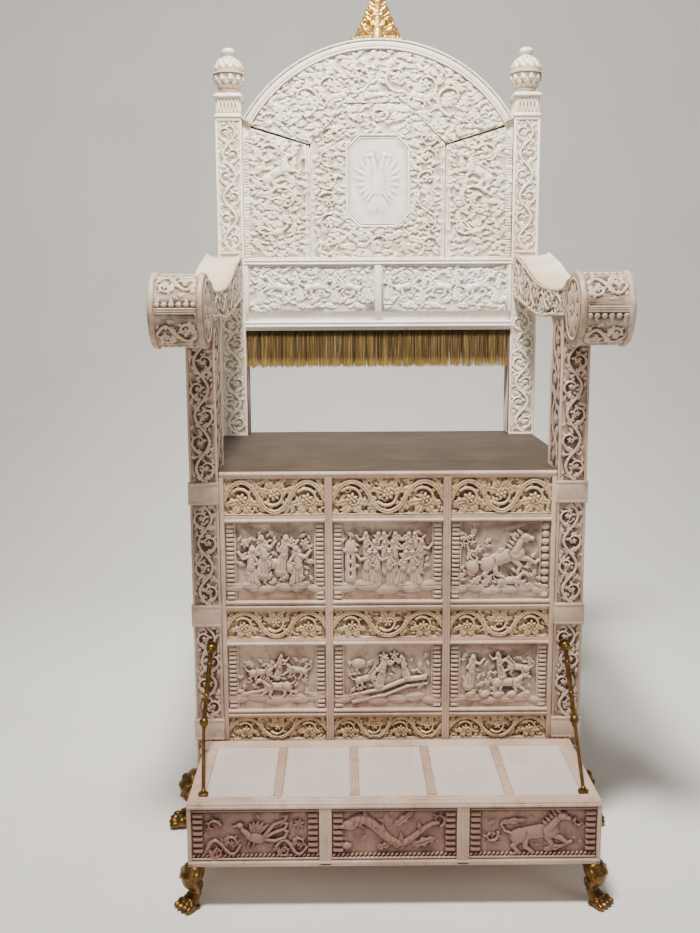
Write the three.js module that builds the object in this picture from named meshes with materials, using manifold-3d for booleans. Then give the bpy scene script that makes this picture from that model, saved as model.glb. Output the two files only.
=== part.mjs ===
// A carved, ivory-clad throne with an arched back, scrolled arms and a footrest.
// Millimetres, +Z up, +X to the right of someone who faces the throne, +Y toward its back.
// Inside the group, y = 0 is the front face of the front posts; the group is shifted so that the
// origin lies on the floor under the middle of the whole throne.

import * as THREE from 'three';
import { mergeVertices } from 'three/addons/utils/BufferGeometryUtils.js';
import Module from 'manifold-3d';

const wasm = await Module();
wasm.setup();

// ---------------------------------------------------------------- driving dimensions

const GAP = 0.3;                     // clearance left between pieces that touch
const SINK = 0.8;                    // how far a relief motif is rooted in its ground

const HALF_WIDTH = 325;              // outer faces of the posts
const FRONT_POST_W = 47;
const FRONT_POST_D = 88;
const BACK_POST_W = 53;
const BACK_POST_D = 60;
const BACK_POST_Y = 478;             // front face of the back posts
const BACK_Y = BACK_POST_Y + BACK_POST_D;
const BODY_Z = 95;                   // underside of the body, on its feet
const SEAT_Z = 631;
const SEAT_T = 8;
const ARM_Z = 880;                   // top of the front posts
const POST_TOP_Z = 1264;
const COLLAR_H = 37;
const COLLAR_RISE = 3;
const COLLAR_Z = [171, 370, 577];    // undersides of the plain collars on the front posts

const FRAME_Y = 4;                   // front face of the framing between the front posts
const FRAME_T = 12;
const PLAQUE_T = 5;
const MULLION_X = 98;
const MULLION_W = 13;
const FIELD_HALF = 270;              // half width of the three carved columns
// [underside, height, kind] of each row of plaques, from the seat down
const ROWS = [
  [557, 62, 'frieze'],
  [412, 134, 'scene'],
  [346, 49, 'frieze'],
  [222, 113, 'scene'],
  [167, 41, 'frieze'],
];

const FOOTREST_Y = -224.5;           // front face of the footrest
const FOOTREST_HALF = 310;
const FOOTREST_Z = 67;
const FOOTREST_TOP = 168;
const FOOTREST_EDGE = 24;            // border round the five plates on top
const DIVIDER_W = 13;
const PLATE_COUNT = 5;
const FOOTREST_MULLION_X = 103;

const BACK_HALF = HALF_WIDTH - BACK_POST_W - GAP;
const RAIL_Z = 853;
const RAIL_TOP = 991;
const RAIL_Y = 472;
const ARCH_RADIUS = 317;
const ARCH_TOP = 1420;
const ARCH_CENTRE = ARCH_TOP - ARCH_RADIUS;
const ARCH_BAND = 21;
const ARCH_Y = 480;                  // front face of the arch band
const BOARD_Y = 490;                 // front face of the arched board
const BOARD_T = 30;
const SEAM = 1.5;                    // half of the seam between two plaques of the back
const SEAM_INNER = [137, 1216.5];    // the sloping seam of the side panels, inner end
const SEAM_SLOPE = 0.3;
const SEAM_OUTER_X = 253;           // where the sloping seam meets the arch band
const CROWN_HALF = 56;               // the flat top of the central panel
const CROWN_Z = 1296;
const MEDALLION = { half: 65, low: 1054, high: 1238, corner: 27 };

const FRINGE_Z = 770;
const FRINGE_PLEATS = 18;

const ROLL_RADIUS = 57.5;
const ROLL_Y = -75;
const ROLL_Z = 892;
const ROLL_LENGTH = 82;
const ARM_WIDTH = 70;                // from the inner faces of the posts to past their outer ones
const ARM_NOSE_Y = -38;              // where an arm's top surface meets its roll

const BODY_FOOT_REACH = 384;
const FOOTREST_FOOT_REACH = 16.3;    // how far a footrest foot stands out in front
const CAPITAL_OVERHANG = 2;          // of the capitals behind the back posts
const CENTRE_Y = (BACK_Y + CAPITAL_OVERHANG + FOOTREST_Y - FOOTREST_FOOT_REACH) / 2;

// ---------------------------------------------------------------- materials

const material = (color, roughness, metalness = 0) =>
  new THREE.MeshStandardMaterial({ color, roughness, metalness, flatShading: true });

const ivory = () => material(0xe9dfcb, 0.5);
const agedIvory = () => material(0xdcc9a3, 0.55);
const paleIvory = () => material(0xf2ebdc, 0.42);
const board = () => material(0x6b5d4c, 0.75);
const gilt = () => material(0xb98d35, 0.38, 0.85);
const goldThread = () => material(0x7d6427, 0.8);

// ---------------------------------------------------------------- solids

function toSolid(geometry) {
  const bare = geometry.clone();
  bare.deleteAttribute('normal');
  bare.deleteAttribute('uv');
  const merged = mergeVertices(bare, 1e-3);
  return new wasm.Manifold(new wasm.Mesh({
    numProp: 3,
    vertProperties: new Float32Array(merged.attributes.position.array),
    triVerts: new Uint32Array(merged.index.array),
  }));
}

function toGeometry(solid) {
  const mesh = solid.getMesh();
  const geometry = new THREE.BufferGeometry();
  geometry.setAttribute('position', new THREE.BufferAttribute(mesh.vertProperties, mesh.numProp));
  geometry.setIndex(new THREE.BufferAttribute(mesh.triVerts, 1));
  geometry.computeVertexNormals();
  return geometry;
}

function join(base, parts) {
  return toGeometry(parts.reduce((solid, part) => solid.add(toSolid(part)), toSolid(base)));
}

function cut(base, tools) {
  return toGeometry(tools.reduce((solid, tool) => solid.subtract(toSolid(tool)), toSolid(base)));
}

// A box given by its low corner and its size.
function block(x, y, z, width, depth, height) {
  const geometry = new THREE.BoxGeometry(width, depth, height);
  return geometry.translate(x + width / 2, y + depth / 2, z + height / 2);
}

function polygon(points) {
  return new THREE.Shape(points.map(([x, y]) => new THREE.Vector2(x, y)));
}

// A shape drawn in x and z, made thick from y = 0 to y = depth.
function slabXZ(shape, depth, curveSegments = 12) {
  const geometry = new THREE.ExtrudeGeometry(shape, { depth, bevelEnabled: false, curveSegments });
  return geometry.rotateX(Math.PI / 2).translate(0, depth, 0);
}

// A shape drawn in y and z, made thick from x = 0 to x = width.
function slabYZ(shape, width, curveSegments = 12) {
  const geometry = new THREE.ExtrudeGeometry(shape, {
    depth: width, bevelEnabled: false, curveSegments,
  });
  const cycle = new THREE.Matrix4().makeBasis(
    new THREE.Vector3(0, 1, 0), new THREE.Vector3(0, 0, 1), new THREE.Vector3(1, 0, 0));
  return geometry.applyMatrix4(cycle);
}

function tube(points, radius, steps, sides = 8) {
  const section = new THREE.Shape();
  section.absarc(0, 0, radius, 0, 2 * Math.PI);
  const path = new THREE.CatmullRomCurve3(points.map((p) => new THREE.Vector3(...p)));
  return new THREE.ExtrudeGeometry(section, {
    steps, extrudePath: path, bevelEnabled: false, curveSegments: sides / 2,
  });
}

function lathe(profile, segments) {
  const points = profile.map(([radius, height]) => new THREE.Vector2(radius, height));
  return new THREE.LatheGeometry(points, segments).rotateX(Math.PI / 2);
}

// The same geometry on the other side of the plane x = 0, with its faces still pointing out.
function mirrored(geometry) {
  const flipped = geometry.index ? geometry.toNonIndexed() : geometry.clone();
  flipped.scale(-1, 1, 1);
  const position = flipped.attributes.position;
  for (let i = 0; i < position.count; i += 3) {
    const [x, y, z] = [position.getX(i), position.getY(i), position.getZ(i)];
    position.setXYZ(i, position.getX(i + 1), position.getY(i + 1), position.getZ(i + 1));
    position.setXYZ(i + 1, x, y, z);
  }
  flipped.computeVertexNormals();
  return flipped;
}

// ---------------------------------------------------------------- relief motifs
// Every motif lies on the plane y = 0 with x across and z up, and rises toward -y.

function onGround(geometry, x, z, turn) {
  return geometry.rotateY(-turn).translate(x, 0, z);
}

function boss(x, z, halfWidth, halfHeight, rise, turn = 0, sides = 5, crown = 0.5) {
  const geometry = new THREE.CylinderGeometry(crown, 1, rise + SINK, sides).rotateX(Math.PI);
  geometry.scale(halfWidth, 1, halfHeight).translate(0, (SINK - rise) / 2, 0);
  return onGround(geometry, x, z, turn);
}

// A small pointed boss, for a rosette, a head or a tuft.
function stud(x, z, halfWidth, halfHeight, rise, turn = 0) {
  return boss(x, z, halfWidth, halfHeight, rise, turn, 5, 0);
}

function leaf(x, z, length, width, rise, turn) {
  const geometry = new THREE.OctahedronGeometry(1).scale(length / 2, rise, width / 2);
  return onGround(geometry, x, z, turn);
}

// A ridge that follows a line of [x, z] points.
function stroke(points, width, rise, steps) {
  const path = new THREE.CatmullRomCurve3(
    points.map(([x, z], i) => new THREE.Vector3(x, 0, z + (i % 2) * 0.02)));
  const section = polygon([[-SINK, -width / 2], [0, -width / 2], [rise, 0], [0, width / 2],
    [-SINK, width / 2]]);
  return new THREE.ExtrudeGeometry(section, { steps, extrudePath: path, bevelEnabled: false });
}

function spiral(x, z, outer, inner, start, sweep, count = 6) {
  return Array.from({ length: count }, (_, i) => {
    const share = i / (count - 1);
    const radius = outer + (inner - outer) * share;
    const angle = start + sweep * share;
    return [x + radius * Math.cos(angle), z + radius * Math.sin(angle)];
  });
}

// A row of short bars, one above the other.
function flutes(x, width, height, count, rise) {
  const pitch = height / count;
  const points = [[-height / 2, -SINK]];
  for (let i = 0; i < count; i++) {
    const low = -height / 2 + i * pitch;
    points.push([low + pitch * 0.1, 0.1], [low + pitch * 0.5, rise]);
  }
  points.push([height / 2, 0.1], [height / 2, -SINK]);
  const geometry = new THREE.ExtrudeGeometry(polygon(points.reverse()), {
    depth: width, bevelEnabled: false,
  });
  const stand = new THREE.Matrix4().makeBasis(
    new THREE.Vector3(0, 0, 1), new THREE.Vector3(0, -1, 0), new THREE.Vector3(1, 0, 0));
  return geometry.applyMatrix4(stand).translate(x - width / 2, 0, 0);
}

// A straight fillet across a plaque.
function fillet(z, width, height, rise) {
  const section = polygon([[-height / 2, -SINK], [height / 2, -SINK], [height / 4, rise],
    [-height / 4, rise]]);
  const geometry = new THREE.ExtrudeGeometry(section, { depth: width, bevelEnabled: false });
  const stand = new THREE.Matrix4().makeBasis(
    new THREE.Vector3(0, 0, 1), new THREE.Vector3(0, -1, 0), new THREE.Vector3(1, 0, 0));
  return geometry.applyMatrix4(stand).translate(-width / 2, 0, z);
}

// A wavy stem with a pointed rosette in each bay.
function vine(length, height, bays, rise) {
  const pitch = length / bays;
  const swing = height * 0.3;
  const stem = Array.from({ length: bays + 1 }, (_, i) =>
    [-length / 2 + i * pitch, (i % 2 ? 1 : -1) * swing]);
  stem[0][0] += height * 0.1;
  stem[bays][0] -= height * 0.1;
  const parts = [stroke(stem, height * 0.2, rise * 0.7, bays * 2)];
  for (let i = 1; i < bays; i++) {
    const side = i % 2 ? -1 : 1;
    const [x, z] = [-length / 2 + i * pitch, side * swing * 0.5];
    parts.push(stud(x, z, height * 0.26, height * 0.26, rise));
  }
  return parts;
}

// Spiral scrolls side by side, curling alternately down and up.
function scrolls(length, height, count, rise) {
  const pitch = length / count;
  const parts = [];
  for (let i = 0; i < count; i++) {
    const x = -length / 2 + (i + 0.5) * pitch;
    const side = i % 2 ? -1 : 1;
    const line = spiral(x, 0, height * 0.38, height * 0.18, side * 2.6, -side * 4.6, 5);
    parts.push(stroke(line, height * 0.2, rise * 0.8, 4));
    parts.push(leaf(x + pitch * 0.5, side * height * 0.1, height * 0.6, height * 0.2, rise,
      side * 0.9));
  }
  return parts;
}

function upright(parts) {
  return parts.map((part) => part.rotateY(-Math.PI / 2));
}

// A robed standing figure, plain and seen from the front.
function figure(x, z, tall, rise, lean = 0) {
  return [
    leaf(x, z - tall * 0.12, tall * 0.8, tall * 0.42, rise, Math.PI / 2 + lean),
    stud(x - lean * tall * 0.4, z + tall * 0.36, tall * 0.12, tall * 0.15, rise),
    leaf(x + tall * 0.16, z + tall * 0.08, tall * 0.4, tall * 0.14, rise * 0.9, 0.7),
  ];
}

// A running animal with a curling tail; facing is 1 to the right and -1 to the left.
function animal(x, z, long, rise, facing, tilt = 0) {
  const parts = [
    leaf(0, 0, long * 0.62, long * 0.26, rise, 0),
    leaf(facing * long * 0.28, long * 0.12, long * 0.34, long * 0.14, rise, facing * 0.9),
    stud(facing * long * 0.4, long * 0.22, long * 0.12, long * 0.07, rise, -facing * 0.3),
    leaf(facing * long * 0.26, -long * 0.16, long * 0.3, long * 0.07, rise * 0.8, -facing * 0.7),
    leaf(-facing * long * 0.2, -long * 0.17, long * 0.3, long * 0.07, rise * 0.8, facing * 1.1),
    stroke([[-facing * long * 0.2, long * 0.02], [-facing * long * 0.36, long * 0.08],
      [-facing * long * 0.44, long * 0.2]], long * 0.06, rise * 0.6, 2),
  ];
  return parts.map((part) => part.rotateY(-tilt).translate(x, 0, z));
}

function tree(x, z, tall, rise) {
  return [
    stroke([[x - tall * 0.04, z - tall * 0.45], [x + tall * 0.03, z], [x, z + tall * 0.3]],
      tall * 0.1, rise * 0.7, 2),
    stud(x, z + tall * 0.3, tall * 0.2, tall * 0.16, rise),
    stud(x - tall * 0.15, z + tall * 0.1, tall * 0.18, tall * 0.14, rise * 0.8),
  ];
}

function tower(x, z, wide, tall, rise) {
  return [
    block(x - wide / 2, -rise * 0.6, z - tall / 2, wide, rise * 0.6 + SINK, tall),
    leaf(x, z + tall / 2, wide * 1.6, wide * 0.6, rise, 0),
  ];
}

// ---------------------------------------------------------------- plaques

const RELIEF = 4.5;

// A flat plaque of the given outline with its front on y = 0; its motifs stand out of it and
// stop at its edge.
function shapedPlaque(shape, motifs) {
  const thickness = PLAQUE_T - GAP;
  const reach = 2 * RELIEF;
  const limits = toSolid(slabXZ(shape, thickness + reach).translate(0, -reach, 0));
  const carving = motifs.map(toSolid).reduce((all, motif) => all.add(motif)).intersect(limits);
  return toGeometry(toSolid(slabXZ(shape, thickness)).add(carving));
}

function plaque(width, height, motifs) {
  const [w, h] = [width / 2, height / 2];
  return shapedPlaque(polygon([[-w, -h], [w, -h], [w, h], [-w, h]]), motifs);
}

function sceneBorders(width, height, bars) {
  const edge = width / 2 - 7;
  return [
    flutes(-edge, 11, height - 16, bars, 2.6),
    flutes(edge, 11, height - 16, bars, 2.6),
    fillet(height / 2 - 4, width - 2, 6, 3),
    fillet(-height / 2 + 4, width - 2, 6, 3),
  ];
}

const SCENES = [
  (w, h) => [
    ...[-0.28, -0.08, 0.13].flatMap((x, i) => figure(w * x, h * (0.02 + 0.04 * (i % 2)), h * 0.58, RELIEF)),
    ...tower(w * 0.34, h * 0.02, w * 0.08, h * 0.45, RELIEF),
  ],
  (w, h) => [
    ...tower(-w * 0.33, 0, w * 0.09, h * 0.5, RELIEF),
    ...[-0.12, 0.08, 0.28].flatMap((x, i) => figure(w * x, -h * 0.04 * (i % 2), h * 0.54, RELIEF)),
    leaf(0, h * 0.3, w * 0.5, h * 0.12, RELIEF * 0.7, 0.05),
  ],
  (w, h) => [
    ...animal(-w * 0.04, -h * 0.04, w * 0.6, RELIEF, 1, 0.2),
    ...tree(-w * 0.32, h * 0.08, h * 0.5, RELIEF * 0.8),
  ],
  (w, h) => [
    ...animal(-w * 0.1, -h * 0.05, w * 0.44, RELIEF, -1, -0.1),
    ...figure(w * 0.18, h * 0.02, h * 0.52, RELIEF),
    ...figure(w * 0.33, -h * 0.02, h * 0.44, RELIEF),
  ],
  (w, h) => [
    ...animal(w * 0.08, -h * 0.08, w * 0.4, RELIEF, 1, 0.35),
    ...figure(w * 0.04, h * 0.16, h * 0.34, RELIEF, 0.3),
    ...tree(-w * 0.3, 0, h * 0.56, RELIEF * 0.8),
  ],
  (w, h) => [
    ...figure(-w * 0.32, 0, h * 0.48, RELIEF),
    ...animal(w * 0.08, -h * 0.02, w * 0.5, RELIEF, -1, -0.25),
  ],
];

function scenePlaque(index, width, height) {
  const bars = Math.round(height / 32);
  return plaque(width, height, [...sceneBorders(width, height, bars), ...SCENES[index](width, height)]);
}

function friezePlaque(row, width, height) {
  const motifs = row === 0
    ? vine(width - 8, height, 4, RELIEF)
    : scrolls(width - 8, height, 3, RELIEF);
  return plaque(width, height, motifs);
}

// ---------------------------------------------------------------- body

const columns = [-1, 0, 1].map((side) => {
  const inner = MULLION_X - MULLION_W / 2;
  const outer = MULLION_X + MULLION_W / 2;
  if (side === 0) return { x: 0, width: 2 * inner };
  return { x: side * (outer + FIELD_HALF) / 2, width: FIELD_HALF - outer };
});

// A board standing on y = 0 with pockets cut into its front; each pocket is [x, z, width, height].
function pocketed(width, low, high, depth, pockets, pocketDepth) {
  const base = block(-width / 2, 0, low, width, depth, high - low);
  return cut(base, pockets.map(([x, z, wide, tall]) =>
    block(x - wide / 2, -1, z, wide, pocketDepth + 1, tall)));
}

const BODY_TOP = SEAT_Z - SEAT_T - GAP;
const FRAME_POCKET = FRAME_T - 1;
const FRAME_DEPTH = FRAME_T + 10;
const FRAME_TOP = SEAT_Z - 1;
const LIP = 8;                       // depth of the framing's top edge, in front of the seat board

// The front of the body: a board with a raised grid round fifteen sunk fields. Its top edge stands in
// front of the seat board, which lies on the step behind it.
function frontFrame() {
  const pockets = ROWS.flatMap(([z, height]) => columns.map(({ x, width }) => [x, z, width, height]));
  const width = 2 * (HALF_WIDTH - FRONT_POST_W - GAP);
  const board = pocketed(width, BODY_Z, FRAME_TOP, FRAME_DEPTH, pockets, FRAME_POCKET);
  return cut(board, [block(-width, LIP, BODY_TOP, 2 * width, FRAME_DEPTH, SEAT_T + 2 * GAP)]);
}

// A side of the body, framed like the front with plain sunk fields and a lozenge in the tall ones.
function sideBoard() {
  const length = BACK_POST_Y - FRONT_POST_D - 2 * GAP;
  const width = (length - 3 * MULLION_W) / 2;
  const pockets = [];
  const lozenges = [];
  for (const [z, height, kind] of ROWS) {
    if (kind === 'frieze') {
      pockets.push([0, z, 2 * width + MULLION_W, height]);
      continue;
    }
    for (const side of [-1, 1]) {
      const x = side * (width + MULLION_W) / 2;
      pockets.push([x, z, width, height]);
      lozenges.push(leaf(x, z + height / 2, width * 0.6, height * 0.7, 4, 0).translate(0, 6, 0));
    }
  }
  return join(pocketed(length, BODY_Z, BODY_TOP, 20, pockets, 6), lozenges);
}

function rearBoard() {
  const half = HALF_WIDTH - BACK_POST_W - GAP;
  const pockets = [-half * 0.63, 0, half * 0.63].map((x) => [x, 140, half * 0.56, 440]);
  return pocketed(2 * half, BODY_Z, BODY_TOP, 18, pockets, 6);
}

// The seat board, notched round the four posts.
function seatBoard() {
  const front = FRAME_Y + LIP + GAP;
  const [frontX, backX] = [HALF_WIDTH - FRONT_POST_W - GAP, HALF_WIDTH - BACK_POST_W - GAP];
  const wide = HALF_WIDTH - 3;
  const right = [[frontX, front], [frontX, FRONT_POST_D + GAP], [wide, FRONT_POST_D + GAP],
    [wide, BACK_POST_Y - GAP], [backX, BACK_POST_Y - GAP], [backX, BACK_Y - 4]];
  const left = right.map(([x, y]) => [-x, y]).reverse();
  const geometry = new THREE.ExtrudeGeometry(polygon([...right, ...left]), {
    depth: SEAT_T, bevelEnabled: false,
  });
  return geometry;
}

// A front post: plain edge strips and collars, and a carved vine between the collars.
function frontPost() {
  const height = ARM_Z - BODY_Z;
  const core = block(0, 2, 0, FRONT_POST_W, FRONT_POST_D - 2, height);
  const parts = [block(FRONT_POST_W - 4, 0, 0, 4, 3, height)];
  for (const z of COLLAR_Z) {
    parts.push(block(0, -COLLAR_RISE, z - BODY_Z, FRONT_POST_W + COLLAR_RISE, FRONT_POST_D - 4, COLLAR_H));
  }
  const stops = [...COLLAR_Z.map((z) => z - BODY_Z), height];
  for (let i = 0; i < COLLAR_Z.length; i++) {
    const low = stops[i] + COLLAR_H;
    const length = stops[i + 1] - low - 6;
    const bays = Math.round(length / 68);
    const carving = upright(vine(length, FRONT_POST_W - 9, bays, 3));
    for (const part of carving) {
      parts.push(part.translate(FRONT_POST_W / 2, 2, low + 3 + length / 2));
    }
  }
  return join(core, parts);
}

// A back post: carved in front, from the floor feet up to its capital.
function backPost() {
  const height = POST_TOP_Z - BODY_Z;
  const core = block(0, 2, 0, BACK_POST_W, BACK_POST_D - 2, height);
  const parts = [
    block(0, 0, 0, 5, 3, height),
    block(BACK_POST_W - 5, 0, 0, 5, 3, height),
  ];
  const runs = [[SEAT_Z + 4, 925], [1010, POST_TOP_Z - 4]];
  for (const [low, high] of runs) {
    const length = high - low;
    const carving = upright(vine(length, BACK_POST_W - 11, Math.round(length / 70), 3));
    for (const part of carving) {
      parts.push(part.translate(BACK_POST_W / 2, 2, (low + high) / 2 - BODY_Z));
    }
  }
  return join(core, parts);
}

// ---------------------------------------------------------------- back

// The outline between two seams, or along the inside of the arch band.
function archPoints(radius, fromX, toX, count) {
  const [from, to] = [Math.acos(fromX / radius), Math.acos(toX / radius)];
  return Array.from({ length: count + 1 }, (_, i) => {
    const angle = from + (to - from) * i / count;
    return [radius * Math.cos(angle), ARCH_CENTRE + radius * Math.sin(angle)];
  });
}

// The arched board behind the plaques, with the raised band that frames its top.
function backBoard() {
  const outer = archPoints(ARCH_RADIUS, BACK_HALF, -BACK_HALF, 14);
  const inner = archPoints(ARCH_RADIUS - ARCH_BAND, -BACK_HALF + 4, BACK_HALF - 4, 14);
  const boardShape = polygon([[-BACK_HALF, RAIL_Z + GAP], [BACK_HALF, RAIL_Z + GAP], ...outer]);
  const band = polygon([...outer, ...inner]);
  const core = slabXZ(boardShape, BOARD_T).translate(0, BOARD_Y, 0);
  const rim = slabXZ(band, BOARD_Y - ARCH_Y + SINK).translate(0, ARCH_Y, 0);
  return join(core, [rim]);
}

function seamHeight(x) {
  return SEAM_INNER[1] + (x - SEAM_INNER[0]) * SEAM_SLOPE;
}

const PANEL_LOW = RAIL_TOP + GAP;
const FIELD_RADIUS = ARCH_RADIUS - ARCH_BAND - 1;

// The upright carved panel between the central panel and a post (right-hand one).
function sidePanel() {
  const [low, high] = [SEAM_INNER[0] + SEAM, BACK_HALF - 1];
  const outline = [[low, PANEL_LOW], [high, PANEL_LOW],
    ...archPoints(FIELD_RADIUS, high, SEAM_OUTER_X + 3, 3),
    [SEAM_OUTER_X, seamHeight(SEAM_OUTER_X) - SEAM], [low, seamHeight(low) - SEAM]];
  const middle = (low + high) / 2;
  const carving = upright(vine(200, 84, 3, RELIEF)).map((part) =>
    part.translate(middle - 2, 0, PANEL_LOW + 112));
  const tall = 218;
  const beads = flutes(high - 7, 9, tall, 9, 2.4).translate(0, 0, PANEL_LOW + tall / 2 + 4);
  return shapedPlaque(polygon(outline), [...carving, beads]);
}

// The curved panel over the sloping seam, up to the arch band (right-hand one).
function archPanel() {
  const high = SEAM_OUTER_X;
  const arc = archPoints(FIELD_RADIUS, high, SEAM, 10);
  const outline = [[SEAM, CROWN_Z + SEAM], [CROWN_HALF, CROWN_Z + SEAM],
    [SEAM_INNER[0] + 1, SEAM_INNER[1] + SEAM], [high, seamHeight(high) + SEAM], ...arc];
  const carving = [
    ...[0.42, 0.85, 1.28].flatMap((angle, i) => {
      const radius = 246 - 4 * i;
      const [x, z] = [radius * Math.cos(angle), ARCH_CENTRE + radius * Math.sin(angle)];
      return [
        stroke(spiral(x, z, 28 - 4 * i, 15 - 2 * i, angle + 2.6, -4.6, 5), 9, RELIEF * 0.8, 5),
        stud(x, z, 8, 8, RELIEF),
        leaf(x + 26, z - 22, 24, 10, RELIEF * 0.8, angle - 1.2),
      ];
    }),
  ];
  return shapedPlaque(polygon(outline), carving);
}

function octagon(half, low, high, corner, inset) {
  const [w, b, t, c] = [half - inset, low + inset, high - inset, corner - inset * 0.6];
  return [[-w + c, b], [w - c, b], [w, b + c], [w, t - c], [w - c, t], [-w + c, t], [-w, t - c],
    [-w, b + c]];
}

// The central panel: foliage all round the opening of the medallion.
function centrePanel() {
  const half = SEAM_INNER[0] - SEAM;
  const shape = polygon([[-half, PANEL_LOW], [half, PANEL_LOW], [half, SEAM_INNER[1]],
    [CROWN_HALF, CROWN_Z], [-CROWN_HALF, CROWN_Z], [-half, SEAM_INNER[1]]]);
  const { half: wide, low, high, corner } = MEDALLION;
  shape.holes.push(new THREE.Path(octagon(wide, low, high, corner, 0).reverse().map(([x, z]) =>
    new THREE.Vector2(x, z))));
  const carving = [];
  for (const side of [-1, 1]) {
    for (const [i, z] of [1024, 1096, 1168].entries()) {
      const line = spiral(side * 99, z, 27, 13, i % 2 ? 1 : 4, side * 4.4, 5);
      carving.push(stroke(line, 11, RELIEF * 0.8, 4));
      carving.push(leaf(side * 99, z + 36, 46, 14, RELIEF * 0.8, side * 0.4));
    }
    carving.push(leaf(side * 36, 1262, 52, 18, RELIEF * 0.8, side * 0.3));
    carving.push(leaf(side * 36, 1024, 52, 18, RELIEF * 0.8, -side * 0.3));
  }
  return shapedPlaque(shape, carving);
}

// The bright medallion: a raised rim round a two-headed bird in low relief.
function medallion() {
  const { half, low, high, corner } = MEDALLION;
  const rim = polygon(octagon(half, low, high, corner, GAP));
  rim.holes.push(new THREE.Path(octagon(half, low, high, corner, 7).reverse().map(([x, z]) =>
    new THREE.Vector2(x, z))));
  const ground = slabXZ(polygon(octagon(half, low, high, corner, GAP)), PLAQUE_T - GAP);
  const middle = (low + high) / 2;
  const bird = [boss(0, middle - 2, 14, 26, 3), leaf(0, middle - 48, 44, 30, 3, Math.PI / 2)];
  for (const side of [-1, 1]) {
    bird.push(leaf(side * 13, middle + 38, 42, 13, 3, Math.PI / 2 - side * 0.5));
    bird.push(leaf(side * 30, middle + 2, 70, 22, 3, Math.PI / 2 - side * 0.2));
  }
  return join(ground, [slabXZ(rim, 2.5 + SINK).translate(0, -2.5, 0), ...bird]);
}

const RAIL_FIELD = { low: 886, high: 980, inner: 7, outer: BACK_HALF - 7 };

// The lower rail of the back, standing forward, with two sunk fields.
function backRail() {
  const { low, high, inner, outer } = RAIL_FIELD;
  const middle = (inner + outer) / 2;
  const pockets = [-middle, middle].map((x) => [x, low, outer - inner, high - low]);
  const rail = pocketed(2 * BACK_HALF, RAIL_Z, RAIL_TOP, BOARD_Y - GAP - RAIL_Y, pockets, 10);
  return join(rail, [block(-BACK_HALF, -3, RAIL_Z, 2 * BACK_HALF, 4, 12)]);
}

function railPlaque(side) {
  const width = RAIL_FIELD.outer - RAIL_FIELD.inner - 2 * GAP;
  const height = RAIL_FIELD.high - RAIL_FIELD.low - 2 * GAP;
  const scene = [
    ...animal(-side * width * 0.24, 0, width * 0.42, RELIEF, side, 0.05),
    ...figure(side * width * 0.14, 0, height * 0.62, RELIEF),
    ...animal(side * width * 0.34, -2, width * 0.26, RELIEF, -side),
  ];
  return plaque(width, height, scene);
}

// The hanging fringe as a pleated body.
function fringe() {
  const half = BACK_HALF - 1;
  const points = [[half, 9], [-half, 9]];
  for (let i = 0; i <= 2 * FRINGE_PLEATS; i++) {
    points.push([-half + i * half / FRINGE_PLEATS, i % 2 ? 0 : 3.5]);
  }
  const geometry = new THREE.ExtrudeGeometry(polygon(points.reverse()), {
    depth: RAIL_Z - GAP - FRINGE_Z, bevelEnabled: false,
  });
  return geometry;
}

// ---------------------------------------------------------------- arms

const sideCurve = (points) => new THREE.SplineCurve(points.map(([y, z]) => new THREE.Vector2(y, z)));

// An arm: a swept board from the back post, over the front post, up to its roll.
function arm() {
  const top = sideCurve([[ARM_NOSE_Y, 938], [0, 927.5], [45, 925], [136, 929], [215, 938.5],
    [289, 955], [371, 979], [BACK_POST_Y - GAP, 1003]]);
  const bedZ = ARM_Z + 2 * GAP;
  const under = sideCurve([[BACK_POST_Y - GAP, 914], [360, 897], [241, 881], [160, 877],
    [FRONT_POST_D + 12, bedZ], [FRONT_POST_D, bedZ]]);
  const reach = ROLL_RADIUS + GAP;
  const from = Math.asin((bedZ - ROLL_Z) / reach);
  const to = Math.acos((ARM_NOSE_Y - ROLL_Y) / reach);
  const steps = 6;
  const hollow = Array.from({ length: steps + 1 }, (_, i) => {
    const angle = from + (to - from) * i / steps;
    return new THREE.Vector2(ROLL_Y + reach * Math.cos(angle), ROLL_Z + reach * Math.sin(angle));
  });
  const outline = new THREE.Shape([...under.getPoints(9), ...hollow, ...top.getPoints(16)]);
  return slabYZ(outline, ARM_WIDTH);
}

// The roll at the end of an arm: two rims and a drum carved in ribs.
function roll() {
  const ribs = 8;
  const drum = [];
  for (let i = 0; i < ribs; i++) {
    const step = 2 * Math.PI / ribs;
    for (const [share, radius] of [[0.05, -4.5], [0.25, -1.5], [0.75, -1.5], [0.95, -4.5]]) {
      const angle = (i + share) * step;
      drum.push([(ROLL_RADIUS + radius) * Math.cos(angle), (ROLL_RADIUS + radius) * Math.sin(angle)]);
    }
  }
  const cap = lathe([[0, 0], [ROLL_RADIUS - 2, 0], [ROLL_RADIUS, 2], [ROLL_RADIUS, 9], [0, 9]], 14);
  const near = cap.clone().rotateY(Math.PI / 2);
  const far = cap.clone().rotateY(-Math.PI / 2).translate(ROLL_LENGTH, 0, 0);
  return join(slabYZ(polygon(drum), ROLL_LENGTH - 14).translate(7, 0, 0), [near, far]);
}

// ---------------------------------------------------------------- finials

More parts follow.
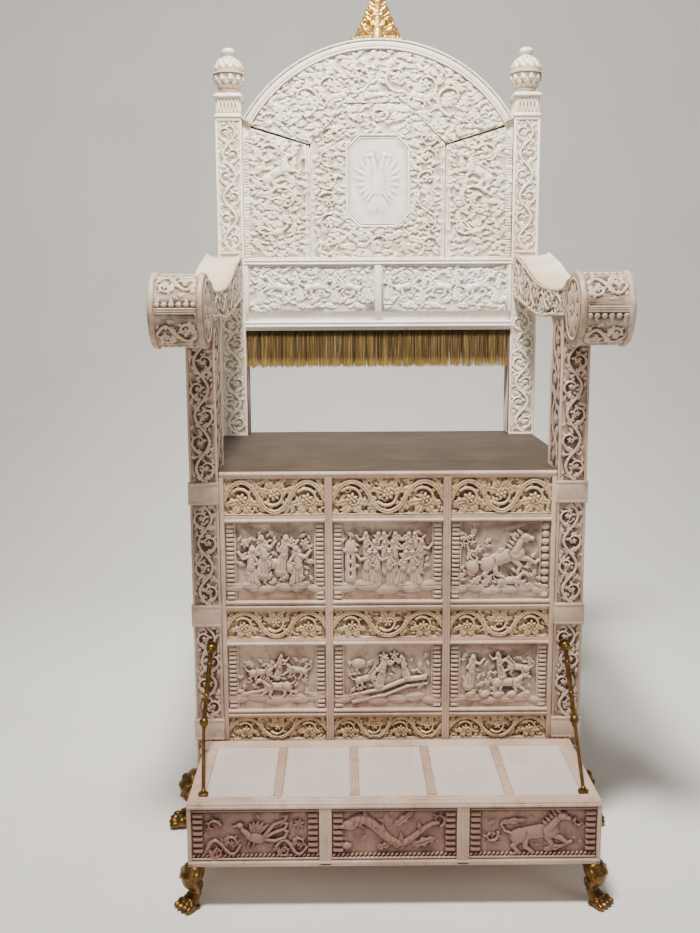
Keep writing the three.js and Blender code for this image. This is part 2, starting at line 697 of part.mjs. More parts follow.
// The capital of a back post with its carved ball and knob.
function postFinial() {
  const base = POST_TOP_Z + GAP;
  const slab = (low, high, wide, deep) => block(-wide / 2, -deep / 2, low, wide, deep, high - low);
  const ball = lathe([[0, 1317], [14, 1317], [26, 1331], [30.5, 1354], [23, 1379], [9, 1391],
    [14, 1396], [13, 1403], [0, 1408]], 8);
  const parts = [slab(1274, 1306, 49, 52), slab(1305, 1318, 60, BACK_POST_D + 2 * CAPITAL_OVERHANG), ball];
  for (let i = 0; i < 3; i++) parts.push(slab(1277, 1303, 7, 57).translate(-16 + 16 * i, 0, 0));
  return join(block(-BACK_POST_W / 2, -31.5, base, BACK_POST_W + 3, 63, 1275 - base), parts);
}

// The gilt crest on top of the arch: a saddle, tiers of leaves, a stalk and a closed bud.
function crestFinial() {
  const inner = archPoints(ARCH_RADIUS + GAP, -57, 57, 6);
  const outer = archPoints(ARCH_RADIUS + 6, 54, -54, 6);
  const saddle = slabXZ(polygon([...outer, ...inner]), 26).translate(0, -13, 0);
  const core = lathe([[0, 1422], [22, 1422], [11, 1446], [15, 1456], [9, 1470], [12, 1484],
    [7, 1497], [17, 1518], [12, 1540], [0, 1556]], 6);
  const parts = [core];
  const tiers = [[46, 1432, 42, 0.5], [30, 1446, 40, 0.85], [18, 1464, 34, 1.1]];
  for (const [x, z, length, turn] of tiers) {
    for (const side of [-1, 1]) {
      const spread = new THREE.OctahedronGeometry(1).scale(length / 2, 7, length / 4.5);
      parts.push(spread.rotateY(-side * turn).translate(side * x * 0.72, 0, z));
    }
  }
  return join(saddle, parts);
}

// ---------------------------------------------------------------- footrest

const plateWidth = (2 * (FOOTREST_HALF - FOOTREST_EDGE) - (PLATE_COUNT - 1) * DIVIDER_W) / PLATE_COUNT;
const PLATE_DEPTH = -FOOTREST_Y - 2 * FOOTREST_EDGE;
const PLATE_T = 4;
const FOOTREST_FIELD = { low: FOOTREST_Z + 10, high: FOOTREST_TOP - 9 };
const footrestColumns = [-1, 0, 1].map((side) => {
  const [inner, outer] = [FOOTREST_MULLION_X - 9, FOOTREST_MULLION_X + 9];
  if (side === 0) return { x: 0, width: 2 * inner };
  return { x: side * (outer + FOOTREST_HALF - 6) / 2, width: FOOTREST_HALF - 6 - outer };
});

// The footrest box: sunk beds for the five plates and the three carved fronts.
function footrestBox() {
  const depth = -FOOTREST_Y - GAP;
  const box = block(-FOOTREST_HALF, FOOTREST_Y, FOOTREST_Z, 2 * FOOTREST_HALF, depth,
    FOOTREST_TOP - FOOTREST_Z);
  const beds = [];
  for (let i = 0; i < PLATE_COUNT; i++) {
    const x = -FOOTREST_HALF + FOOTREST_EDGE + i * (plateWidth + DIVIDER_W);
    beds.push(block(x, FOOTREST_Y + FOOTREST_EDGE, FOOTREST_TOP - PLATE_T, plateWidth, PLATE_DEPTH, 9));
  }
  const { low, high } = FOOTREST_FIELD;
  for (const { x, width } of footrestColumns) {
    beds.push(block(x - width / 2, FOOTREST_Y - 1, low, width, 11, high - low));
  }
  for (const side of [-1, 1]) {
    const x = side < 0 ? -FOOTREST_HALF - 1 : FOOTREST_HALF - 4;
    beds.push(block(x, FOOTREST_Y + 14, low, 5, depth - 28, high - low));
  }
  return cut(box, beds);
}

const BEASTS = [
  (w, h) => [
    ...animal(0, -h * 0.02, w * 0.62, RELIEF, -1),
    stroke(spiral(w * 0.28, h * 0.1, h * 0.2, h * 0.1, -1.8, 4.4, 5), 6, RELIEF * 0.7, 4),
  ],
  (w, h) => [
    stroke([[-w * 0.3, -h * 0.1], [-w * 0.22, h * 0.24], [-w * 0.1, -h * 0.02], [w * 0.1, -h * 0.2],
      [w * 0.22, h * 0.02], [w * 0.32, h * 0.2]], h * 0.2, RELIEF, 8),
    boss(-w * 0.31, -h * 0.12, h * 0.13, h * 0.08, RELIEF, 0.5),
    leaf(w * 0.02, h * 0.16, w * 0.24, h * 0.2, RELIEF * 0.9, 0.6),
  ],
  (w, h) => [
    ...animal(0, h * 0.02, w * 0.58, RELIEF, 1, 0.1),
    leaf(-w * 0.12, h * 0.2, w * 0.24, h * 0.14, RELIEF, -0.5),
  ],
];

function footrestPlaque(index, width) {
  const height = FOOTREST_FIELD.high - FOOTREST_FIELD.low - 2 * GAP;
  const borders = [
    flutes(-width / 2 + 7, 11, height - 12, 3, 2.6),
    flutes(width / 2 - 7, 11, height - 12, 3, 2.6),
    fillet(height / 2 - 3.5, width - 2, 5, 3),
    fillet(-height / 2 + 3.5, width - 2, 5, 3),
  ];
  return plaque(width, height, [...borders, ...BEASTS[index](width, height)]);
}

// ---------------------------------------------------------------- feet and stays

// A cast animal foot: knee, ankle and a paw of three toes, reaching out along +x from x = 0.
function pawFoot(height, reach, thickness) {
  const outline = new THREE.Shape();
  outline.moveTo(-thickness, 0);
  outline.lineTo(reach * 0.72, 0);
  outline.lineTo(reach * 0.72, height * 0.2);
  outline.quadraticCurveTo(reach * 0.2, height * 0.42, reach * 0.34, height * 0.62);
  outline.quadraticCurveTo(reach * 0.5, height * 0.8, reach * 0.3, height);
  outline.lineTo(-thickness, height);
  outline.quadraticCurveTo(-thickness * 0.4, height * 0.5, -thickness, 0);
  const leg = slabXZ(outline, thickness, 2).translate(0, -thickness / 2, 0);
  const knee = new THREE.SphereGeometry(1, 5, 3).rotateX(Math.PI / 2);
  knee.scale(reach * 0.42, thickness * 0.56, height * 0.19).translate(reach * 0.44, 0, height * 0.79);
  const parts = [knee];
  for (const side of [-1, 0, 1]) {
    const toe = new THREE.CylinderGeometry(0.5, 1, height * 0.26, 4).rotateX(Math.PI / 2);
    toe.scale(reach * 0.3, thickness * 0.24, 1);
    parts.push(toe.translate(reach * (side === 0 ? 0.7 : 0.62), side * thickness * 0.34, height * 0.13));
  }
  return join(leg, parts);
}

// A gilt stay: knob on the post, flat link, elbow, and a rod down to the footrest.
function stay() {
  const knob = [-30, -12, 336];
  const elbow = [-20, -50, 223];
  const foot = [-37, -194, FOOTREST_TOP + 4];
  const spindle = new THREE.CylinderGeometry(4, 4, 12 - GAP, 6).translate(knob[0], -6 - GAP / 2, knob[2]);
  const eye = new THREE.SphereGeometry(9, 5, 3).translate(...knob);
  const joint = new THREE.SphereGeometry(8, 5, 3).translate(...elbow);
  const base = new THREE.CylinderGeometry(8, 8, 4, 6).rotateX(Math.PI / 2);
  base.translate(foot[0], foot[1], FOOTREST_TOP + GAP + 2);
  const middle = knob.map((value, i) => (value + elbow[i]) / 2);
  const link = tube([knob, [middle[0] + 1, middle[1] + 3, middle[2]], elbow], 4, 1, 6);
  const rod = tube([elbow, [-28, -120, 197], foot], 2.6, 1, 6);
  return join(eye, [spindle, joint, base, link, rod]);
}

// ---------------------------------------------------------------- assembly

const throne = new THREE.Group();
throne.position.y = -CENTRE_Y;

function add(name, geometry, paint, x = 0, y = 0, z = 0, turn = 0) {
  const mesh = new THREE.Mesh(geometry, paint);
  mesh.name = name;
  mesh.position.set(x, y, z);
  mesh.rotation.z = turn;
  throne.add(mesh);
}

// Adds the right-hand piece and its mirror image.
function addPair(name, geometry, paint, x, y, z, turn = 0) {
  add(`${name}_right`, geometry, paint(), x, y, z, turn);
  add(`${name}_left`, mirrored(geometry), paint(), -x, y, z, -turn);
}

add('front_frame', frontFrame(), ivory(), 0, FRAME_Y, 0);
const SIDES = ['left', 'middle', 'right'];
let sceneIndex = 0;
ROWS.forEach(([z, height, kind], row) => {
  columns.forEach(({ x, width }, column) => {
    const [w, h] = [width - 2 * GAP, height - 2 * GAP];
    const isScene = kind === 'scene';
    const shape = isScene ? scenePlaque(sceneIndex++, w, h) : friezePlaque(row, w, h);
    const paint = isScene ? ivory() : agedIvory();
    const y = FRAME_Y + FRAME_POCKET - GAP - PLAQUE_T;
    add(`${kind}_${row + 1}_${SIDES[column]}`, shape, paint, x, y, z + height / 2);
  });
});

const sideY = (FRONT_POST_D + BACK_POST_Y) / 2;
add('side_board_right', sideBoard(), ivory(), HALF_WIDTH - 4, sideY, 0, Math.PI / 2);
add('side_board_left', sideBoard(), ivory(), 4 - HALF_WIDTH, sideY, 0, -Math.PI / 2);
add('rear_board', rearBoard(), ivory(), 0, BACK_Y - 6, 0, Math.PI);
add('seat_board', seatBoard(), board(), 0, 0, SEAT_Z - SEAT_T);

addPair('front_post', frontPost(), ivory, HALF_WIDTH - FRONT_POST_W, 0, BODY_Z);
addPair('back_post', backPost(), ivory, HALF_WIDTH - BACK_POST_W, BACK_POST_Y, BODY_Z);

const panelY = BOARD_Y - PLAQUE_T;
add('back_board', backBoard(), ivory());
addPair('back_side_panel', sidePanel(), ivory, 0, panelY, 0);
addPair('arch_panel', archPanel(), ivory, 0, panelY, 0);
add('centre_panel', centrePanel(), ivory(), 0, panelY, 0);
add('medallion', medallion(), paleIvory(), 0, panelY, 0);
add('back_rail', backRail(), paleIvory(), 0, RAIL_Y, 0);
for (const [name, side] of [['left', -1], ['right', 1]]) {
  const { low, high, inner, outer } = RAIL_FIELD;
  add(`rail_plaque_${name}`, railPlaque(side), paleIvory(), side * (inner + outer) / 2,
    RAIL_Y + 10 - GAP - PLAQUE_T, (low + high) / 2);
}
add('fringe', fringe(), goldThread(), 0, BACK_POST_Y, FRINGE_Z);

addPair('arm', arm(), agedIvory, HALF_WIDTH - FRONT_POST_W, 0, 0);
addPair('roll', roll(), ivory, HALF_WIDTH - FRONT_POST_W, ROLL_Y, ROLL_Z);
addPair('post_finial', postFinial(), ivory, HALF_WIDTH - BACK_POST_W / 2, (BACK_POST_Y + BACK_Y) / 2, 0);
add('crest_finial', crestFinial(), gilt(), 0, BOARD_Y + BOARD_T / 2 - 4, 0);

add('footrest_box', footrestBox(), ivory());
for (let i = 0; i < PLATE_COUNT; i++) {
  const x = (i - (PLATE_COUNT - 1) / 2) * (plateWidth + DIVIDER_W);
  const plate = new THREE.BoxGeometry(plateWidth - 2 * GAP, PLATE_DEPTH - 2 * GAP, PLATE_T - 1);
  add(`footrest_plate_${i + 1}`, plate, paleIvory(), x, FOOTREST_Y / 2, FOOTREST_TOP - PLATE_T / 2 - 0.2);
}
footrestColumns.forEach(({ x, width }, i) => {
  const z = (FOOTREST_FIELD.low + FOOTREST_FIELD.high) / 2;
  add(`footrest_front_${SIDES[i]}`, footrestPlaque(i, width - 2 * GAP), ivory(), x,
    FOOTREST_Y + 10 - GAP - PLAQUE_T, z);
});

const bodyReach = BODY_FOOT_REACH - HALF_WIDTH + 20;
const bodyFoot = pawFoot(BODY_Z - GAP, bodyReach, 46);
addPair('body_foot_front', bodyFoot, gilt, BODY_FOOT_REACH - bodyReach * 0.98, 36, 0);
addPair('body_foot_rear', bodyFoot, gilt, BODY_FOOT_REACH - bodyReach * 0.98, BACK_Y - 36, 0);
const lowFoot = pawFoot(FOOTREST_Z - GAP, 44, 32);
addPair('footrest_foot', lowFoot, gilt, FOOTREST_HALF - 16, FOOTREST_Y + 20, 0, -Math.PI / 4);
addPair('stay', stay(), gilt, HALF_WIDTH, 0, 0);

export default throne;
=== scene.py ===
"""The looks of a carved, ivory-clad throne with an arched back, scrolled arms and a footrest.

Every sub-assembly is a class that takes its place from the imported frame's boxes. Relief is real
geometry: a Relief works out the carved heights on the points of a grid, and the grid becomes the
front of a closed plate or the skin of a turned piece. Lengths are in metres, +Z is up and the
throne faces -Y.
"""

import logging
import math
from collections.abc import Callable, Sequence
from dataclasses import dataclass
from enum import Enum

import bmesh
import bpy
import numpy as np
from mathutils import Matrix, Vector


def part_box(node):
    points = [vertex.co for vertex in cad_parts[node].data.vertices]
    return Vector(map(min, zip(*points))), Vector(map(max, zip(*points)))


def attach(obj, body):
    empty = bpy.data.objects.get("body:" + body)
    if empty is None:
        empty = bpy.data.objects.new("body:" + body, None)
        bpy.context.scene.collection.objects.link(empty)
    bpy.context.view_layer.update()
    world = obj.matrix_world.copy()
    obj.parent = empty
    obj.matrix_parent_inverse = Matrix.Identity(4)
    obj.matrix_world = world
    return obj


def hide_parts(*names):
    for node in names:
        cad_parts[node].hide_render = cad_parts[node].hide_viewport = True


log = logging.getLogger("throne")

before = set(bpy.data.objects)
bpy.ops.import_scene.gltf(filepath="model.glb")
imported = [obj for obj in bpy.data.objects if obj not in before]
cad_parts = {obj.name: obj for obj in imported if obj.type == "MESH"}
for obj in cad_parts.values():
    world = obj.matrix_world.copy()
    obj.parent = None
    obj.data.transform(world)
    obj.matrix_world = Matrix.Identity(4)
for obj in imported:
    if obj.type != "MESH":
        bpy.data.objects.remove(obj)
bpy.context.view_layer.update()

MM = 0.001
PLATE = 4.7 * MM            # thickness of an ivory plaque behind its ground
RELIEF = 5.0 * MM           # how far the boldest carving stands out of its ground
ROUND = 0.66                # how round the carved shapes are: 0.5 is a half circle, more is softer
PLAIN = 0.3                 # how hollow a plain, flat surface counts
COLLAR = 3 * MM             # how far the front posts' collars stand out of their faces
UNDERCUT = 0.8              # what is left of a carved shape where another lies over it
FINE = 3000                 # a piece with more faces than this is thinned where it is flat
WELD = 1e-6                 # corners closer than this are one
RIGHT, LEFT = 1, -1
SIDES = {"right": RIGHT, "left": LEFT}
COLUMNS = ("left", "middle", "right")
X_AXIS, Y_AXIS, Z_AXIS = Vector((1, 0, 0)), Vector((0, 1, 0)), Vector((0, 0, 1))

Array = np.ndarray
Material, Node, Object = bpy.types.Material, bpy.types.Node, bpy.types.Object
Mesh = bmesh.types.BMesh
Socket = bpy.types.NodeSocket
Tree = bpy.types.NodeTree
Colour = tuple[int, int, int]
Point = tuple[float, float]
Pair = tuple[Array, Array]
Draw = Callable[["Relief"], None]
Line = Callable[[Array], Array]
Spread = Callable[[Array, Array], Pair]


class Slot(Enum):
    """The record's material slots."""

    IVORY = "ivory"
    AGED = "aged_ivory"
    PALE = "pale_ivory"
    WOOD = "seat_wood"
    GILT = "gilt_metal"
    THREAD = "gold_thread"


# ---------------------------------------------------------------- faces that carry carving


@dataclass(frozen=True)
class Face:
    """A flat face: a point on it and its directions across, up and outward."""

    origin: Vector
    across: Vector
    up: Vector
    outward: Vector

    def at(self, a: Array, b: Array, height: Array) -> Array:
        """Places points of the face.

        Args:
            a: distances across the face.
            b: distances up the face.
            height: how far each point stands out of it.

        Returns:
            One row of x, y, z for each point.
        """
        place = np.array(self.origin) + np.outer(a, self.across) + np.outer(b, self.up)
        return place + np.outer(height, self.outward)


@dataclass(frozen=True)
class Turned:
    """A turned face round an axis, from an outline of (radius, distance along the axis)."""

    centre: Vector
    axis: Vector
    start: Vector
    outline: tuple[Point, ...]
    girth: float            # radius at which a distance round the face is measured

    def _rules(self) -> tuple[Array, Array, Array]:
        """Gives the outline's radii, its places along the axis and its running length."""
        radius, along = np.array(self.outline).T
        run = np.concatenate([[0], np.cumsum(np.hypot(np.diff(radius), np.diff(along)))])
        return radius, along, run

    def length(self) -> float:
        """Gives the length of the outline."""
        return float(self._rules()[2][-1])

    def at(self, a: Array, b: Array, height: Array) -> Array:
        """Places points of the turned face.

        Args:
            a: distances round the axis, measured at the girth.
            b: distances along the outline.
            height: how far each point stands out of the face.

        Returns:
            One row of x, y, z for each point.
        """
        radius, along, run = self._rules()
        small = run[-1] * 0.004
        r, s = np.interp(b, run, radius), np.interp(b, run, along)
        before, after = np.clip(b - small, 0, run[-1]), np.clip(b + small, 0, run[-1])
        dr = np.interp(after, run, radius) - np.interp(before, run, radius)
        ds = np.interp(after, run, along) - np.interp(before, run, along)
        size = np.hypot(dr, ds) + 1e-12
        r, s = r + height * ds / size, s - height * dr / size
        side = self.axis.cross(self.start)
        angle = a / self.girth
        ring = np.outer(np.cos(angle), self.start) + np.outer(np.sin(angle), side)
        return np.array(self.centre) + ring * r[:, None] + np.outer(s, self.axis)


# ---------------------------------------------------------------- carving


def mirrored(turn: float, hand: int) -> float:
    """Gives a direction as it is for the right hand, and mirrored for the left."""
    return turn if hand > 0 else math.pi - turn


class Relief:
    """Carved heights on the points of a grid; motifs are laid over each other."""

    def __init__(self, across: Array, up: Array, seed: int = 1) -> None:
        """Starts with a flat ground.

        Args:
            across: each point's distance across the face.
            up: each point's distance up the face.
            seed: number that fixes the scattered leaves.
        """
        self.across = across
        self.up = up
        self.height = np.zeros_like(across)
        self.clean = np.zeros(across.shape, dtype=bool)
        self.chance = np.random.default_rng(seed)
        self.low = (float(across.min()), float(up.min()))
        self.high = (float(across.max()), float(up.max()))
        self.width = self.high[0] - self.low[0]
        self.tall = self.high[1] - self.low[1]

    def _near(self, x: float, z: float, reach: float) -> Array:
        """Finds the points within a square round a place."""
        return np.nonzero((np.abs(self.across - x) < reach) & (np.abs(self.up - z) < reach))[0]

    def _lift(self, near: Array, height: Array) -> None:
        """Lays a shape over the points; what it covers is cut back, so that its edge shows."""
        old = self.height[near]
        self.height[near] = np.where(height > 0, np.maximum(height, old * UNDERCUT), old)

    def _beside(self, p: Array, q: Array, step: float, reach: float) -> tuple[Array, Array, Array]:
        """Finds the points near a straight step, with their share along it and distance from it."""
        middle = (p + q) / 2
        near = self._near(middle[0], middle[1], step / 2 + reach)
        gap = np.stack([self.across[near] - p[0], self.up[near] - p[1]])
        share = np.clip(((q - p) @ gap) / max(step**2, 1e-12), 0, 1)
        return near, share, np.hypot(gap[0] - share * (q - p)[0], gap[1] - share * (q - p)[1])

    def _turned(
        self, x: float, z: float, reach: float, turn: float
    ) -> tuple[Array, Array, Array]:
        """Finds nearby points, with their places along and beside a turned line."""
        near = self._near(x, z, reach)
        dx, dz = self.across[near] - x, self.up[near] - z
        c, s = math.cos(turn), math.sin(turn)
        return near, dx * c + dz * s, dz * c - dx * s

    def dome(self, x: float, z: float, long: float, wide: float, rise: float, turn: float = 0) -> None:
        """Raises an oval boss of the given half length and half width."""
        near, s, t = self._turned(x, z, max(long, wide), turn)
        self._lift(near, rise * np.clip(1 - (s / long) ** 2 - (t / wide) ** 2, 0, 1) ** ROUND)

    def pad(self, x: float, z: float, long: float, wide: float, rise: float, turn: float = 0) -> None:
        """Raises a bar with a round top and blunt ends, of half length and half width."""
        near, s, t = self._turned(x, z, max(long, wide) * 1.5, turn)
        ends = np.clip(1 - np.abs(s / long) ** 8, 0, 1)
        self._lift(near, rise * (ends * np.clip(1 - (t / wide) ** 2, 0, 1)) ** ROUND)

    def leaf(
        self, x: float, z: float, long: float, wide: float, rise: float, turn: float, lobes: int = 0
    ) -> None:
        """Raises a pointed leaf with a sunk vein.

        Args:
            x: its root, across.
            z: its root, up.
            long: its length.
            wide: its greatest width.
            rise: how far it stands out.
            turn: its direction in radians.
            lobes: how many lobes its edge has.
        """
        cx, cz = x + long / 2 * math.cos(turn), z + long / 2 * math.sin(turn)
        near, s, t = self._turned(cx, cz, long * 0.62 + wide / 2, turn)
        s = s / (long / 2)
        half = wide / 2 * np.clip(1 - s**2, 0, 1) ** 0.7 * (1 - 0.3 * s)
        half = half * (1 + 0.24 * np.cos(lobes * math.pi * s)) if lobes else half
        body = np.clip(1 - (t / (half + 1e-9)) ** 2, 0, 1) ** ROUND * (np.abs(s) < 1)
        vein = 1 - 0.45 * np.exp(-((t / (0.09 * wide)) ** 2))
        self._lift(near, rise * (0.55 + 0.45 * (1 - np.abs(s))) * body * vein)

    def stem(self, points: Sequence[Point], start: float, end: float, rise: float) -> None:
        """Raises a rounded ridge along a line.

        Args:
            points: the line.
            start: its width at the first point.
            end: its width at the last point.
            rise: how far it stands out where it is widest.
        """
        line = np.array(points)
        steps = np.hypot(*np.diff(line, axis=0).T)
        run = np.concatenate([[0], np.cumsum(steps)]) / max(steps.sum(), 1e-9)
        widest = max(start, end)
        lift = np.zeros_like(self.height)
        for p, q, low, high, step in zip(line[:-1], line[1:], run[:-1], run[1:], steps):
            near, share, away = self._beside(p, q, step, widest)
            width = start + (end - start) * (low + share * (high - low))
            body = np.clip(1 - (away / (width / 2)) ** 2, 0, 1) ** ROUND
            lift[near] = np.maximum(lift[near], rise * (0.5 + 0.5 * width / widest) * body)
        raised = np.nonzero(lift)[0]
        self._lift(raised, lift[raised])

    def groove(self, points: Sequence[Point], width: float, depth: float) -> None:
        """Sinks a narrow line into what is already carved."""
        line = np.array(points)
        for p, q in zip(line[:-1], line[1:]):
            near, _, away = self._beside(p, q, float(np.hypot(*(q - p))), 2 * width)
            cut = self.height[near] * (1 - depth * np.exp(-((away / width) ** 2)))
            self.height[near] = np.minimum(self.height[near], cut)

    # ---- mouldings

    def fillet(self, z: float, half: float, rise: float) -> None:
        """Raises a straight half-round moulding right across the face."""
        near = np.nonzero(np.abs(self.up - z) < half)[0]
        self._lift(near, rise * np.sqrt(np.clip(1 - ((self.up[near] - z) / half) ** 2, 0, 1)))

    def strip(self, x: float, half: float, rise: float) -> None:
        """Raises an upright half-round moulding from the foot of the face to its top."""
        near = np.nonzero(np.abs(self.across - x) < half)[0]
        self._lift(near, rise * np.sqrt(np.clip(1 - ((self.across[near] - x) / half) ** 2, 0, 1)))

    def bars(self, x: float, low: float, high: float, half: float, count: int, rise: float) -> None:
        """Raises a column of short bars lying one above the other."""
        pitch = (high - low) / count
        for i in range(count):
            self.pad(x, low + (i + 0.5) * pitch, half, pitch * 0.43, rise)

    def beads(self, x: float, low: float, high: float, half: float, count: int, rise: float) -> None:
        """Raises a column of leaf-like beads."""
        pitch = (high - low) / count
        for i in range(count):
            self.dome(x, low + (i + 0.5) * pitch, half, pitch * 0.46, rise, 0.25)

    def rope(self, z: float, half: float, rise: float, pitch: float) -> None:
        """Raises a twisted cord right across the face."""
        count = int(self.width / pitch)
        for i in range(count):
            x = self.low[0] + (i + 0.5) * self.width / count
            self.dome(x, z, pitch * 0.62, half * 0.8, rise, 0.7)

    # ---- foliage

    def rosette(self, x: float, z: float, radius: float, rise: float, petals: int = 6) -> None:
        """Raises a flower of round petals about a button."""
        for i in range(petals):
            turn = 2 * math.pi * i / petals + 0.3
            px, pz = x + radius * 0.58 * math.cos(turn), z + radius * 0.58 * math.sin(turn)
            self.dome(px, pz, radius * 0.46, radius * 0.3, rise * 0.85, turn)
        self.dome(x, z, radius * 0.3, radius * 0.3, rise * 1.1)

    def curl(
        self, x: float, z: float, radius: float, turn: float, sweep: float, width: float, rise: float
    ) -> None:
        """Raises a scroll that winds in to its centre, with leaves on its outer side.

        Args:
            x: the centre, across.
            z: the centre, up.
            radius: the outer radius.
            turn: the angle at which it starts.
            sweep: how far it winds, against the clock if positive.
            width: the width of the stem.
            rise: how far it stands out.
        """
        count = 16
        share = np.linspace(0, 1, count)
        reach = radius * (1 - 0.72 * share)
        angle = turn + sweep * share
        line = list(zip(x + reach * np.cos(angle), z + reach * np.sin(angle)))
        for i in range(1, count - 4, 3):
            out = angle[i] + math.copysign(0.9, sweep)
            self.leaf(*line[i], radius * 0.62, radius * 0.3, rise * 0.8, out, 2)
        self.stem(line, width, width * 0.55, rise)

    def vine(
        self, low: Point, high: Point, swing: float, bays: int, rise: float, stout: float = 1.4
    ) -> None:
        """Raises a waving stem from low to high, with a scroll and a flower in each bay.

        Args:
            low: the stem's start.
            high: its end.
            swing: how far the foliage reaches to each side.
            bays: how many scrolls there are.
            rise: how far it stands out.
            stout: how thick the stems are, as a share of the usual.
        """
        ends = np.array(low), np.array(high)
        way = ends[1] - ends[0]
        length = float(np.hypot(*way))
        ahead = way / length
        side = np.array([-ahead[1], ahead[0]])
        heading = math.atan2(ahead[1], ahead[0])
        share = np.linspace(0, 1, bays * 8 + 1)
        wave = np.sin(share * bays * math.pi)
        line = [tuple(ends[0] + way * s + side * swing * 0.62 * w) for s, w in zip(share, wave)]
        pitch = length / bays
        for i in range(bays):
            hand = 1 if i % 2 else -1
            spot = ends[0] + way * (i + 0.5) / bays + side * swing * 0.3 * hand
            self.curl(*spot, min(pitch * 0.42, swing * 0.72), heading + hand * 2.5, -hand * 5.2,
                      swing * 0.17 * stout, rise * 0.9)
            self.rosette(*spot, swing * 0.27, rise, 5)
            root = ends[0] + way * (i + 0.06) / bays
            self.leaf(*root, swing * 0.95, swing * 0.42, rise * 0.9, heading + hand * 1.1, 3)
            self.leaf(*root, swing * 0.7, swing * 0.36, rise * 0.8, heading - hand * 1.2, 3)
            self.leaf(*root, swing * 0.6, swing * 0.3, rise * 0.8, heading + hand * 2.2, 2)
        self.stem(line, swing * 0.2 * stout, swing * 0.16 * stout, rise * 0.95)

    def thicket(
        self, count: int, size: float, rise: float, margin: float = 0.0, swing: float = math.pi
    ) -> None:
        """Scatters small leaves over the ground that is still bare.

        Args:
            count: how many places are tried.
            size: a leaf's usual length.
            rise: how far the leaves stand out.
            margin: how wide a strip at the edges stays bare.
            swing: how far a leaf may turn from the level, in radians.
        """
        x = self.chance.uniform(self.low[0] + margin, self.high[0] - margin, count)
        z = self.chance.uniform(self.low[1] + margin, self.high[1] - margin, count)
        turn = self.chance.uniform(-swing, swing, count) + math.pi * self.chance.integers(0, 2, count)
        long = self.chance.uniform(0.7, 1.3, count) * size
        for px, pz, angle, reach in zip(x, z, turn, long):
            near = self._near(px, pz, size * 0.4)
            if near.size and self.height[near].mean() < rise * 0.3:
                self.leaf(px, pz, reach, reach * 0.42, rise, angle, 2)

    def hills(self, z: float, rise: float, count: int) -> None:
        """Raises a row of round hillocks at the foot of a scene."""
        for i in range(count):
            x = self.low[0] + self.width * (i + 0.5) / count
            lift = 0.35 * math.sin(2.1 * i)
            wide = self.width / count * 0.62
            self.dome(x, z + wide * lift * 0.5, wide, wide * 0.42, rise * 0.8, 0.12 * (-1) ** i)
            crease = [(x - wide * 0.7, z + wide * 0.1), (x + wide * 0.7, z + wide * 0.16)]
            self.groove(crease, 0.6 * MM, 0.4)

    # ---- figures, animals and buildings, all plain and generic

    def person(
        self, x: float, z: float, tall: float, rise: float, lean: float = 0.0, hand: int = 1
    ) -> None:
        """Raises a small robed figure that stands on (x, z).

        Args:
            x: its place, across.
            z: the height of its feet.
            tall: its height.
            rise: how far it stands out.
            lean: how far its head is off the upright, as a share of its height.
            hand: the side of its raised arm.
        """
        hip = (x + lean * tall * 0.3, z + tall * 0.46)
        neck = (x + lean * tall * 0.8, z + tall * 0.8)
        head = (x + lean * tall, z + tall * 0.91)
        self.stem([(x - hand * tall * 0.08, z), hip], tall * 0.36, tall * 0.24, rise * 0.85)
        for fold in (-0.09, 0.0, 0.09):
            self.groove([(x + fold * tall, z + tall * 0.02), (hip[0] + fold * tall * 0.5, hip[1])],
                        tall * 0.02, 0.5)
        self.stem([hip, neck], tall * 0.22, tall * 0.24, rise)
        elbow = (neck[0] + hand * tall * 0.22, neck[1] - tall * 0.12)
        self.stem([(neck[0], neck[1] - tall * 0.04), elbow, (elbow[0] + hand * tall * 0.12,
                   elbow[1] + tall * 0.16)], tall * 0.11, tall * 0.08, rise)
        low = (neck[0] - hand * tall * 0.17, neck[1] - tall * 0.24)
        self.stem([neck, low, (low[0] + hand * tall * 0.14, low[1] - tall * 0.04)],
                  tall * 0.11, tall * 0.08, rise * 0.95)
        self.dome(*head, tall * 0.085, tall * 0.1, rise * 1.2)
        self.groove([(head[0] - tall * 0.09, head[1] + tall * 0.035),
                     (head[0] + tall * 0.09, head[1] + tall * 0.035)], tall * 0.015, 0.35)

    def beast(
        self, x: float, z: float, long: float, rise: float, facing: int = 1, tilt: float = 0.0,
        mane: bool = True,
    ) -> None:
        """Raises a running animal about (x, z).

        Args:
            x: the middle of its body, across.
            z: the middle of its body, up.
            long: its length.
            rise: how far it stands out.
            facing: 1 if it runs to the right and -1 to the left.
            tilt: how far its head is raised, in radians.
            mane: whether it has a mane of locks.
        """
        c, s = math.cos(tilt), math.sin(tilt)

        def at(ahead: float, above: float) -> Point:
            """Places a point of the animal, given in shares of its length."""
            return (x + facing * (ahead * c - above * s) * long, z + (ahead * s + above * c) * long)

        def heading(angle: float) -> float:
            """Turns a direction of the animal to one of the face."""
            return angle + tilt if facing > 0 else math.pi - angle - tilt

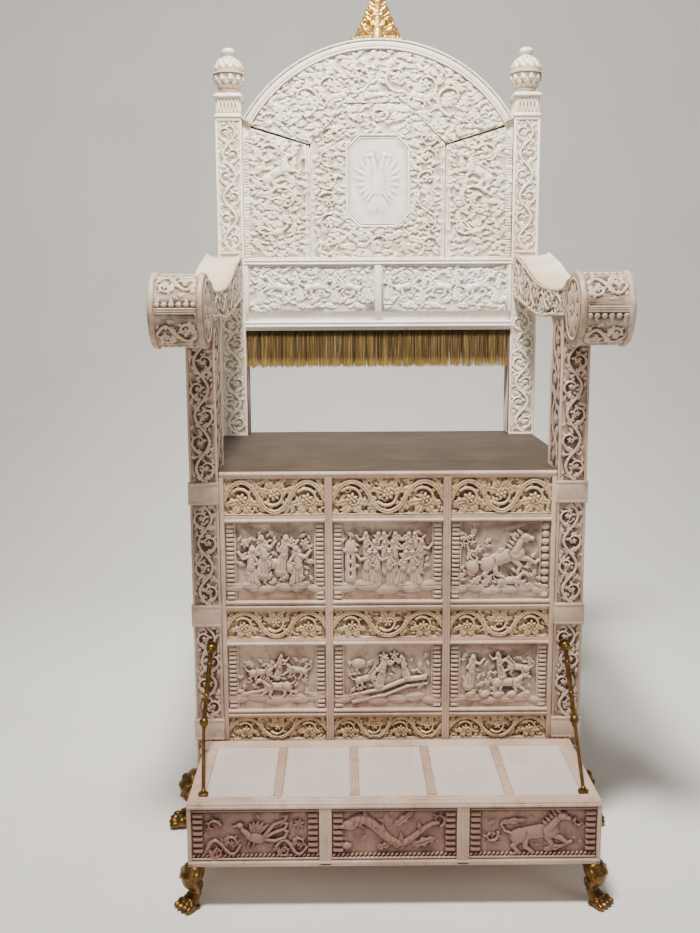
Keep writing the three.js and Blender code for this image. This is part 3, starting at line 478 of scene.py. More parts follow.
        legs = (
            ((-0.24, -0.05), (-0.36, -0.16), (-0.3, -0.26), (-0.4, -0.3)),
            ((-0.16, -0.06), (-0.18, -0.2), (-0.08, -0.3)),
            ((0.22, -0.05), (0.36, -0.12), (0.46, -0.22), (0.52, -0.2)),
            ((0.16, -0.06), (0.22, -0.2), (0.14, -0.3)),
        )
        for leg in legs:
            self.stem([at(*p) for p in leg], long * 0.115, long * 0.05, rise * 0.85)
        self.stem([at(-0.28, 0.0), at(0.0, 0.02), at(0.24, 0.03)], long * 0.21, long * 0.23, rise)
        self.dome(*at(-0.26, -0.01), long * 0.14, long * 0.13, rise * 1.05, heading(0.4))
        self.dome(*at(0.22, 0.01), long * 0.13, long * 0.14, rise * 1.05, heading(0.9))
        self.stem([at(0.22, 0.06), at(0.33, 0.18), at(0.4, 0.22)], long * 0.17, long * 0.11, rise)
        self.dome(*at(0.43, 0.22), long * 0.095, long * 0.07, rise * 1.1, heading(-0.4))
        self.dome(*at(0.51, 0.18), long * 0.06, long * 0.042, rise, heading(-0.5))
        self.leaf(*at(0.4, 0.27), long * 0.09, long * 0.05, rise, heading(1.9))
        if mane:
            for i in range(5):
                root = at(0.2 + 0.045 * i, 0.1 + 0.045 * i)
                self.leaf(*root, long * 0.13, long * 0.06, rise * 1.05, heading(2.3 - 0.1 * i))
        tail = [at(-0.36, 0.04), at(-0.46, 0.1), at(-0.5, 0.2), at(-0.44, 0.27), at(-0.38, 0.23)]
        self.stem(tail, long * 0.05, long * 0.035, rise * 0.8)
        self.leaf(*tail[-1], long * 0.12, long * 0.08, rise * 0.85, heading(0.2), 2)
        self.groove([at(-0.15, -0.03), at(-0.12, 0.08)], long * 0.012, 0.4)
        self.groove([at(0.12, -0.05), at(0.11, 0.08)], long * 0.012, 0.4)

    def bird(self, x: float, z: float, long: float, rise: float, facing: int = 1) -> None:
        """Raises a bird with raised wings and long curling tail feathers."""
        def at(ahead: float, above: float) -> Point:
            """Places a point of the bird, given in shares of its length."""
            return (x + facing * ahead * long, z + above * long)

        for i, sweep in enumerate((0.0, 0.14, 0.28)):
            tail = [at(-0.1, -0.02), at(-0.3, -0.06 + sweep), at(-0.46, 0.0 + sweep),
                    at(-0.5, 0.1 + sweep * 0.9), at(-0.42, 0.13 + sweep * 0.8)]
            self.stem(tail, long * 0.07, long * 0.045, rise * (0.9 - 0.1 * i))
        for i in range(5):
            self.leaf(*at(0.02, 0.04), long * (0.3 - 0.02 * i), long * 0.08, rise * (0.85 + 0.04 * i),
                      mirrored(2.5 - 0.32 * i, facing))
        self.dome(*at(0.0, 0.0), long * 0.17, long * 0.1, rise, facing * 0.3)
        self.stem([at(0.1, 0.04), at(0.2, 0.12), at(0.22, 0.18)], long * 0.11, long * 0.06, rise)
        self.dome(*at(0.24, 0.2), long * 0.06, long * 0.05, rise * 1.1)
        self.leaf(*at(0.27, 0.2), long * 0.1, long * 0.04, rise, mirrored(-0.2, facing))
        for ahead in (0.02, 0.1):
            self.stem([at(ahead, -0.08), at(ahead + 0.03, -0.18)], long * 0.04, long * 0.03, rise * 0.8)

    def serpent(self, x: float, z: float, long: float, rise: float) -> None:
        """Raises a long winding water beast with a head, fins and a coiled end."""
        share = np.linspace(0, 1, 30)
        wave = 0.17 * np.sin(share * 7.2 + 0.6) * (1 - 0.35 * share)
        line = [(x + (s - 0.5) * long, z + w * long) for s, w in zip(share, wave)]
        self.stem(line, long * 0.14, long * 0.05, rise)
        for i in range(2, 26, 3):
            hand = 1 if i % 2 else -1
            self.leaf(*line[i], long * 0.13, long * 0.05, rise * 0.8, hand * 1.3 + 0.4, 2)
        for i in range(1, 27, 2):
            self.groove([(line[i][0], line[i][1] - long * 0.05), (line[i][0] + long * 0.015,
                         line[i][1] + long * 0.05)], long * 0.007, 0.3)
        head = (line[0][0] - long * 0.03, line[0][1])
        self.dome(*head, long * 0.08, long * 0.06, rise * 1.1, 0.3)
        self.dome(head[0] - long * 0.06, head[1] - long * 0.02, long * 0.05, long * 0.03, rise, 0.2)
        self.curl(line[-1][0], line[-1][1] + long * 0.04, long * 0.09, -1.2, 4.6, long * 0.04, rise * 0.8)

    def tree(self, x: float, z: float, tall: float, rise: float) -> None:
        """Raises a tree with a bent trunk and round clumps of leaves."""
        trunk = [(x, z), (x + tall * 0.05, z + tall * 0.25), (x - tall * 0.02, z + tall * 0.5),
                 (x + tall * 0.03, z + tall * 0.75)]
        self.stem(trunk, tall * 0.12, tall * 0.06, rise * 0.8)
        clumps = ((-0.16, 0.55), (0.16, 0.6), (-0.06, 0.78), (0.14, 0.84), (-0.2, 0.76))
        for i, (dx, dz) in enumerate(clumps):
            self.rosette(x + dx * tall, z + dz * tall, tall * (0.14 - 0.008 * i), rise, 5)

    def tower(self, x: float, z: float, wide: float, tall: float, rise: float) -> None:
        """Raises a round tower with a domed cap and windows, standing on (x, z)."""
        self.pad(x, z + tall * 0.36, tall * 0.36, wide / 2, rise, math.pi / 2)
        self.pad(x, z + tall * 0.72, wide * 0.66, tall * 0.05, rise * 1.1)
        self.dome(x, z + tall * 0.77, wide * 0.55, tall * 0.2, rise)
        self.leaf(x, z + tall * 0.92, tall * 0.12, wide * 0.2, rise, math.pi / 2)
        for level in (0.2, 0.38, 0.56):
            self.groove([(x, z + tall * (level - 0.03)), (x, z + tall * (level + 0.04))], wide * 0.09, 0.8)

    def hollows(self, columns: int, rows: int, order: Array) -> Array:
        """Works out how deep each point lies between its neighbours, for the dirt, painted shade and painted
        highlight of the finishes.

        Args:
            columns: the grid's columns of faces.
            rows: the grid's rows of faces.
            order: each point's place in the grid, counted row by row.

        Returns:
            A value for each point, 0 on a ridge and 1 in a hollow.
        """
        level = np.zeros((rows + 1) * (columns + 1))
        level[order] = self.height
        level = level.reshape(rows + 1, columns + 1)
        soft = level.copy()
        for turn in range(26):
            wide = np.pad(soft, 1, mode="edge")
            soft = (wide[:-2, 1:-1] + wide[2:, 1:-1] + wide[1:-1, :-2] + wide[1:-1, 2:] + 2 * soft) / 6
            if turn == 4:
                close = soft
        top = max(float(level.max()), 1e-6)
        sunk = np.clip((close - level) / (0.2 * top), -1, 1)
        basin = np.clip((soft - level) / (0.32 * top), -1, 1)
        deep = np.clip(0.36 + 0.26 * sunk + 0.36 * basin - 0.22 * (level / top - 0.2), 0.01, 1)
        deep = deep.reshape(-1)[order]
        deep[self.clean] = PLAIN
        return deep


# ---------------------------------------------------------------- mesh tools


def rectangle(width: float, tall: float) -> Spread:
    """Spreads a grid over a rectangle centred on the face's origin."""
    return lambda u, v: ((u - 0.5) * width, (v - 0.5) * tall)


def between(low: Line, high: Line,
            start: float, end: float) -> Spread:
    """Spreads a grid between two lines that each give a height for a distance across."""
    def spread(u: Array, v: Array) -> Pair:
        """Gives each point's distance across and up."""
        a = start + u * (end - start)
        return a, low(a) + v * (high(a) - low(a))

    return spread


def edges_at(verts: Sequence[bmesh.types.BMVert]) -> list[bmesh.types.BMEdge]:
    """Lists the edges at some corners once each, in the same order on every run."""
    return list(dict.fromkeys(edge for vert in verts for edge in vert.link_edges))


def hollow_layer(work: Mesh) -> bmesh.types.BMLayerItem:
    """Gives the layer that says how hollow each corner lies, and adds it where there is none."""
    return work.verts.layers.float.get("hollow") or work.verts.layers.float.new("hollow")


def extruded(work: Mesh, corners: Sequence[Vector], way: Sequence[float]) -> None:
    """Adds a solid: a face with the given corners, drawn out along a way."""
    face = work.faces.new([work.verts.new(corner) for corner in corners])
    made = bmesh.ops.extrude_face_region(work, geom=[face])["geom"]
    moved = [item for item in made if isinstance(item, bmesh.types.BMVert)]
    bmesh.ops.translate(work, verts=moved, vec=way)


def bevelled(work: Mesh, edges: Sequence[bmesh.types.BMEdge], width: float, segments: int = 2) -> dict:
    """Rounds edges and gives what the operator made."""
    return bmesh.ops.bevel(work, geom=edges, offset=width, offset_type="OFFSET", segments=segments,
                           profile=0.5, affect="EDGES", material=-1, clamp_overlap=True)


def used_up(name: str, work: Mesh) -> bpy.types.Mesh:
    """Turns a work mesh into mesh data and frees it."""
    mesh = bpy.data.meshes.new(name)
    work.to_mesh(mesh)
    work.free()
    return mesh


def placed(name: str, data: bpy.types.ID) -> Object:
    """Adds an object with the given data to the scene."""
    item = bpy.data.objects.new(name, data)
    bpy.context.scene.collection.objects.link(item)
    return item


def carve(
    work: Mesh, surface: Face | Turned, spread: Spread, columns: int, rows: int,
    draw: Draw | None = None, depth: float = 0.0, closed: bool = False, seed: int = 1,
) -> None:
    """Adds a carved grid to a mesh.

    Args:
        work: the mesh.
        surface: the face that the grid lies on.
        spread: turns shares across and up the grid into distances on the face.
        columns: faces across.
        rows: faces up.
        draw: lays the motifs on the relief.
        depth: thickness behind a flat face; 0 leaves the grid a skin.
        closed: whether the grid's sides meet, as round a turned piece.
        seed: number that fixes the scattered leaves.
    """
    layer = hollow_layer(work)
    grid = bmesh.ops.create_grid(work, x_segments=columns, y_segments=rows, size=1.0)["verts"]
    flat = np.array([vert.co[:2] for vert in grid])
    u, v = (flat[:, 0] + 1) / 2, (flat[:, 1] + 1) / 2
    relief = Relief(*spread(u, v), seed)
    if draw:
        draw(relief)
    order = np.rint(v * rows).astype(int) * (columns + 1) + np.rint(u * columns).astype(int)
    hollow = relief.hollows(columns, rows, order)
    if depth and not closed:
        rim = (u < 1e-4) | (u > 1 - 1e-4) | (v < 1e-4) | (v > 1 - 1e-4)
        hollow[rim] = 0.45
    places = surface.at(relief.across, relief.up, relief.height)
    for vert, place, value in zip(grid, places.tolist(), hollow.tolist()):
        vert.co = place
        vert[layer] = value
    if closed:
        bmesh.ops.remove_doubles(work, verts=grid, dist=WELD)
        grid = [vert for vert in grid if vert.is_valid]
    if depth:
        edges = [edge for edge in edges_at(grid) if edge.is_boundary]
        made = bmesh.ops.extrude_edge_only(work, edges=edges)["geom"]
        for vert in (item for item in made if isinstance(item, bmesh.types.BMVert)):
            above = (vert.co - surface.origin).dot(surface.outward)
            vert.co -= surface.outward * (above + depth)
        rims = [item for item in made if isinstance(item, bmesh.types.BMEdge) and item.is_boundary]
        if closed:
            bmesh.ops.bridge_loops(work, edges=rims)
        else:
            bmesh.ops.edgeloop_fill(work, edges=rims)


def carve_field(work: Mesh, face: Face, size: Point, step: float, draw: Draw, depth: float = MM,
                seed: int = 1) -> None:
    """Carves a rectangle of the given size, centred on a flat face, with faces of about one step."""
    columns, rows = (round(length / step) for length in size)
    carve(work, face, rectangle(*size), columns, rows, draw, depth, seed=seed)


def block(
    work: Mesh, low: Sequence[float], high: Sequence[float], bevel: float = 1.0 * MM,
    segments: int = 2,
) -> list[bmesh.types.BMVert]:
    """Adds a box with rounded edges.

    Args:
        work: the mesh.
        low: its lowest corner.
        high: its highest corner.
        bevel: how wide its edges are rounded.
        segments: how many faces a rounded edge has.

    Returns:
        The box's vertices.
    """
    low, high = Vector(low), Vector(high)
    made = bmesh.ops.create_cube(work, size=1.0)["verts"]
    bmesh.ops.scale(work, verts=made, vec=high - low)
    bmesh.ops.translate(work, verts=made, vec=(low + high) / 2)
    if not bevel:
        return made
    return bevelled(work, edges_at(made), bevel, segments)["verts"]


def moulding(
    work: Mesh, start: Sequence[float], end: Sequence[float], outward: Vector, profile: Sequence[Point]
) -> None:
    """Adds a straight moulding.

    Args:
        work: the mesh.
        start: where its profile's origin starts.
        end: where it ends.
        outward: the direction in which the profile stands out.
        profile: closed outline of (out, beside) distances.
    """
    start = Vector(start)
    way = Vector(end) - start
    beside = outward.cross(way.normalized())
    extruded(work, [start + outward * out + beside * side for out, side in profile], way)


def bead(half: float, rise: float, base: float = 0.0, steps: int = 8) -> list[Point]:
    """Gives the profile of a half-round moulding on a flat base.

    Args:
        half: half of its width.
        rise: how far it stands out.
        base: how far behind its face it is rooted.
        steps: faces round the curve.

    Returns:
        The outline as (out, beside) points.
    """
    curve = [(rise * math.sin(math.pi * i / steps), half * math.cos(math.pi * i / steps))
             for i in range(steps + 1)]
    return [(-base, half), *curve, (-base, -half)] if base else curve


def tube(
    work: Mesh, points: Sequence[Sequence[float]], radii: Sequence[float], sides: int = 8,
    flat: float = 1.0,
) -> None:
    """Adds a tapering limb with closed ends.

    Args:
        work: the mesh.
        points: its middle line.
        radii: its radius at each point.
        sides: faces round it.
        flat: its thickness as a share of its width.
    """
    points = [Vector(point) for point in points]
    rings = []
    for i, (point, radius) in enumerate(zip(points, radii)):
        ahead = points[min(i + 1, len(points) - 1)] - points[max(i - 1, 0)]
        turn = ahead.to_track_quat("Z", "Y").to_matrix().to_4x4()
        shape = Matrix.Translation(point) @ turn @ Matrix.Diagonal((1, flat, 1, 1))
        ring = bmesh.ops.create_circle(work, cap_ends=False, segments=sides, radius=radius, matrix=shape)
        rings.append(ring["verts"])
    for low, high in zip(rings[:-1], rings[1:]):
        edges = [edge for ring in (low, high) for edge in edges_at(ring)
                 if all(vert in ring for vert in edge.verts)]
        bmesh.ops.bridge_loops(work, edges=edges)
    for ring in (rings[0], rings[-1]):
        edges = [edge for edge in edges_at(ring) if edge.is_boundary]
        bmesh.ops.edgeloop_fill(work, edges=edges)


def ball(work: Mesh, centre: Sequence[float], radii: Sequence[float], detail: int = 2,
         turn: float = 0.0) -> None:
    """Adds an oval ball of three radii, turned about the upright."""
    shape = Matrix.Translation(Vector(centre)) @ Matrix.Rotation(turn, 4, "Z")
    shape = shape @ Matrix.Diagonal((*radii, 1))
    bmesh.ops.create_icosphere(work, subdivisions=detail, radius=1.0, matrix=shape)


def softened(node: str, width: float, crease: float = 0.5) -> Mesh:
    """Copies a frame node, merged, with its sharp edges rounded.

    Args:
        node: the node's name.
        width: how wide the edges are rounded.
        crease: the angle in radians past which an edge is rounded.

    Returns:
        The new mesh.
    """
    work = bmesh.new()
    work.from_mesh(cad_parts[node].data)
    bmesh.ops.remove_doubles(work, verts=work.verts[:], dist=WELD)
    bmesh.ops.dissolve_limit(work, angle_limit=0.01, verts=work.verts[:], edges=work.edges[:])
    edges = [edge for edge in work.edges if len(edge.link_faces) == 2 and edge.calc_face_angle() > crease]
    bevelled(work, edges, width)
    return work


def fused(work: Mesh, voxel: float, passes: int) -> Mesh:
    """Fuses overlapping closed shapes into one smooth cast skin.

    Args:
        work: the shapes, which are used up.
        voxel: the size of the new faces.
        passes: how often the skin is smoothed.

    Returns:
        The new mesh.
    """
    holder = placed("cast", used_up("cast", work))
    remesh = holder.modifiers.new("fuse", "REMESH")
    remesh.mode = "VOXEL"
    remesh.voxel_size = voxel
    made = bmesh.new()
    made.from_object(holder, bpy.context.evaluated_depsgraph_get())
    bpy.data.objects.remove(holder)
    for _ in range(passes):
        bmesh.ops.smooth_vert(made, verts=made.verts[:], factor=0.5, use_axis_x=True, use_axis_y=True,
                              use_axis_z=True)
    return made


def finish_piece(
    name: str, work: Mesh, finish: "Finish", stands_for: Sequence[str] = (), crease: float = 0.7,
    kept: float = 0.5,
) -> Object:
    """Turns a mesh into a finished piece that rides on the throne.

    Args:
        name: the piece's name.
        work: its mesh, which is used up.
        finish: its finish.
        stands_for: the frame nodes that it replaces.
        crease: the angle in radians past which an edge stays sharp.
        kept: the share of its triangles that a finely divided piece keeps, most of them in its carving.

    Returns:
        The new object.
    """
    bmesh.ops.recalc_face_normals(work, faces=work.faces[:])
    layer = hollow_layer(work)
    for vert in work.verts:
        vert[layer] = vert[layer] or PLAIN
    for face in work.faces:
        face.smooth = True
    for edge in work.edges:
        if len(edge.link_faces) == 2 and edge.calc_face_angle() > crease:
            edge.smooth = False
    mesh = used_up(name, work)
    mesh.materials.append(finish.material)
    piece = placed(name, mesh)
    if len(mesh.polygons) > FINE and kept < 1:
        thin = piece.modifiers.new("thinned", "DECIMATE")
        thin.ratio = kept
    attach(piece, "root")
    if stands_for:
        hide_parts(*stands_for)
    log.info("%s: %d faces", name, len(mesh.polygons))
    return piece


# ---------------------------------------------------------------- finishes


def linear(red: int, green: int, blue: int) -> tuple[float, float, float, float]:
    """Turns a colour of 0 to 255 into the linear colour that shaders take."""
    parts = [value / 255 for value in (red, green, blue)]
    return (*[part / 12.92 if part <= 0.04045 else ((part + 0.055) / 1.055) ** 2.4 for part in parts], 1.0)


class Nodes:
    """A short way to place and join a tree's nodes."""

    def __init__(self, tree: Tree) -> None:
        """Keeps the tree."""
        self.tree = tree

    def add(self, kind: str, links: dict | None = None, **settings: object) -> Node:
        """Adds a node.

        Args:
            kind: the node's type.
            links: for each input, the socket that feeds it or its value.
            settings: the node's own properties.

        Returns:
            The node.
        """
        node = self.tree.nodes.new(kind)
        for name, value in settings.items():
            setattr(node, name, value)
        self.feed(node, links or {})
        return node

    def feed(self, node: Node, links: dict) -> None:
        """Feeds each named input of a node from a socket, or gives it a value."""
        for name, value in links.items():
            socket = node.inputs[name]
            if isinstance(value, Socket):
                self.tree.links.new(value, socket)
            else:
                socket.default_value = value

    def noise(self, vector: Socket, scale: Socket | float, detail: float = 4.0,
              rough: float = 0.55) -> Socket:
        """Adds a noise and gives its value."""
        links = {"Vector": vector, "Scale": scale, "Detail": detail, "Roughness": rough}
        return self.add("ShaderNodeTexNoise", links).outputs["Fac"]

    def stretch(self, vector: Socket, scale: Sequence[float]) -> Socket:
        """Scales a pattern by different amounts along the axes."""
        return self.add("ShaderNodeMapping", {"Vector": vector, "Scale": scale}).outputs["Vector"]

    def band(self, value: Socket, low: float, high: float, to_low: float = 0.0,
             to_high: float = 1.0) -> Socket:
        """Maps a value from one range to another, held at its ends."""
        links = {"Value": value, "From Min": low, "From Max": high, "To Min": to_low, "To Max": to_high}
        return self.add("ShaderNodeMapRange", links).outputs["Result"]

    def math(self, operation: str, a: object, b: object = 0.0) -> Socket:
        """Joins two values by a sum, a product or the like."""
        return self.add("ShaderNodeMath", {0: a, 1: b}, operation=operation).outputs[0]

    def mix(self, share: object, a: object, b: object) -> Socket:
        """Mixes two colours."""
        return self.add("ShaderNodeMix", {0: share, 6: a, 7: b}, data_type="RGBA").outputs[2]


def new_group(name: str, inputs: dict[str, object], outputs: dict[str, str]) -> tuple[Nodes, dict, Node]:
    """Makes an empty shader node group.

    Args:
        name: the group's name.
        inputs: each input's name and its standing value.
        outputs: each output's name and its socket type.

    Returns:
        The group's nodes, its input sockets by name and its output node.
    """
    tree = bpy.data.node_groups.new(name, "ShaderNodeTree")
    for label, value in inputs.items():
        kind = "NodeSocketFloat" if isinstance(value, float) else "NodeSocketColor"
        kind = "NodeSocketVector" if value is None else kind
        socket = tree.interface.new_socket(label, in_out="INPUT", socket_type=kind)
        if value is not None:
            socket.default_value = value
    for label, kind in outputs.items():
        tree.interface.new_socket(label, in_out="OUTPUT", socket_type=kind)
    start, end = tree.nodes.new("NodeGroupInput"), tree.nodes.new("NodeGroupOutput")
    return Nodes(tree), {label: start.outputs[label] for label in inputs}, end


def patina_group() -> Tree:
    """Makes the group that ages ivory: tone, grain, stains, dirt and painted shade in the hollows, a painted
    highlight on the ridges and fine cracks.

    Returns:
        The node group.
    """
    inputs = {
        "Vector": None, "Hollow": 0.0, "Light": linear(240, 230, 210), "Middle": linear(214, 196, 170),
        "Deep": linear(110, 76, 44), "Stain": linear(176, 140, 96), "Dirt_and_shade": 1.0, "Wear": 0.5,
    }
    outputs = {"Color": "NodeSocketColor", "Roughness": "NodeSocketFloat", "Height": "NodeSocketFloat"}
    nodes, given, end = new_group("patina", inputs, outputs)
    place = given["Vector"]
    cloud = nodes.noise(place, 9.0, 5.0)
    mottle = nodes.noise(place, 55.0, 5.0, 0.6)
    grain = nodes.noise(nodes.stretch(place, (420, 420, 26)), 1.0, 3.0)
    tone = nodes.mix(nodes.band(cloud, 0.36, 0.64), given["Light"], given["Middle"])
    tone = nodes.mix(nodes.math("MULTIPLY", nodes.band(mottle, 0.52, 0.74), given["Wear"]), tone,
                     given["Stain"])
    streak = nodes.math("MULTIPLY", nodes.band(grain, 0.45, 0.75), 0.22)
    tone = nodes.mix(streak, tone, given["Stain"])
    cells = nodes.add("ShaderNodeTexVoronoi", {"Vector": nodes.stretch(place, (1, 1, 0.32)), "Scale": 62.0},
                      feature="DISTANCE_TO_EDGE").outputs["Distance"]
    sparse = nodes.band(nodes.noise(place, 21.0, 3.0), 0.52, 0.62)
    crack = nodes.math("MULTIPLY", nodes.band(cells, 0.0, 0.022, 1.0, 0.0), sparse)
    # dirt and painted shade in the hollows: the Deep colour grows with the hollow value
    rough = nodes.math("ADD", given["Hollow"], nodes.band(mottle, 0.3, 0.7, -0.12, 0.12))
    deep = nodes.math("MULTIPLY", nodes.band(rough, 0.38, 0.86), given["Dirt_and_shade"])
    colour = nodes.mix(deep, tone, given["Deep"])
    # painted highlight on the ridges
    rim = nodes.math("MULTIPLY", nodes.band(given["Hollow"], 0.26, 0.02), 0.5)
    colour = nodes.mix(rim, colour, given["Light"])
    colour = nodes.mix(nodes.math("MULTIPLY", crack, 0.45), colour, given["Deep"])
    gloss = nodes.math("ADD", nodes.band(mottle, 0.3, 0.7, 0.36, 0.52), nodes.math("MULTIPLY", deep, 0.3))
    fine = nodes.noise(place, 700.0, 2.0)
    height = nodes.math("ADD", nodes.math("MULTIPLY", fine, 0.25), nodes.math("MULTIPLY", grain, 0.35))
    height = nodes.math("SUBTRACT", nodes.math("ADD", height, nodes.math("MULTIPLY", mottle, 0.4)),
                        nodes.math("MULTIPLY", crack, 0.9))
    nodes.feed(end, {"Color": colour, "Roughness": gloss, "Height": height})
    return nodes.tree


def wear_group() -> Tree:
    """Makes the group of rubbed patches and fine scratches used by metal, wood and cloth.

    Returns:
        The node group.
    """
    inputs = {"Vector": None, "Scale": 40.0, "Amount": 0.5}
    outputs = {"Rubbed": "NodeSocketFloat", "Scratches": "NodeSocketFloat", "Speckle": "NodeSocketFloat"}
    nodes, given, end = new_group("wear", inputs, outputs)
    rubbed = nodes.noise(given["Vector"], given["Scale"], 5.0, 0.6)
    scratch = nodes.noise(nodes.stretch(given["Vector"], (60, 900, 300)), 1.0, 2.0)
    speckle = nodes.noise(given["Vector"], 460.0, 3.0, 0.7)
    rubbed = nodes.math("MULTIPLY", nodes.band(rubbed, 0.45, 0.66), given["Amount"])
    scratch = nodes.math("MULTIPLY", nodes.band(scratch, 0.6, 0.72), given["Amount"])
    nodes.feed(end, {"Rubbed": rubbed, "Scratches": scratch, "Speckle": speckle})
    return nodes.tree


@dataclass
class Groups:
    """The node groups that the finishes share."""

    patina: Tree
    wear: Tree


def shader(name: str) -> tuple[Material, Nodes, Node, Socket]:
    """Starts a material.

    Args:
        name: the material's name.

    Returns:
        The material, its nodes, its Principled BSDF and the object coordinates.
    """
    material = bpy.data.materials.new(name)
    material.use_nodes = True
    nodes = Nodes(material.node_tree)
    surface = material.node_tree.nodes["Principled BSDF"]
    place = nodes.add("ShaderNodeTexCoord").outputs["Object"]
    return material, nodes, surface, place


def relief_bump(nodes: Nodes, surface: Node, height: Socket, strength: float,
                distance: float) -> None:
    """Feeds a height to the shader's normal."""
    bump = nodes.add("ShaderNodeBump", {"Height": height, "Strength": strength, "Distance": distance})
    nodes.feed(surface, {"Normal": bump.outputs["Normal"]})


@dataclass(frozen=True)
class Ivory:
    """Carved ivory with dirt and painted shade in its hollows and a painted highlight on its ridges."""

    name: str
    light: Colour
    middle: Colour
    stain: Colour
    deep: Colour
    # how strongly dirt and painted shade darken the hollows
    dirt_and_shade: float
    wear: float

    def build(self, groups: Groups) -> Material:
        """Makes the material.

        Args:
            groups: the shared node groups.

        Returns:
            The material.
        """
        material, nodes, surface, place = shader(self.name)
        hollow = nodes.add("ShaderNodeAttribute", attribute_name="hollow").outputs["Fac"]
        values = {"Vector": place, "Hollow": hollow, "Light": linear(*self.light),
                  "Middle": linear(*self.middle), "Deep": linear(*self.deep),
                  "Stain": linear(*self.stain), "Dirt_and_shade": self.dirt_and_shade, "Wear": self.wear}
        aged = nodes.add("ShaderNodeGroup", values, node_tree=groups.patina)
        nodes.feed(surface, {"Base Color": aged.outputs["Color"], "Roughness": aged.outputs["Roughness"],
                             "Specular IOR Level": 0.45})
        relief_bump(nodes, surface, aged.outputs["Height"], 0.5, 0.35 * MM)
        return material


@dataclass(frozen=True)
class Gilding:
    """Cast metal with worn gilding, with grime and painted shade in its hollows."""

    name: str
    gold: Colour
    worn: Colour
    dark: Colour

    def build(self, groups: Groups) -> Material:
        """Makes the material from the shared groups."""
        material, nodes, surface, place = shader(self.name)
        hollow = nodes.add("ShaderNodeAttribute", attribute_name="hollow").outputs["Fac"]
        wear = nodes.add("ShaderNodeGroup", {"Vector": place, "Scale": 70.0, "Amount": 0.8},
                         node_tree=groups.wear)
        tone = nodes.mix(wear.outputs["Rubbed"], linear(*self.gold), linear(*self.worn))
        # grime and painted shade in the hollows, and blotches of grime elsewhere
        grime_and_shade = nodes.math("MAXIMUM", nodes.band(hollow, 0.35, 0.8),
                           nodes.band(nodes.noise(place, 95.0, 4.0), 0.56, 0.74, 0.0, 0.75))
        tone = nodes.mix(grime_and_shade, tone, linear(*self.dark))
        rough = nodes.math("ADD", nodes.band(wear.outputs["Speckle"], 0.3, 0.7, 0.26, 0.44),
                           nodes.math("MULTIPLY", grime_and_shade, 0.35))
        nodes.feed(surface, {"Base Color": tone, "Roughness": rough,
                             "Metallic": nodes.band(grime_and_shade, 0.0, 1.0, 0.9, 0.45)})
        relief_bump(nodes, surface, nodes.math("ADD", wear.outputs["Speckle"], wear.outputs["Rubbed"]),
                    0.55, 0.6 * MM)
        return material


@dataclass(frozen=True)
class SeatBoard:
    """Dull, grey-brown old wood with grain across the seat."""

    name: str
    light: Colour
    dark: Colour

    def build(self, groups: Groups) -> Material:
        """Makes the material from the shared groups."""
        material, nodes, surface, place = shader(self.name)
        wear = nodes.add("ShaderNodeGroup", {"Vector": place, "Scale": 14.0, "Amount": 0.55},
                         node_tree=groups.wear)
        grain = nodes.noise(nodes.stretch(place, (4, 130, 40)), 1.0, 6.0, 0.62)
        fibre = nodes.noise(nodes.stretch(place, (26, 900, 300)), 1.0, 3.0)
        tone = nodes.mix(nodes.band(grain, 0.32, 0.68), linear(*self.dark), linear(*self.light))
        tone = nodes.mix(nodes.math("MULTIPLY", wear.outputs["Rubbed"], 0.5), tone, linear(98, 82, 64))
        nodes.feed(surface, {"Base Color": tone, "Roughness": nodes.band(fibre, 0.3, 0.7, 0.58, 0.78)})
        relief_bump(nodes, surface, nodes.math("ADD", grain, nodes.math("MULTIPLY", fibre, 0.6)), 0.35,
                    0.5 * MM)
        return material


@dataclass(frozen=True)
class Thread:
    """Metal thread, with a value for each thread in its own attribute; the lower tips get painted light and
    the edges of the bunches painted shade.
    """

    name: str
    dark: Colour
    gold: Colour
    lit_tip: Colour

    def build(self, groups: Groups) -> Material:
        """Makes the material from the shared groups."""
        material, nodes, surface, place = shader(self.name)
        shade = nodes.add("ShaderNodeAttribute", attribute_name="shade").outputs["Fac"]
        end = nodes.add("ShaderNodeAttribute", attribute_name="lit_tip").outputs["Fac"]
        wear = nodes.add("ShaderNodeGroup", {"Vector": place}, node_tree=groups.wear)
        # shade sets each thread's tone: its own random tone, and painted shade towards the edges of the
        # bunches
        tone = nodes.mix(shade, linear(*self.dark), linear(*self.gold))
        # painted light on the lower tips; the tops hang in the rail's shadow
        tone = nodes.mix(nodes.math("MULTIPLY", nodes.band(end, 0.72, 0.98), 0.8), tone, linear(*self.lit_tip))
        tone = nodes.mix(nodes.band(wear.outputs["Speckle"], 0.5, 0.8, 0.0, 0.5), tone, linear(*self.dark))
        twist = nodes.add("ShaderNodeTexWave", {"Vector": place, "Scale": 260.0, "Distortion": 3.0},
                          bands_direction="Z").outputs["Fac"]
        nodes.feed(surface, {"Base Color": tone, "Roughness": nodes.band(twist, 0.0, 1.0, 0.4, 0.6),
                             "Metallic": 0.35})
        relief_bump(nodes, surface, twist, 0.6, 0.4 * MM)
        return material


@dataclass(frozen=True)
class Velvet:
    """Short-piled dark red velvet."""

    name: str
    dark: Colour
    light: Colour

    def build(self, groups: Groups) -> Material:
        """Makes the material from the shared groups."""
        material, nodes, surface, place = shader(self.name)
        wear = nodes.add("ShaderNodeGroup", {"Vector": place, "Scale": 32.0}, node_tree=groups.wear)
        pile = wear.outputs["Speckle"]
        share = nodes.math("MAXIMUM", nodes.band(pile, 0.45, 0.75), wear.outputs["Rubbed"])
        nodes.feed(surface, {"Base Color": nodes.mix(share, linear(*self.dark), linear(*self.light)),
                             "Roughness": nodes.band(pile, 0.3, 0.7, 0.75, 0.95), "Sheen Weight": 0.5})
        relief_bump(nodes, surface, pile, 0.5, 0.5 * MM)
        return material


@dataclass(frozen=True)
class Finish:
    """A finish and the record's slot that it belongs to."""

    material: Material
    slot: Slot


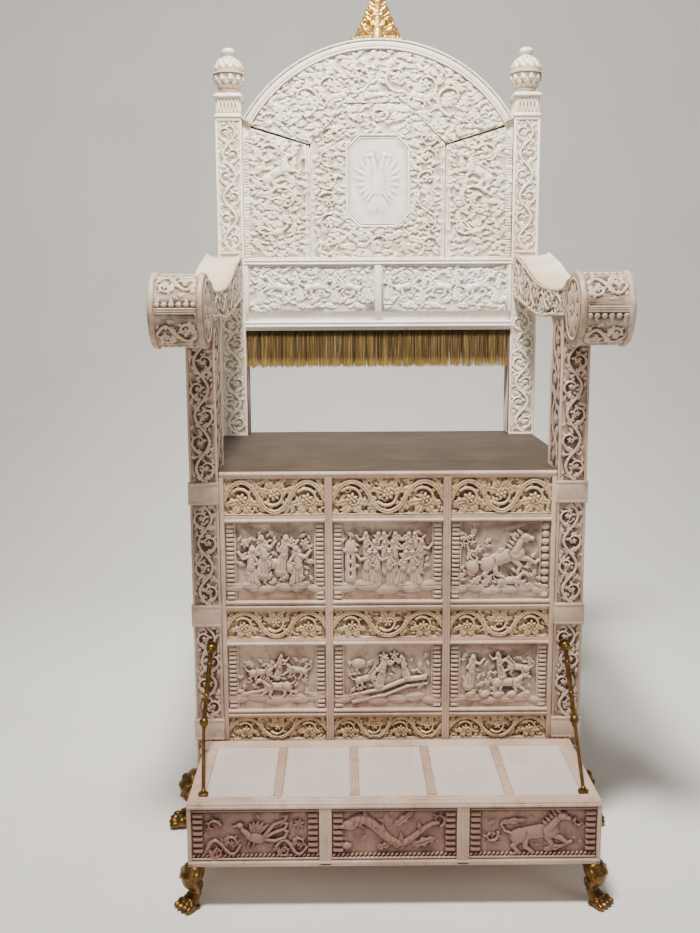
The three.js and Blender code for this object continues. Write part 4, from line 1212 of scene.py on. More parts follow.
@dataclass
class Palette:
    """The throne's finishes, built once. Some are darker or pinker copies of the ivory and the pale ivory,
    with painted shade and painted red reflection for the lower throne.
    """

    ivory: Finish
    body: Finish
    aged: Finish
    arm: Finish
    roll: Finish
    pale: Finish
    plate: Finish
    rose_shade: Finish
    wood: Finish
    gilt: Finish
    bronze: Finish
    thread: Finish
    velvet: Finish

    @classmethod
    def build(cls) -> "Palette":
        """Makes every finish.

        Returns:
            The palette.
        """
        groups = Groups(patina_group(), wear_group())
        recipes = {
            "ivory": (Slot.IVORY, Ivory("carved_ivory", (246, 238, 222), (232, 219, 198), (204, 182, 150),
                                        (126, 98, 72), 0.8, 0.35)),
            # darker, pinker copy of the ivory: painted shade and painted red reflection for the lower throne
            "body": (Slot.IVORY, Ivory("body_ivory_painted_shade", (212, 187, 168), (186, 158, 138), (152, 118, 94),
                                       (74, 48, 35), 1.0, 0.45)),
            "aged": (Slot.AGED, Ivory("aged_ivory", (218, 190, 154), (190, 160, 124), (152, 118, 84),
                                      (76, 51, 33), 1.0, 0.5)),
            "arm": (Slot.AGED, Ivory("arm_ivory", (238, 227, 210), (214, 192, 164), (180, 146, 110),
                                     (98, 70, 47), 1.0, 0.35)),
            # darker copy of the ivory: painted shade on the rolls
            "roll": (Slot.IVORY, Ivory("roll_ivory", (216, 198, 180), (188, 163, 139), (152, 120, 92),
                                       (78, 52, 36), 1.0, 0.4)),
            "pale": (Slot.PALE, Ivory("pale_ivory", (250, 246, 238), (240, 232, 218), (212, 196, 170),
                                      (150, 124, 96), 0.7, 0.2)),
            # darker, pinker copy of the pale ivory: painted shade and painted red reflection on the
            # footrest's plates
            "plate": (Slot.PALE, Ivory("plate_ivory_painted_shade", (212, 199, 191), (198, 183, 173), (176, 156, 142),
                                       (128, 104, 88), 0.8, 0.4)),
            # darkest, reddest copy of the ivory: painted shade and painted red reflection on the footrest's
            # front
            "rose_shade": (Slot.IVORY, Ivory("rose_ivory_painted_shade", (164, 126, 112), (136, 98, 86), (106, 71, 59),
                                       (46, 28, 22), 0.95, 0.5)),
            "wood": (Slot.WOOD, SeatBoard("seat_wood", (71, 57, 44), (49, 39, 30))),
            "gilt": (Slot.GILT, Gilding("worn_gilding", (196, 156, 82), (218, 186, 120), (62, 44, 22))),
            "bronze": (Slot.GILT, Gilding("dull_gilding", (104, 76, 38), (142, 108, 58), (30, 21, 13))),
            "thread": (Slot.THREAD, Thread("gold_thread", (56, 42, 22), (140, 110, 54), (204, 172, 96))),
            "velvet": (Slot.THREAD, Velvet("red_velvet", (84, 8, 12), (150, 24, 26))),
        }
        return cls(**{name: Finish(kind.build(groups), slot) for name, (slot, kind) in recipes.items()})


# ---------------------------------------------------------------- what the plaques show


def scene_border(relief: Relief, leafy: bool = False, bars: int = 13) -> None:
    """Lays the upright borders and the double fillets round a scene.

    Args:
        relief: the relief.
        leafy: whether the right-hand border is of leaf-like beads.
        bars: how many bars a border has.
    """
    edge, top, foot = relief.width / 2 - 8 * MM, relief.tall / 2, -relief.tall / 2
    low, high = foot + 1 * MM, top - 3 * MM
    relief.bars(-edge, low, high, 6.6 * MM, bars, 3.6 * MM)
    if leafy:
        relief.beads(edge, low, high, 7 * MM, round(bars * 0.6), 4.6 * MM)
    else:
        relief.bars(edge, low, high, 6.6 * MM, bars, 3.6 * MM)
    for side in (-1, 1):
        relief.strip(side * (edge - 8.6 * MM), 1.1 * MM, 1.5 * MM)


def knot_of_people(relief: Relief) -> None:
    """A close group of figures about a horse, over hillocks."""
    w, h = relief.width, relief.tall
    relief.beast(w * 0.02, -h * 0.05, w * 0.5, RELIEF, -1, 0.1)
    for x, z, tall, lean, hand in ((-0.25, -0.3, 0.5, 0.05, -1), (-0.1, -0.16, 0.5, -0.1, 1),
                                   (0.08, -0.12, 0.46, 0.08, 1), (0.24, -0.3, 0.52, -0.08, 1)):
        relief.person(w * x, h * z, h * tall, RELIEF, lean, hand)
    for x in (-0.3, -0.14, 0.16, 0.3):
        relief.rosette(w * x, h * (0.26 - 0.3 * x * x), h * 0.06, RELIEF * 0.8)
    relief.hills(-h * 0.33, RELIEF * 0.7, 6)
    relief.thicket(160, 13 * MM, RELIEF * 0.75, 22 * MM)


def crowd_at_the_tower(relief: Relief) -> None:
    """Rows of small heads beside a capped tower, over waving ground."""
    w, h = relief.width, relief.tall
    relief.tower(-w * 0.34, -h * 0.28, h * 0.14, h * 0.58, RELIEF)
    for row, (z, tall, count) in enumerate(((0.02, 0.36, 6), (-0.12, 0.4, 5), (-0.3, 0.46, 5))):
        for i in range(count):
            x = w * (-0.2 + 0.55 * (i + 0.5 * (row % 2)) / count)
            relief.person(x, h * z, h * tall, RELIEF * (0.8 + 0.1 * row), 0.1 * math.sin(i * 2 + row),
                          1 if (i + row) % 2 else -1)
    relief.hills(-h * 0.34, RELIEF * 0.7, 5)
    relief.thicket(150, 13 * MM, RELIEF * 0.7, 21 * MM)


def leaping_beast(relief: Relief) -> None:
    """A long beast that leaps across the panel, with a round rock and a tree."""
    w, h = relief.width, relief.tall
    relief.beast(w * 0.03, h * 0.02, w * 0.64, RELIEF * 1.05, 1, 0.3)
    relief.dome(-w * 0.28, -h * 0.08, w * 0.07, h * 0.1, RELIEF * 1.1, 0.4)
    relief.tree(-w * 0.33, h * 0.02, h * 0.34, RELIEF * 0.9)
    relief.beast(w * 0.1, -h * 0.27, w * 0.34, RELIEF * 0.8, 1, 0.05, False)
    for x in (-0.3, -0.18):
        relief.leaf(w * x, -h * 0.34, h * 0.2, h * 0.1, RELIEF * 0.8, 1.1 + x, 4)
    relief.hills(-h * 0.37, RELIEF * 0.6, 6)
    relief.thicket(110, 14 * MM, RELIEF * 0.7, 22 * MM)


def beasts_on_the_hills(relief: Relief) -> None:
    """Two beasts over low hills, with a figure behind."""
    w, h = relief.width, relief.tall
    relief.beast(-w * 0.16, h * 0.06, w * 0.34, RELIEF * 0.9, 1, 0.0)
    relief.beast(w * 0.2, h * 0.1, w * 0.3, RELIEF * 0.85, -1, 0.1, False)
    relief.beast(w * 0.0, -h * 0.16, w * 0.4, RELIEF, -1, -0.1)
    relief.person(w * 0.02, h * 0.0, h * 0.36, RELIEF, 0.1)
    relief.stem([(-w * 0.36, -h * 0.28), (-w * 0.05, -h * 0.18), (w * 0.2, -h * 0.24)], 7 * MM, 4 * MM,
                RELIEF * 0.7)
    relief.hills(-h * 0.34, RELIEF * 0.6, 5)
    relief.thicket(90, 14 * MM, RELIEF * 0.6, 24 * MM)


def figures_on_the_bank(relief: Relief) -> None:
    """Figures over a long sloping bank, with foliage above them."""
    w, h = relief.width, relief.tall
    bank = [(-w * 0.34, -h * 0.3), (-w * 0.05, -h * 0.2), (w * 0.16, -h * 0.06), (w * 0.34, -h * 0.02)]
    relief.stem(bank, 5 * MM, 10 * MM, RELIEF * 0.9)
    relief.stem([(x + w * 0.02, z - h * 0.1) for x, z in bank], 8 * MM, 5 * MM, RELIEF * 0.7)
    relief.person(-w * 0.06, -h * 0.14, h * 0.48, RELIEF, 0.12, 1)
    relief.person(w * 0.16, -h * 0.02, h * 0.36, RELIEF, -0.15, -1)
    relief.dome(-w * 0.27, h * 0.2, w * 0.07, h * 0.08, RELIEF * 0.9)
    for x, z in ((-0.04, 0.31), (0.06, 0.33), (0.12, 0.25), (0.0, 0.22)):
        relief.rosette(w * x, h * z, h * 0.075, RELIEF * 0.9, 5)
    relief.beast(-w * 0.2, -h * 0.04, w * 0.28, RELIEF * 0.9, 1, 0.2)
    relief.hills(-h * 0.36, RELIEF * 0.6, 6)
    relief.thicket(70, 14 * MM, RELIEF * 0.6, 24 * MM)


def herd_and_keeper(relief: Relief) -> None:
    """A keeper at the left, beasts at the right and a row of hillocks below."""
    w, h = relief.width, relief.tall
    relief.person(-w * 0.28, -h * 0.16, h * 0.5, RELIEF, 0.06)
    relief.person(w * 0.02, -h * 0.02, h * 0.4, RELIEF, -0.1, -1)
    relief.beast(w * 0.2, h * 0.12, w * 0.32, RELIEF, -1, 0.1)
    relief.beast(w * 0.1, -h * 0.12, w * 0.42, RELIEF, 1, -0.05, False)
    for i in range(5):
        relief.dome(w * (-0.28 + 0.14 * i), -h * 0.3, w * 0.06, h * 0.06, RELIEF * 0.9, 0.3)
    relief.hills(-h * 0.37, RELIEF * 0.6, 6)
    relief.thicket(90, 14 * MM, RELIEF * 0.6, 22 * MM)


SCENES = (knot_of_people, crowd_at_the_tower, leaping_beast, beasts_on_the_hills, figures_on_the_bank,
          herd_and_keeper)


def running_scroll(relief: Relief, bays: int, stout: float, petals: int) -> None:
    """Lays a stem that waves from edge to edge, with a leafy scroll and a flower in each bay.

    Args:
        relief: the relief.
        bays: how many bays there are.
        stout: the width of the stem as a share of the height of the face.
        petals: how many petals a flower has.
    """
    w, h = relief.width - 3 * MM, relief.tall
    pitch = w / bays
    share = np.linspace(-0.1, bays + 0.1, bays * 12)
    wave = np.sin(share * math.pi)
    line = [(x * pitch - w / 2, 0.41 * h * np.sign(y) * abs(y) ** 0.72) for x, y in zip(share, wave)]
    for i in range(bays):
        x, hand = (i + 0.5) * pitch - w / 2, 1 if i % 2 else -1
        radius = min(pitch * 0.36, h * 0.34)
        for turn, long in ((0.2, 0.5), (1.0, 0.56), (2.1, 0.56), (2.9, 0.5)):
            relief.leaf(x, hand * h * 0.1, h * long, h * 0.24, RELIEF * 0.85, hand * turn, 3)
        for side in (-1, 1):
            relief.leaf(x + side * pitch * 0.5, -hand * side * h * 0.02, h * 0.48, h * 0.26, RELIEF * 0.85,
                        -hand * (math.pi / 2 + side * 0.35), 3)
        relief.curl(x, hand * h * 0.06, radius, -hand * 2.4, hand * 5.4, h * stout * 0.8, RELIEF * 0.95)
        relief.rosette(x, hand * h * 0.06, h * 0.17, RELIEF * 1.15, petals)
    relief.stem(line, h * stout, h * stout, RELIEF * 1.05)
    relief.groove(line, h * stout * 0.12, 0.4)


def flowered_frieze(relief: Relief) -> None:
    """The top frieze: a bold waving stem, with flowers and close foliage in its bays."""
    h = relief.tall
    running_scroll(relief, 3, 0.14, 6)
    relief.thicket(300, 12 * MM, RELIEF * 0.75, 2 * MM)
    relief.fillet(-h / 2 + 1.6 * MM, 1.6 * MM, 3.4 * MM)


def scrolled_frieze(relief: Relief) -> None:
    """The lower friezes: leafy scrolls that curl down and up in turn along a running stem."""
    w, h = relief.width, relief.tall
    running_scroll(relief, max(3, round(w / h * 0.85)), 0.16, 5)
    relief.thicket(int(w / MM * 1.0), 9 * MM, RELIEF * 0.6, 2 * MM)
    relief.fillet(h / 2 - 1.2 * MM, 1.2 * MM, 2.6 * MM)
    relief.fillet(-h / 2 + 1.2 * MM, 1.2 * MM, 2.6 * MM)


def footrest_border(relief: Relief) -> None:
    """Lays the borders of short bars, the top fillet and the roped foot of a footrest panel."""
    edge, top, foot = relief.width / 2 - 9.5 * MM, relief.tall / 2, -relief.tall / 2
    for side in (-edge, edge):
        relief.bars(side, foot + 10 * MM, top - 6 * MM, 8 * MM, 7, 4.2 * MM)
    relief.fillet(top - 2.4 * MM, 2.4 * MM, 4.8 * MM)
    relief.rope(foot + 6.8 * MM, 2.6 * MM, 3.6 * MM, 6.5 * MM)
    relief.fillet(foot + 2 * MM, 2 * MM, 4.6 * MM)


def long_tailed_bird(relief: Relief) -> None:
    """A bird with long curling tail feathers among flowers."""
    w, h = relief.width, relief.tall
    relief.bird(w * 0.0, -h * 0.06, w * 0.5, RELIEF, -1)
    relief.curl(-w * 0.33, h * 0.16, h * 0.14, 0.2, 4.6, h * 0.06, RELIEF * 0.9)
    relief.vine((-w * 0.38, -h * 0.28), (-w * 0.12, -h * 0.22), h * 0.24, 2, RELIEF * 0.9)
    relief.vine((w * 0.16, -h * 0.24), (w * 0.4, -h * 0.26), h * 0.22, 2, RELIEF * 0.9)
    relief.rosette(w * 0.34, h * 0.2, h * 0.1, RELIEF * 0.8)
    relief.thicket(26, 11 * MM, RELIEF * 0.35, 16 * MM)


def water_beast(relief: Relief) -> None:
    """A long winding beast with fins over waves."""
    w, h = relief.width, relief.tall
    relief.serpent(0, h * 0.02, w * 0.7, RELIEF * 1.05)
    relief.dome(-w * 0.38, -h * 0.24, h * 0.1, h * 0.07, RELIEF)
    relief.leaf(w * 0.0, h * 0.14, w * 0.2, h * 0.16, RELIEF * 0.9, 0.7, 3)
    relief.leaf(w * 0.14, -h * 0.24, w * 0.2, h * 0.18, RELIEF * 0.9, 0.3, 3)
    relief.leaf(-w * 0.14, -h * 0.3, w * 0.16, h * 0.14, RELIEF * 0.8, 0.4, 3)
    relief.thicket(24, 11 * MM, RELIEF * 0.35, 16 * MM)


def running_beasts(relief: Relief) -> None:
    """A beast in a gallop with scrolls above and below."""
    w, h = relief.width, relief.tall
    relief.beast(w * 0.02, -h * 0.02, w * 0.52, RELIEF, 1, 0.12)
    relief.leaf(-w * 0.26, h * 0.2, w * 0.22, h * 0.12, RELIEF * 0.85, 0.1, 3)
    relief.curl(-w * 0.33, -h * 0.06, h * 0.14, 0.4, -4.6, h * 0.06, RELIEF * 0.85)
    relief.curl(w * 0.36, h * 0.2, h * 0.1, 2.4, 4.4, h * 0.05, RELIEF * 0.85)
    relief.leaf(w * 0.08, -h * 0.36, w * 0.2, h * 0.12, RELIEF * 0.8, 0.25, 3)
    relief.thicket(24, 11 * MM, RELIEF * 0.35, 16 * MM)


BEASTS = (long_tailed_bird, water_beast, running_beasts)


# ---------------------------------------------------------------- sub-assemblies


def plaque(node: str, draw: Draw, step: float, finish: Finish, seed: int = 1) -> Object:
    """Builds an upright, front-facing rectangular plaque in place of a frame node.

    Args:
        node: the node's name.
        draw: lays its motifs.
        step: the size of its grid's faces.
        finish: its finish.
        seed: number that fixes the scattered leaves.

    Returns:
        The plaque.
    """
    low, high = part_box(node)
    width, tall = high.x - low.x, high.z - low.z
    origin = Vector(((low.x + high.x) / 2, high.y - PLATE, (low.z + high.z) / 2))
    face = Face(origin, X_AXIS, Z_AXIS, -Y_AXIS)
    work = bmesh.new()
    carve_field(work, face, (width, tall), step, draw, PLATE, seed)
    return finish_piece(node + "_carved", work, finish, [node], kept=0.6)


@dataclass
class BodyFront:
    """The carved front of the body: a framing grid round fifteen plaques."""

    palette: Palette
    mullion: float = 98 * MM
    mullion_width: float = 13 * MM
    field_half: float = 270 * MM
    scene_step: float = 1.2 * MM
    frieze_step: float = 1.1 * MM

    def build(self) -> None:
        """Builds the framing and the plaques."""
        self.framing()
        for index, row in enumerate((1, 3, 5)):
            for column, side in enumerate(COLUMNS):
                draw = scrolled_frieze if index else flowered_frieze
                plaque(f"frieze_{row}_{side}", draw, self.frieze_step, self.palette.aged,
                       10 + index * 3 + column)
        for index, row in enumerate((2, 4)):
            for column, side in enumerate(COLUMNS):
                self.scene(f"scene_{row}_{side}", index * 3 + column)

    def scene(self, node: str, number: int) -> None:
        """Builds one scene with its border."""
        def draw(relief: Relief) -> None:
            """Lays the border and the scene."""
            scene_border(relief, leafy=number == 2, bars=17 if number < 3 else 14)
            SCENES[number](relief)

        plaque(node, draw, self.scene_step, self.palette.body, 30 + number)

    def framing(self) -> None:
        """Builds the back board, the reeded mullions and the fillets between the rows."""
        low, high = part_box("front_frame")
        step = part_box("seat_board")[0].z - 0.4 * MM
        work = bmesh.new()
        face, ground = low.y, high.y - 10.5 * MM
        block(work, (low.x, ground, low.z), (high.x, high.y, step), 1 * MM)
        half = self.mullion_width / 2
        for x in (-self.mullion, self.mullion):
            block(work, (x - half, face, low.z), (x + half, ground + MM, step), 1.2 * MM)
            for side in (-0.66, 0.0, 0.66):
                place = x + side * half, face + 0.7 * MM
                moulding(work, (*place, low.z + 2 * MM), (*place, step - 2 * MM), -Y_AXIS,
                         bead(1.9 * MM, 2.3 * MM, 0.6 * MM))
        for side in SIDES.values():
            inner, outer = side * self.field_half, side * high.x
            block(work, (min(inner, outer), face, low.z), (max(inner, outer), ground + MM, step), MM)
        rows = [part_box(f"{kind}_{row}_middle") for row, kind in
                ((5, "frieze"), (4, "scene"), (3, "frieze"), (2, "scene"), (1, "frieze"))]
        edges = [low.z, *[corner.z for row in rows for corner in row], step]
        for foot, top in zip(edges[::2], edges[1::2]):
            block(work, (low.x, face + 2.6 * MM, foot), (high.x, ground + MM, top), 0.8 * MM)
        for row, double in ((1, True), (2, False), (3, True), (4, False)):
            self.fillets(work, edges[row * 2], edges[row * 2 + 1], face, double)
        block(work, (low.x, face + MM, step - 3 * MM), (high.x, face + 7.6 * MM, high.z), 1.2 * MM)
        lip = face + 1.6 * MM, high.z - 4 * MM
        moulding(work, (low.x + MM, *lip), (high.x - MM, *lip), -Y_AXIS, bead(3.2 * MM, 2.6 * MM, MM))
        finish_piece("front_framing", work, self.palette.body, ["front_frame"])

    def fillets(self, work: Mesh, foot: float, top: float, face: float, double: bool) -> None:
        """Lays the bright fillets of a rail, between the mullions.

        Args:
            work: the mesh to add to.
            foot: the rail's foot.
            top: its top.
            face: its front.
            double: whether it has two fillets, as under a scene, or one, as over a scene.
        """
        tall = top - foot
        half = 2.9 * MM
        edges = (-self.field_half, -self.mullion - self.mullion_width / 2,
                 -self.mullion + self.mullion_width / 2, self.mullion - self.mullion_width / 2,
                 self.mullion + self.mullion_width / 2, self.field_half)
        levels = (top - half, top - half - tall * 0.46) if double else (foot + half,)
        for start, end in zip(edges[::2], edges[1::2]):
            for z in levels:
                moulding(work, (start, face + 2.2 * MM, z), (end, face + 2.2 * MM, z),
                         -Y_AXIS, bead(half, 4.2 * MM, MM))


def post_face(side: str) -> float:
    """Gives how far forward a front post's carved face lies."""
    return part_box(f"front_post_{side}")[0].y + COLLAR


def upright_vine(relief: Relief, bays: int, rise: float, leaves: int) -> None:
    """Lays an upright vine that fills a narrow face, with plain edges."""
    half = relief.width / 2
    relief.vine((0, relief.low[1] + 2 * MM), (0, relief.high[1] - 2 * MM), half * 0.94, bays, rise)
    relief.thicket(leaves, half * 0.5, rise * 0.6, 2 * MM)


@dataclass
class FrontPost:
    """A front post: a core with plain edge strips, carved runs and collars."""

    palette: Palette
    side: str
    collars: tuple[float, ...] = (171 * MM, 370 * MM, 577 * MM)
    collar_height: float = 37 * MM
    ground: float = 2 * MM      # depth of the carved ground behind the edge strips
    strip: float = 4 * MM
    rise: float = 3.4 * MM

    def build(self) -> None:
        """Builds the post."""
        low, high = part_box(f"front_post_{self.side}")
        hand = SIDES[self.side]
        inner = low.x if hand > 0 else high.x
        outer = (high.x if hand > 0 else low.x) - hand * COLLAR
        face = post_face(self.side)
        work = bmesh.new()
        xs = sorted((inner, outer))
        inset = self.ground + 0.8 * MM
        block(work, (xs[0] + inset, face + inset, low.z), (xs[1] - inset, high.y - self.ground, high.z),
              0.8 * MM)
        for x in xs:
            for y in (face, high.y):
                near_x = (x, x + self.strip) if x == xs[0] else (x - self.strip, x)
                near_y = (y, y + self.strip) if y == face else (y - self.strip, y)
                block(work, (near_x[0], near_y[0], low.z), (near_x[1], near_y[1], high.z), 0.9 * MM)
        for z in self.collars:
            self.collar(work, xs, hand, face, high.y, z)
        stops = [low.z, *self.collars, high.z]
        for i, (foot, top) in enumerate(zip(stops[:-1], stops[1:])):
            foot += self.collar_height if i else 3 * MM
            top -= 3 * MM if top == high.z else 0
            self.runs(work, inner, outer, hand, face, high.y, foot, top)
        finish_piece(f"front_post_{self.side}_carved", work, self.palette.body,
                     [f"front_post_{self.side}"])

    def collar(self, work: Mesh, xs: Sequence[float], hand: int, face: float, back: float,
               z: float) -> None:
        """Adds a plain collar with a rounded fillet at its foot and its top."""
        proud, slight = 2.4 * MM, 0.5 * MM
        left, right = (slight, proud) if hand > 0 else (proud, slight)
        block(work, (xs[0] - left, face - proud, z), (xs[1] + right, back - 4 * MM, z + self.collar_height),
              1.2 * MM)
        for level in (z + 3 * MM, z + self.collar_height - 3 * MM):
            block(work, (xs[0] - left - 0.2 * MM, face - proud - 0.6 * MM, level - 2.4 * MM),
                  (xs[1] + right + 0.2 * MM, back - 3.6 * MM, level + 2.4 * MM), 1.6 * MM)

    def runs(self, work: Mesh, inner: float, outer: float, hand: int, face: float,
             back: float, foot: float, top: float) -> None:
        """Carves the front and the outer side between two collars."""
        tall, middle = top - foot, (foot + top) / 2
        width = abs(outer - inner) - 2 * self.strip
        front = Face(Vector(((inner + outer) / 2, face + self.ground, middle)), X_AXIS, Z_AXIS, -Y_AXIS)
        bays = max(2, round(tall / (42 * MM)))
        carve(work, front, rectangle(width, tall), round(width / (1.3 * MM)), round(tall / (1.5 * MM)),
              lambda relief: upright_vine(relief, bays, self.rise, int(tall / MM * 0.8)), 1 * MM, seed=bays)
        deep = back - face - 2 * self.strip
        for x, outward, step in ((outer, hand, 2.4 * MM), (inner, -hand, 4.0 * MM)):
            origin = Vector((x - outward * self.ground, (face + back) / 2, middle))
            flank = Face(origin, Y_AXIS, Z_AXIS, X_AXIS * outward)
            side_bays = max(1, round(tall / (74 * MM)))
            rise = self.rise * (0.85 if outward == hand else 0.6)
            carve_field(work, flank, (deep, tall), step,
                        lambda relief: upright_vine(relief, side_bays, rise, 60), seed=bays + 5)


@dataclass
class BackPost:
    """A back post, carved in front below the arms and above them, with a velvet strip inside."""

    palette: Palette
    side: str
    deep: float = 60 * MM
    strip: float = 5 * MM
    ground: float = 2 * MM
    rise: float = 3.4 * MM
    runs: tuple[Point, ...] = ((635 * MM, 925 * MM), (1008 * MM, 1262 * MM))
    arm_top: float = 1.0        # where the outer side's upper field starts
    lower_middle: float = 0.52  # the middle of the outer side's lower field, and its height
    lower_tall: float = 0.81

    def build(self) -> None:
        """Builds the post and the velvet."""
        low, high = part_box(f"back_post_{self.side}")
        hand = SIDES[self.side]
        face = high.y - self.deep
        work = bmesh.new()
        inset = self.ground + 0.8 * MM
        block(work, (low.x + inset, face + inset, low.z), (high.x - inset, high.y - self.ground, high.z),
              0.8 * MM)
        for x in (low.x, high.x - self.strip):
            for y in (face, high.y - self.strip):
                block(work, (x, y, low.z), (x + self.strip, y + self.strip, high.z), MM)
        for foot, top in self.runs:
            tall, middle = top - foot, (foot + top) / 2
            width = high.x - low.x - 2 * self.strip
            origin = Vector(((low.x + high.x) / 2, face + self.ground, middle))
            bays = round(tall / (44 * MM))
            carve(work, Face(origin, X_AXIS, Z_AXIS, -Y_AXIS), rectangle(width, tall),
                  round(width / (1.2 * MM)), round(tall / (1.3 * MM)),
                  lambda relief: upright_vine(relief, bays, self.rise, int(tall / MM * 0.8)), MM,
                  seed=bays + hand)
            for edge in (foot - 3 * MM, top + 3 * MM):
                block(work, (low.x + MM, face - 0.5 * MM, edge - 2.5 * MM),
                      (high.x - MM, face + 4 * MM, edge + 2.5 * MM), 1.4 * MM)
        outer = high.x if hand > 0 else low.x
        deep = high.y - face - 2 * self.strip
        for middle, tall, step, bays, leaves, seed in (
                ((self.arm_top + high.z) / 2, high.z - self.arm_top - 8 * MM, 1.9 * MM, 4, 60, 3),
                (self.lower_middle, self.lower_tall, 2.6 * MM, 11, 80, 4)):
            origin = Vector((outer - hand * self.ground, (face + high.y) / 2, middle))
            carve_field(work, Face(origin, Y_AXIS, Z_AXIS, X_AXIS * hand), (deep, tall), step,
                        lambda relief: upright_vine(relief, bays, self.rise * 0.8, leaves), seed=seed)
        finish_piece(f"back_post_{self.side}_carved", work, self.palette.ivory,
                     [f"back_post_{self.side}"])
        self.velvet(hand, low, high, face)

    def velvet(self, hand: int, low: Vector, high: Vector, face: float) -> None:
        """Adds the strip of red velvet on the inner side, between the seat and the rail."""
        inner = low.x if hand > 0 else high.x
        seat_top, rail_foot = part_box("seat_board")[1].z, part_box("back_rail")[0].z
        work = bmesh.new()
        xs = sorted((inner + hand * 0.4 * MM, inner - hand * 2.2 * MM))
        block(work, (xs[0], face + 1.5 * MM, seat_top + 1 * MM),
              (xs[1], high.y - 3 * MM, rail_foot - 1 * MM), 0.9 * MM, 3)
        finish_piece(f"velvet_strip_{self.side}", work, self.palette.velvet)


def line_by_angle(points: Sequence[Point], centre: Point) -> Line:
    """Turns a line round a centre into a radius for each angle.

    Args:
        points: the line's corners, against the clock.
        centre: the centre.

    Returns:
        A function from angles to radii.
    """
    corners = np.array(points) - np.array(centre)
    dense = np.concatenate([np.linspace(p, q, 200) for p, q in zip(corners[:-1], corners[1:])])
    angle, radius = np.arctan2(dense[:, 1], dense[:, 0]), np.hypot(*dense.T)
    order = np.argsort(angle)
    return lambda turn: np.interp(turn, angle[order], radius[order], period=2 * math.pi)


def smooth_line(points: Sequence[Point], count: int) -> list[Point]:
    """Runs a smooth curve through points.

    Args:
        points: the points.
        count: steps between two of them.

    Returns:
        The curve's points.
    """
    ends = [points[0], *points, points[-1]]
    line = []
    for p0, p1, p2, p3 in zip(ends[:-3], ends[1:-2], ends[2:-1], ends[3:]):
        for i in range(count):
            t = i / count
            line.append(tuple(0.5 * (2 * b + (c - a) * t + (2 * a - 5 * b + 4 * c - d) * t**2
                                     + (3 * b - a - 3 * c + d) * t**3)
                              for a, b, c, d in zip(p0, p1, p2, p3)))
    return [*line, tuple(points[-1])]


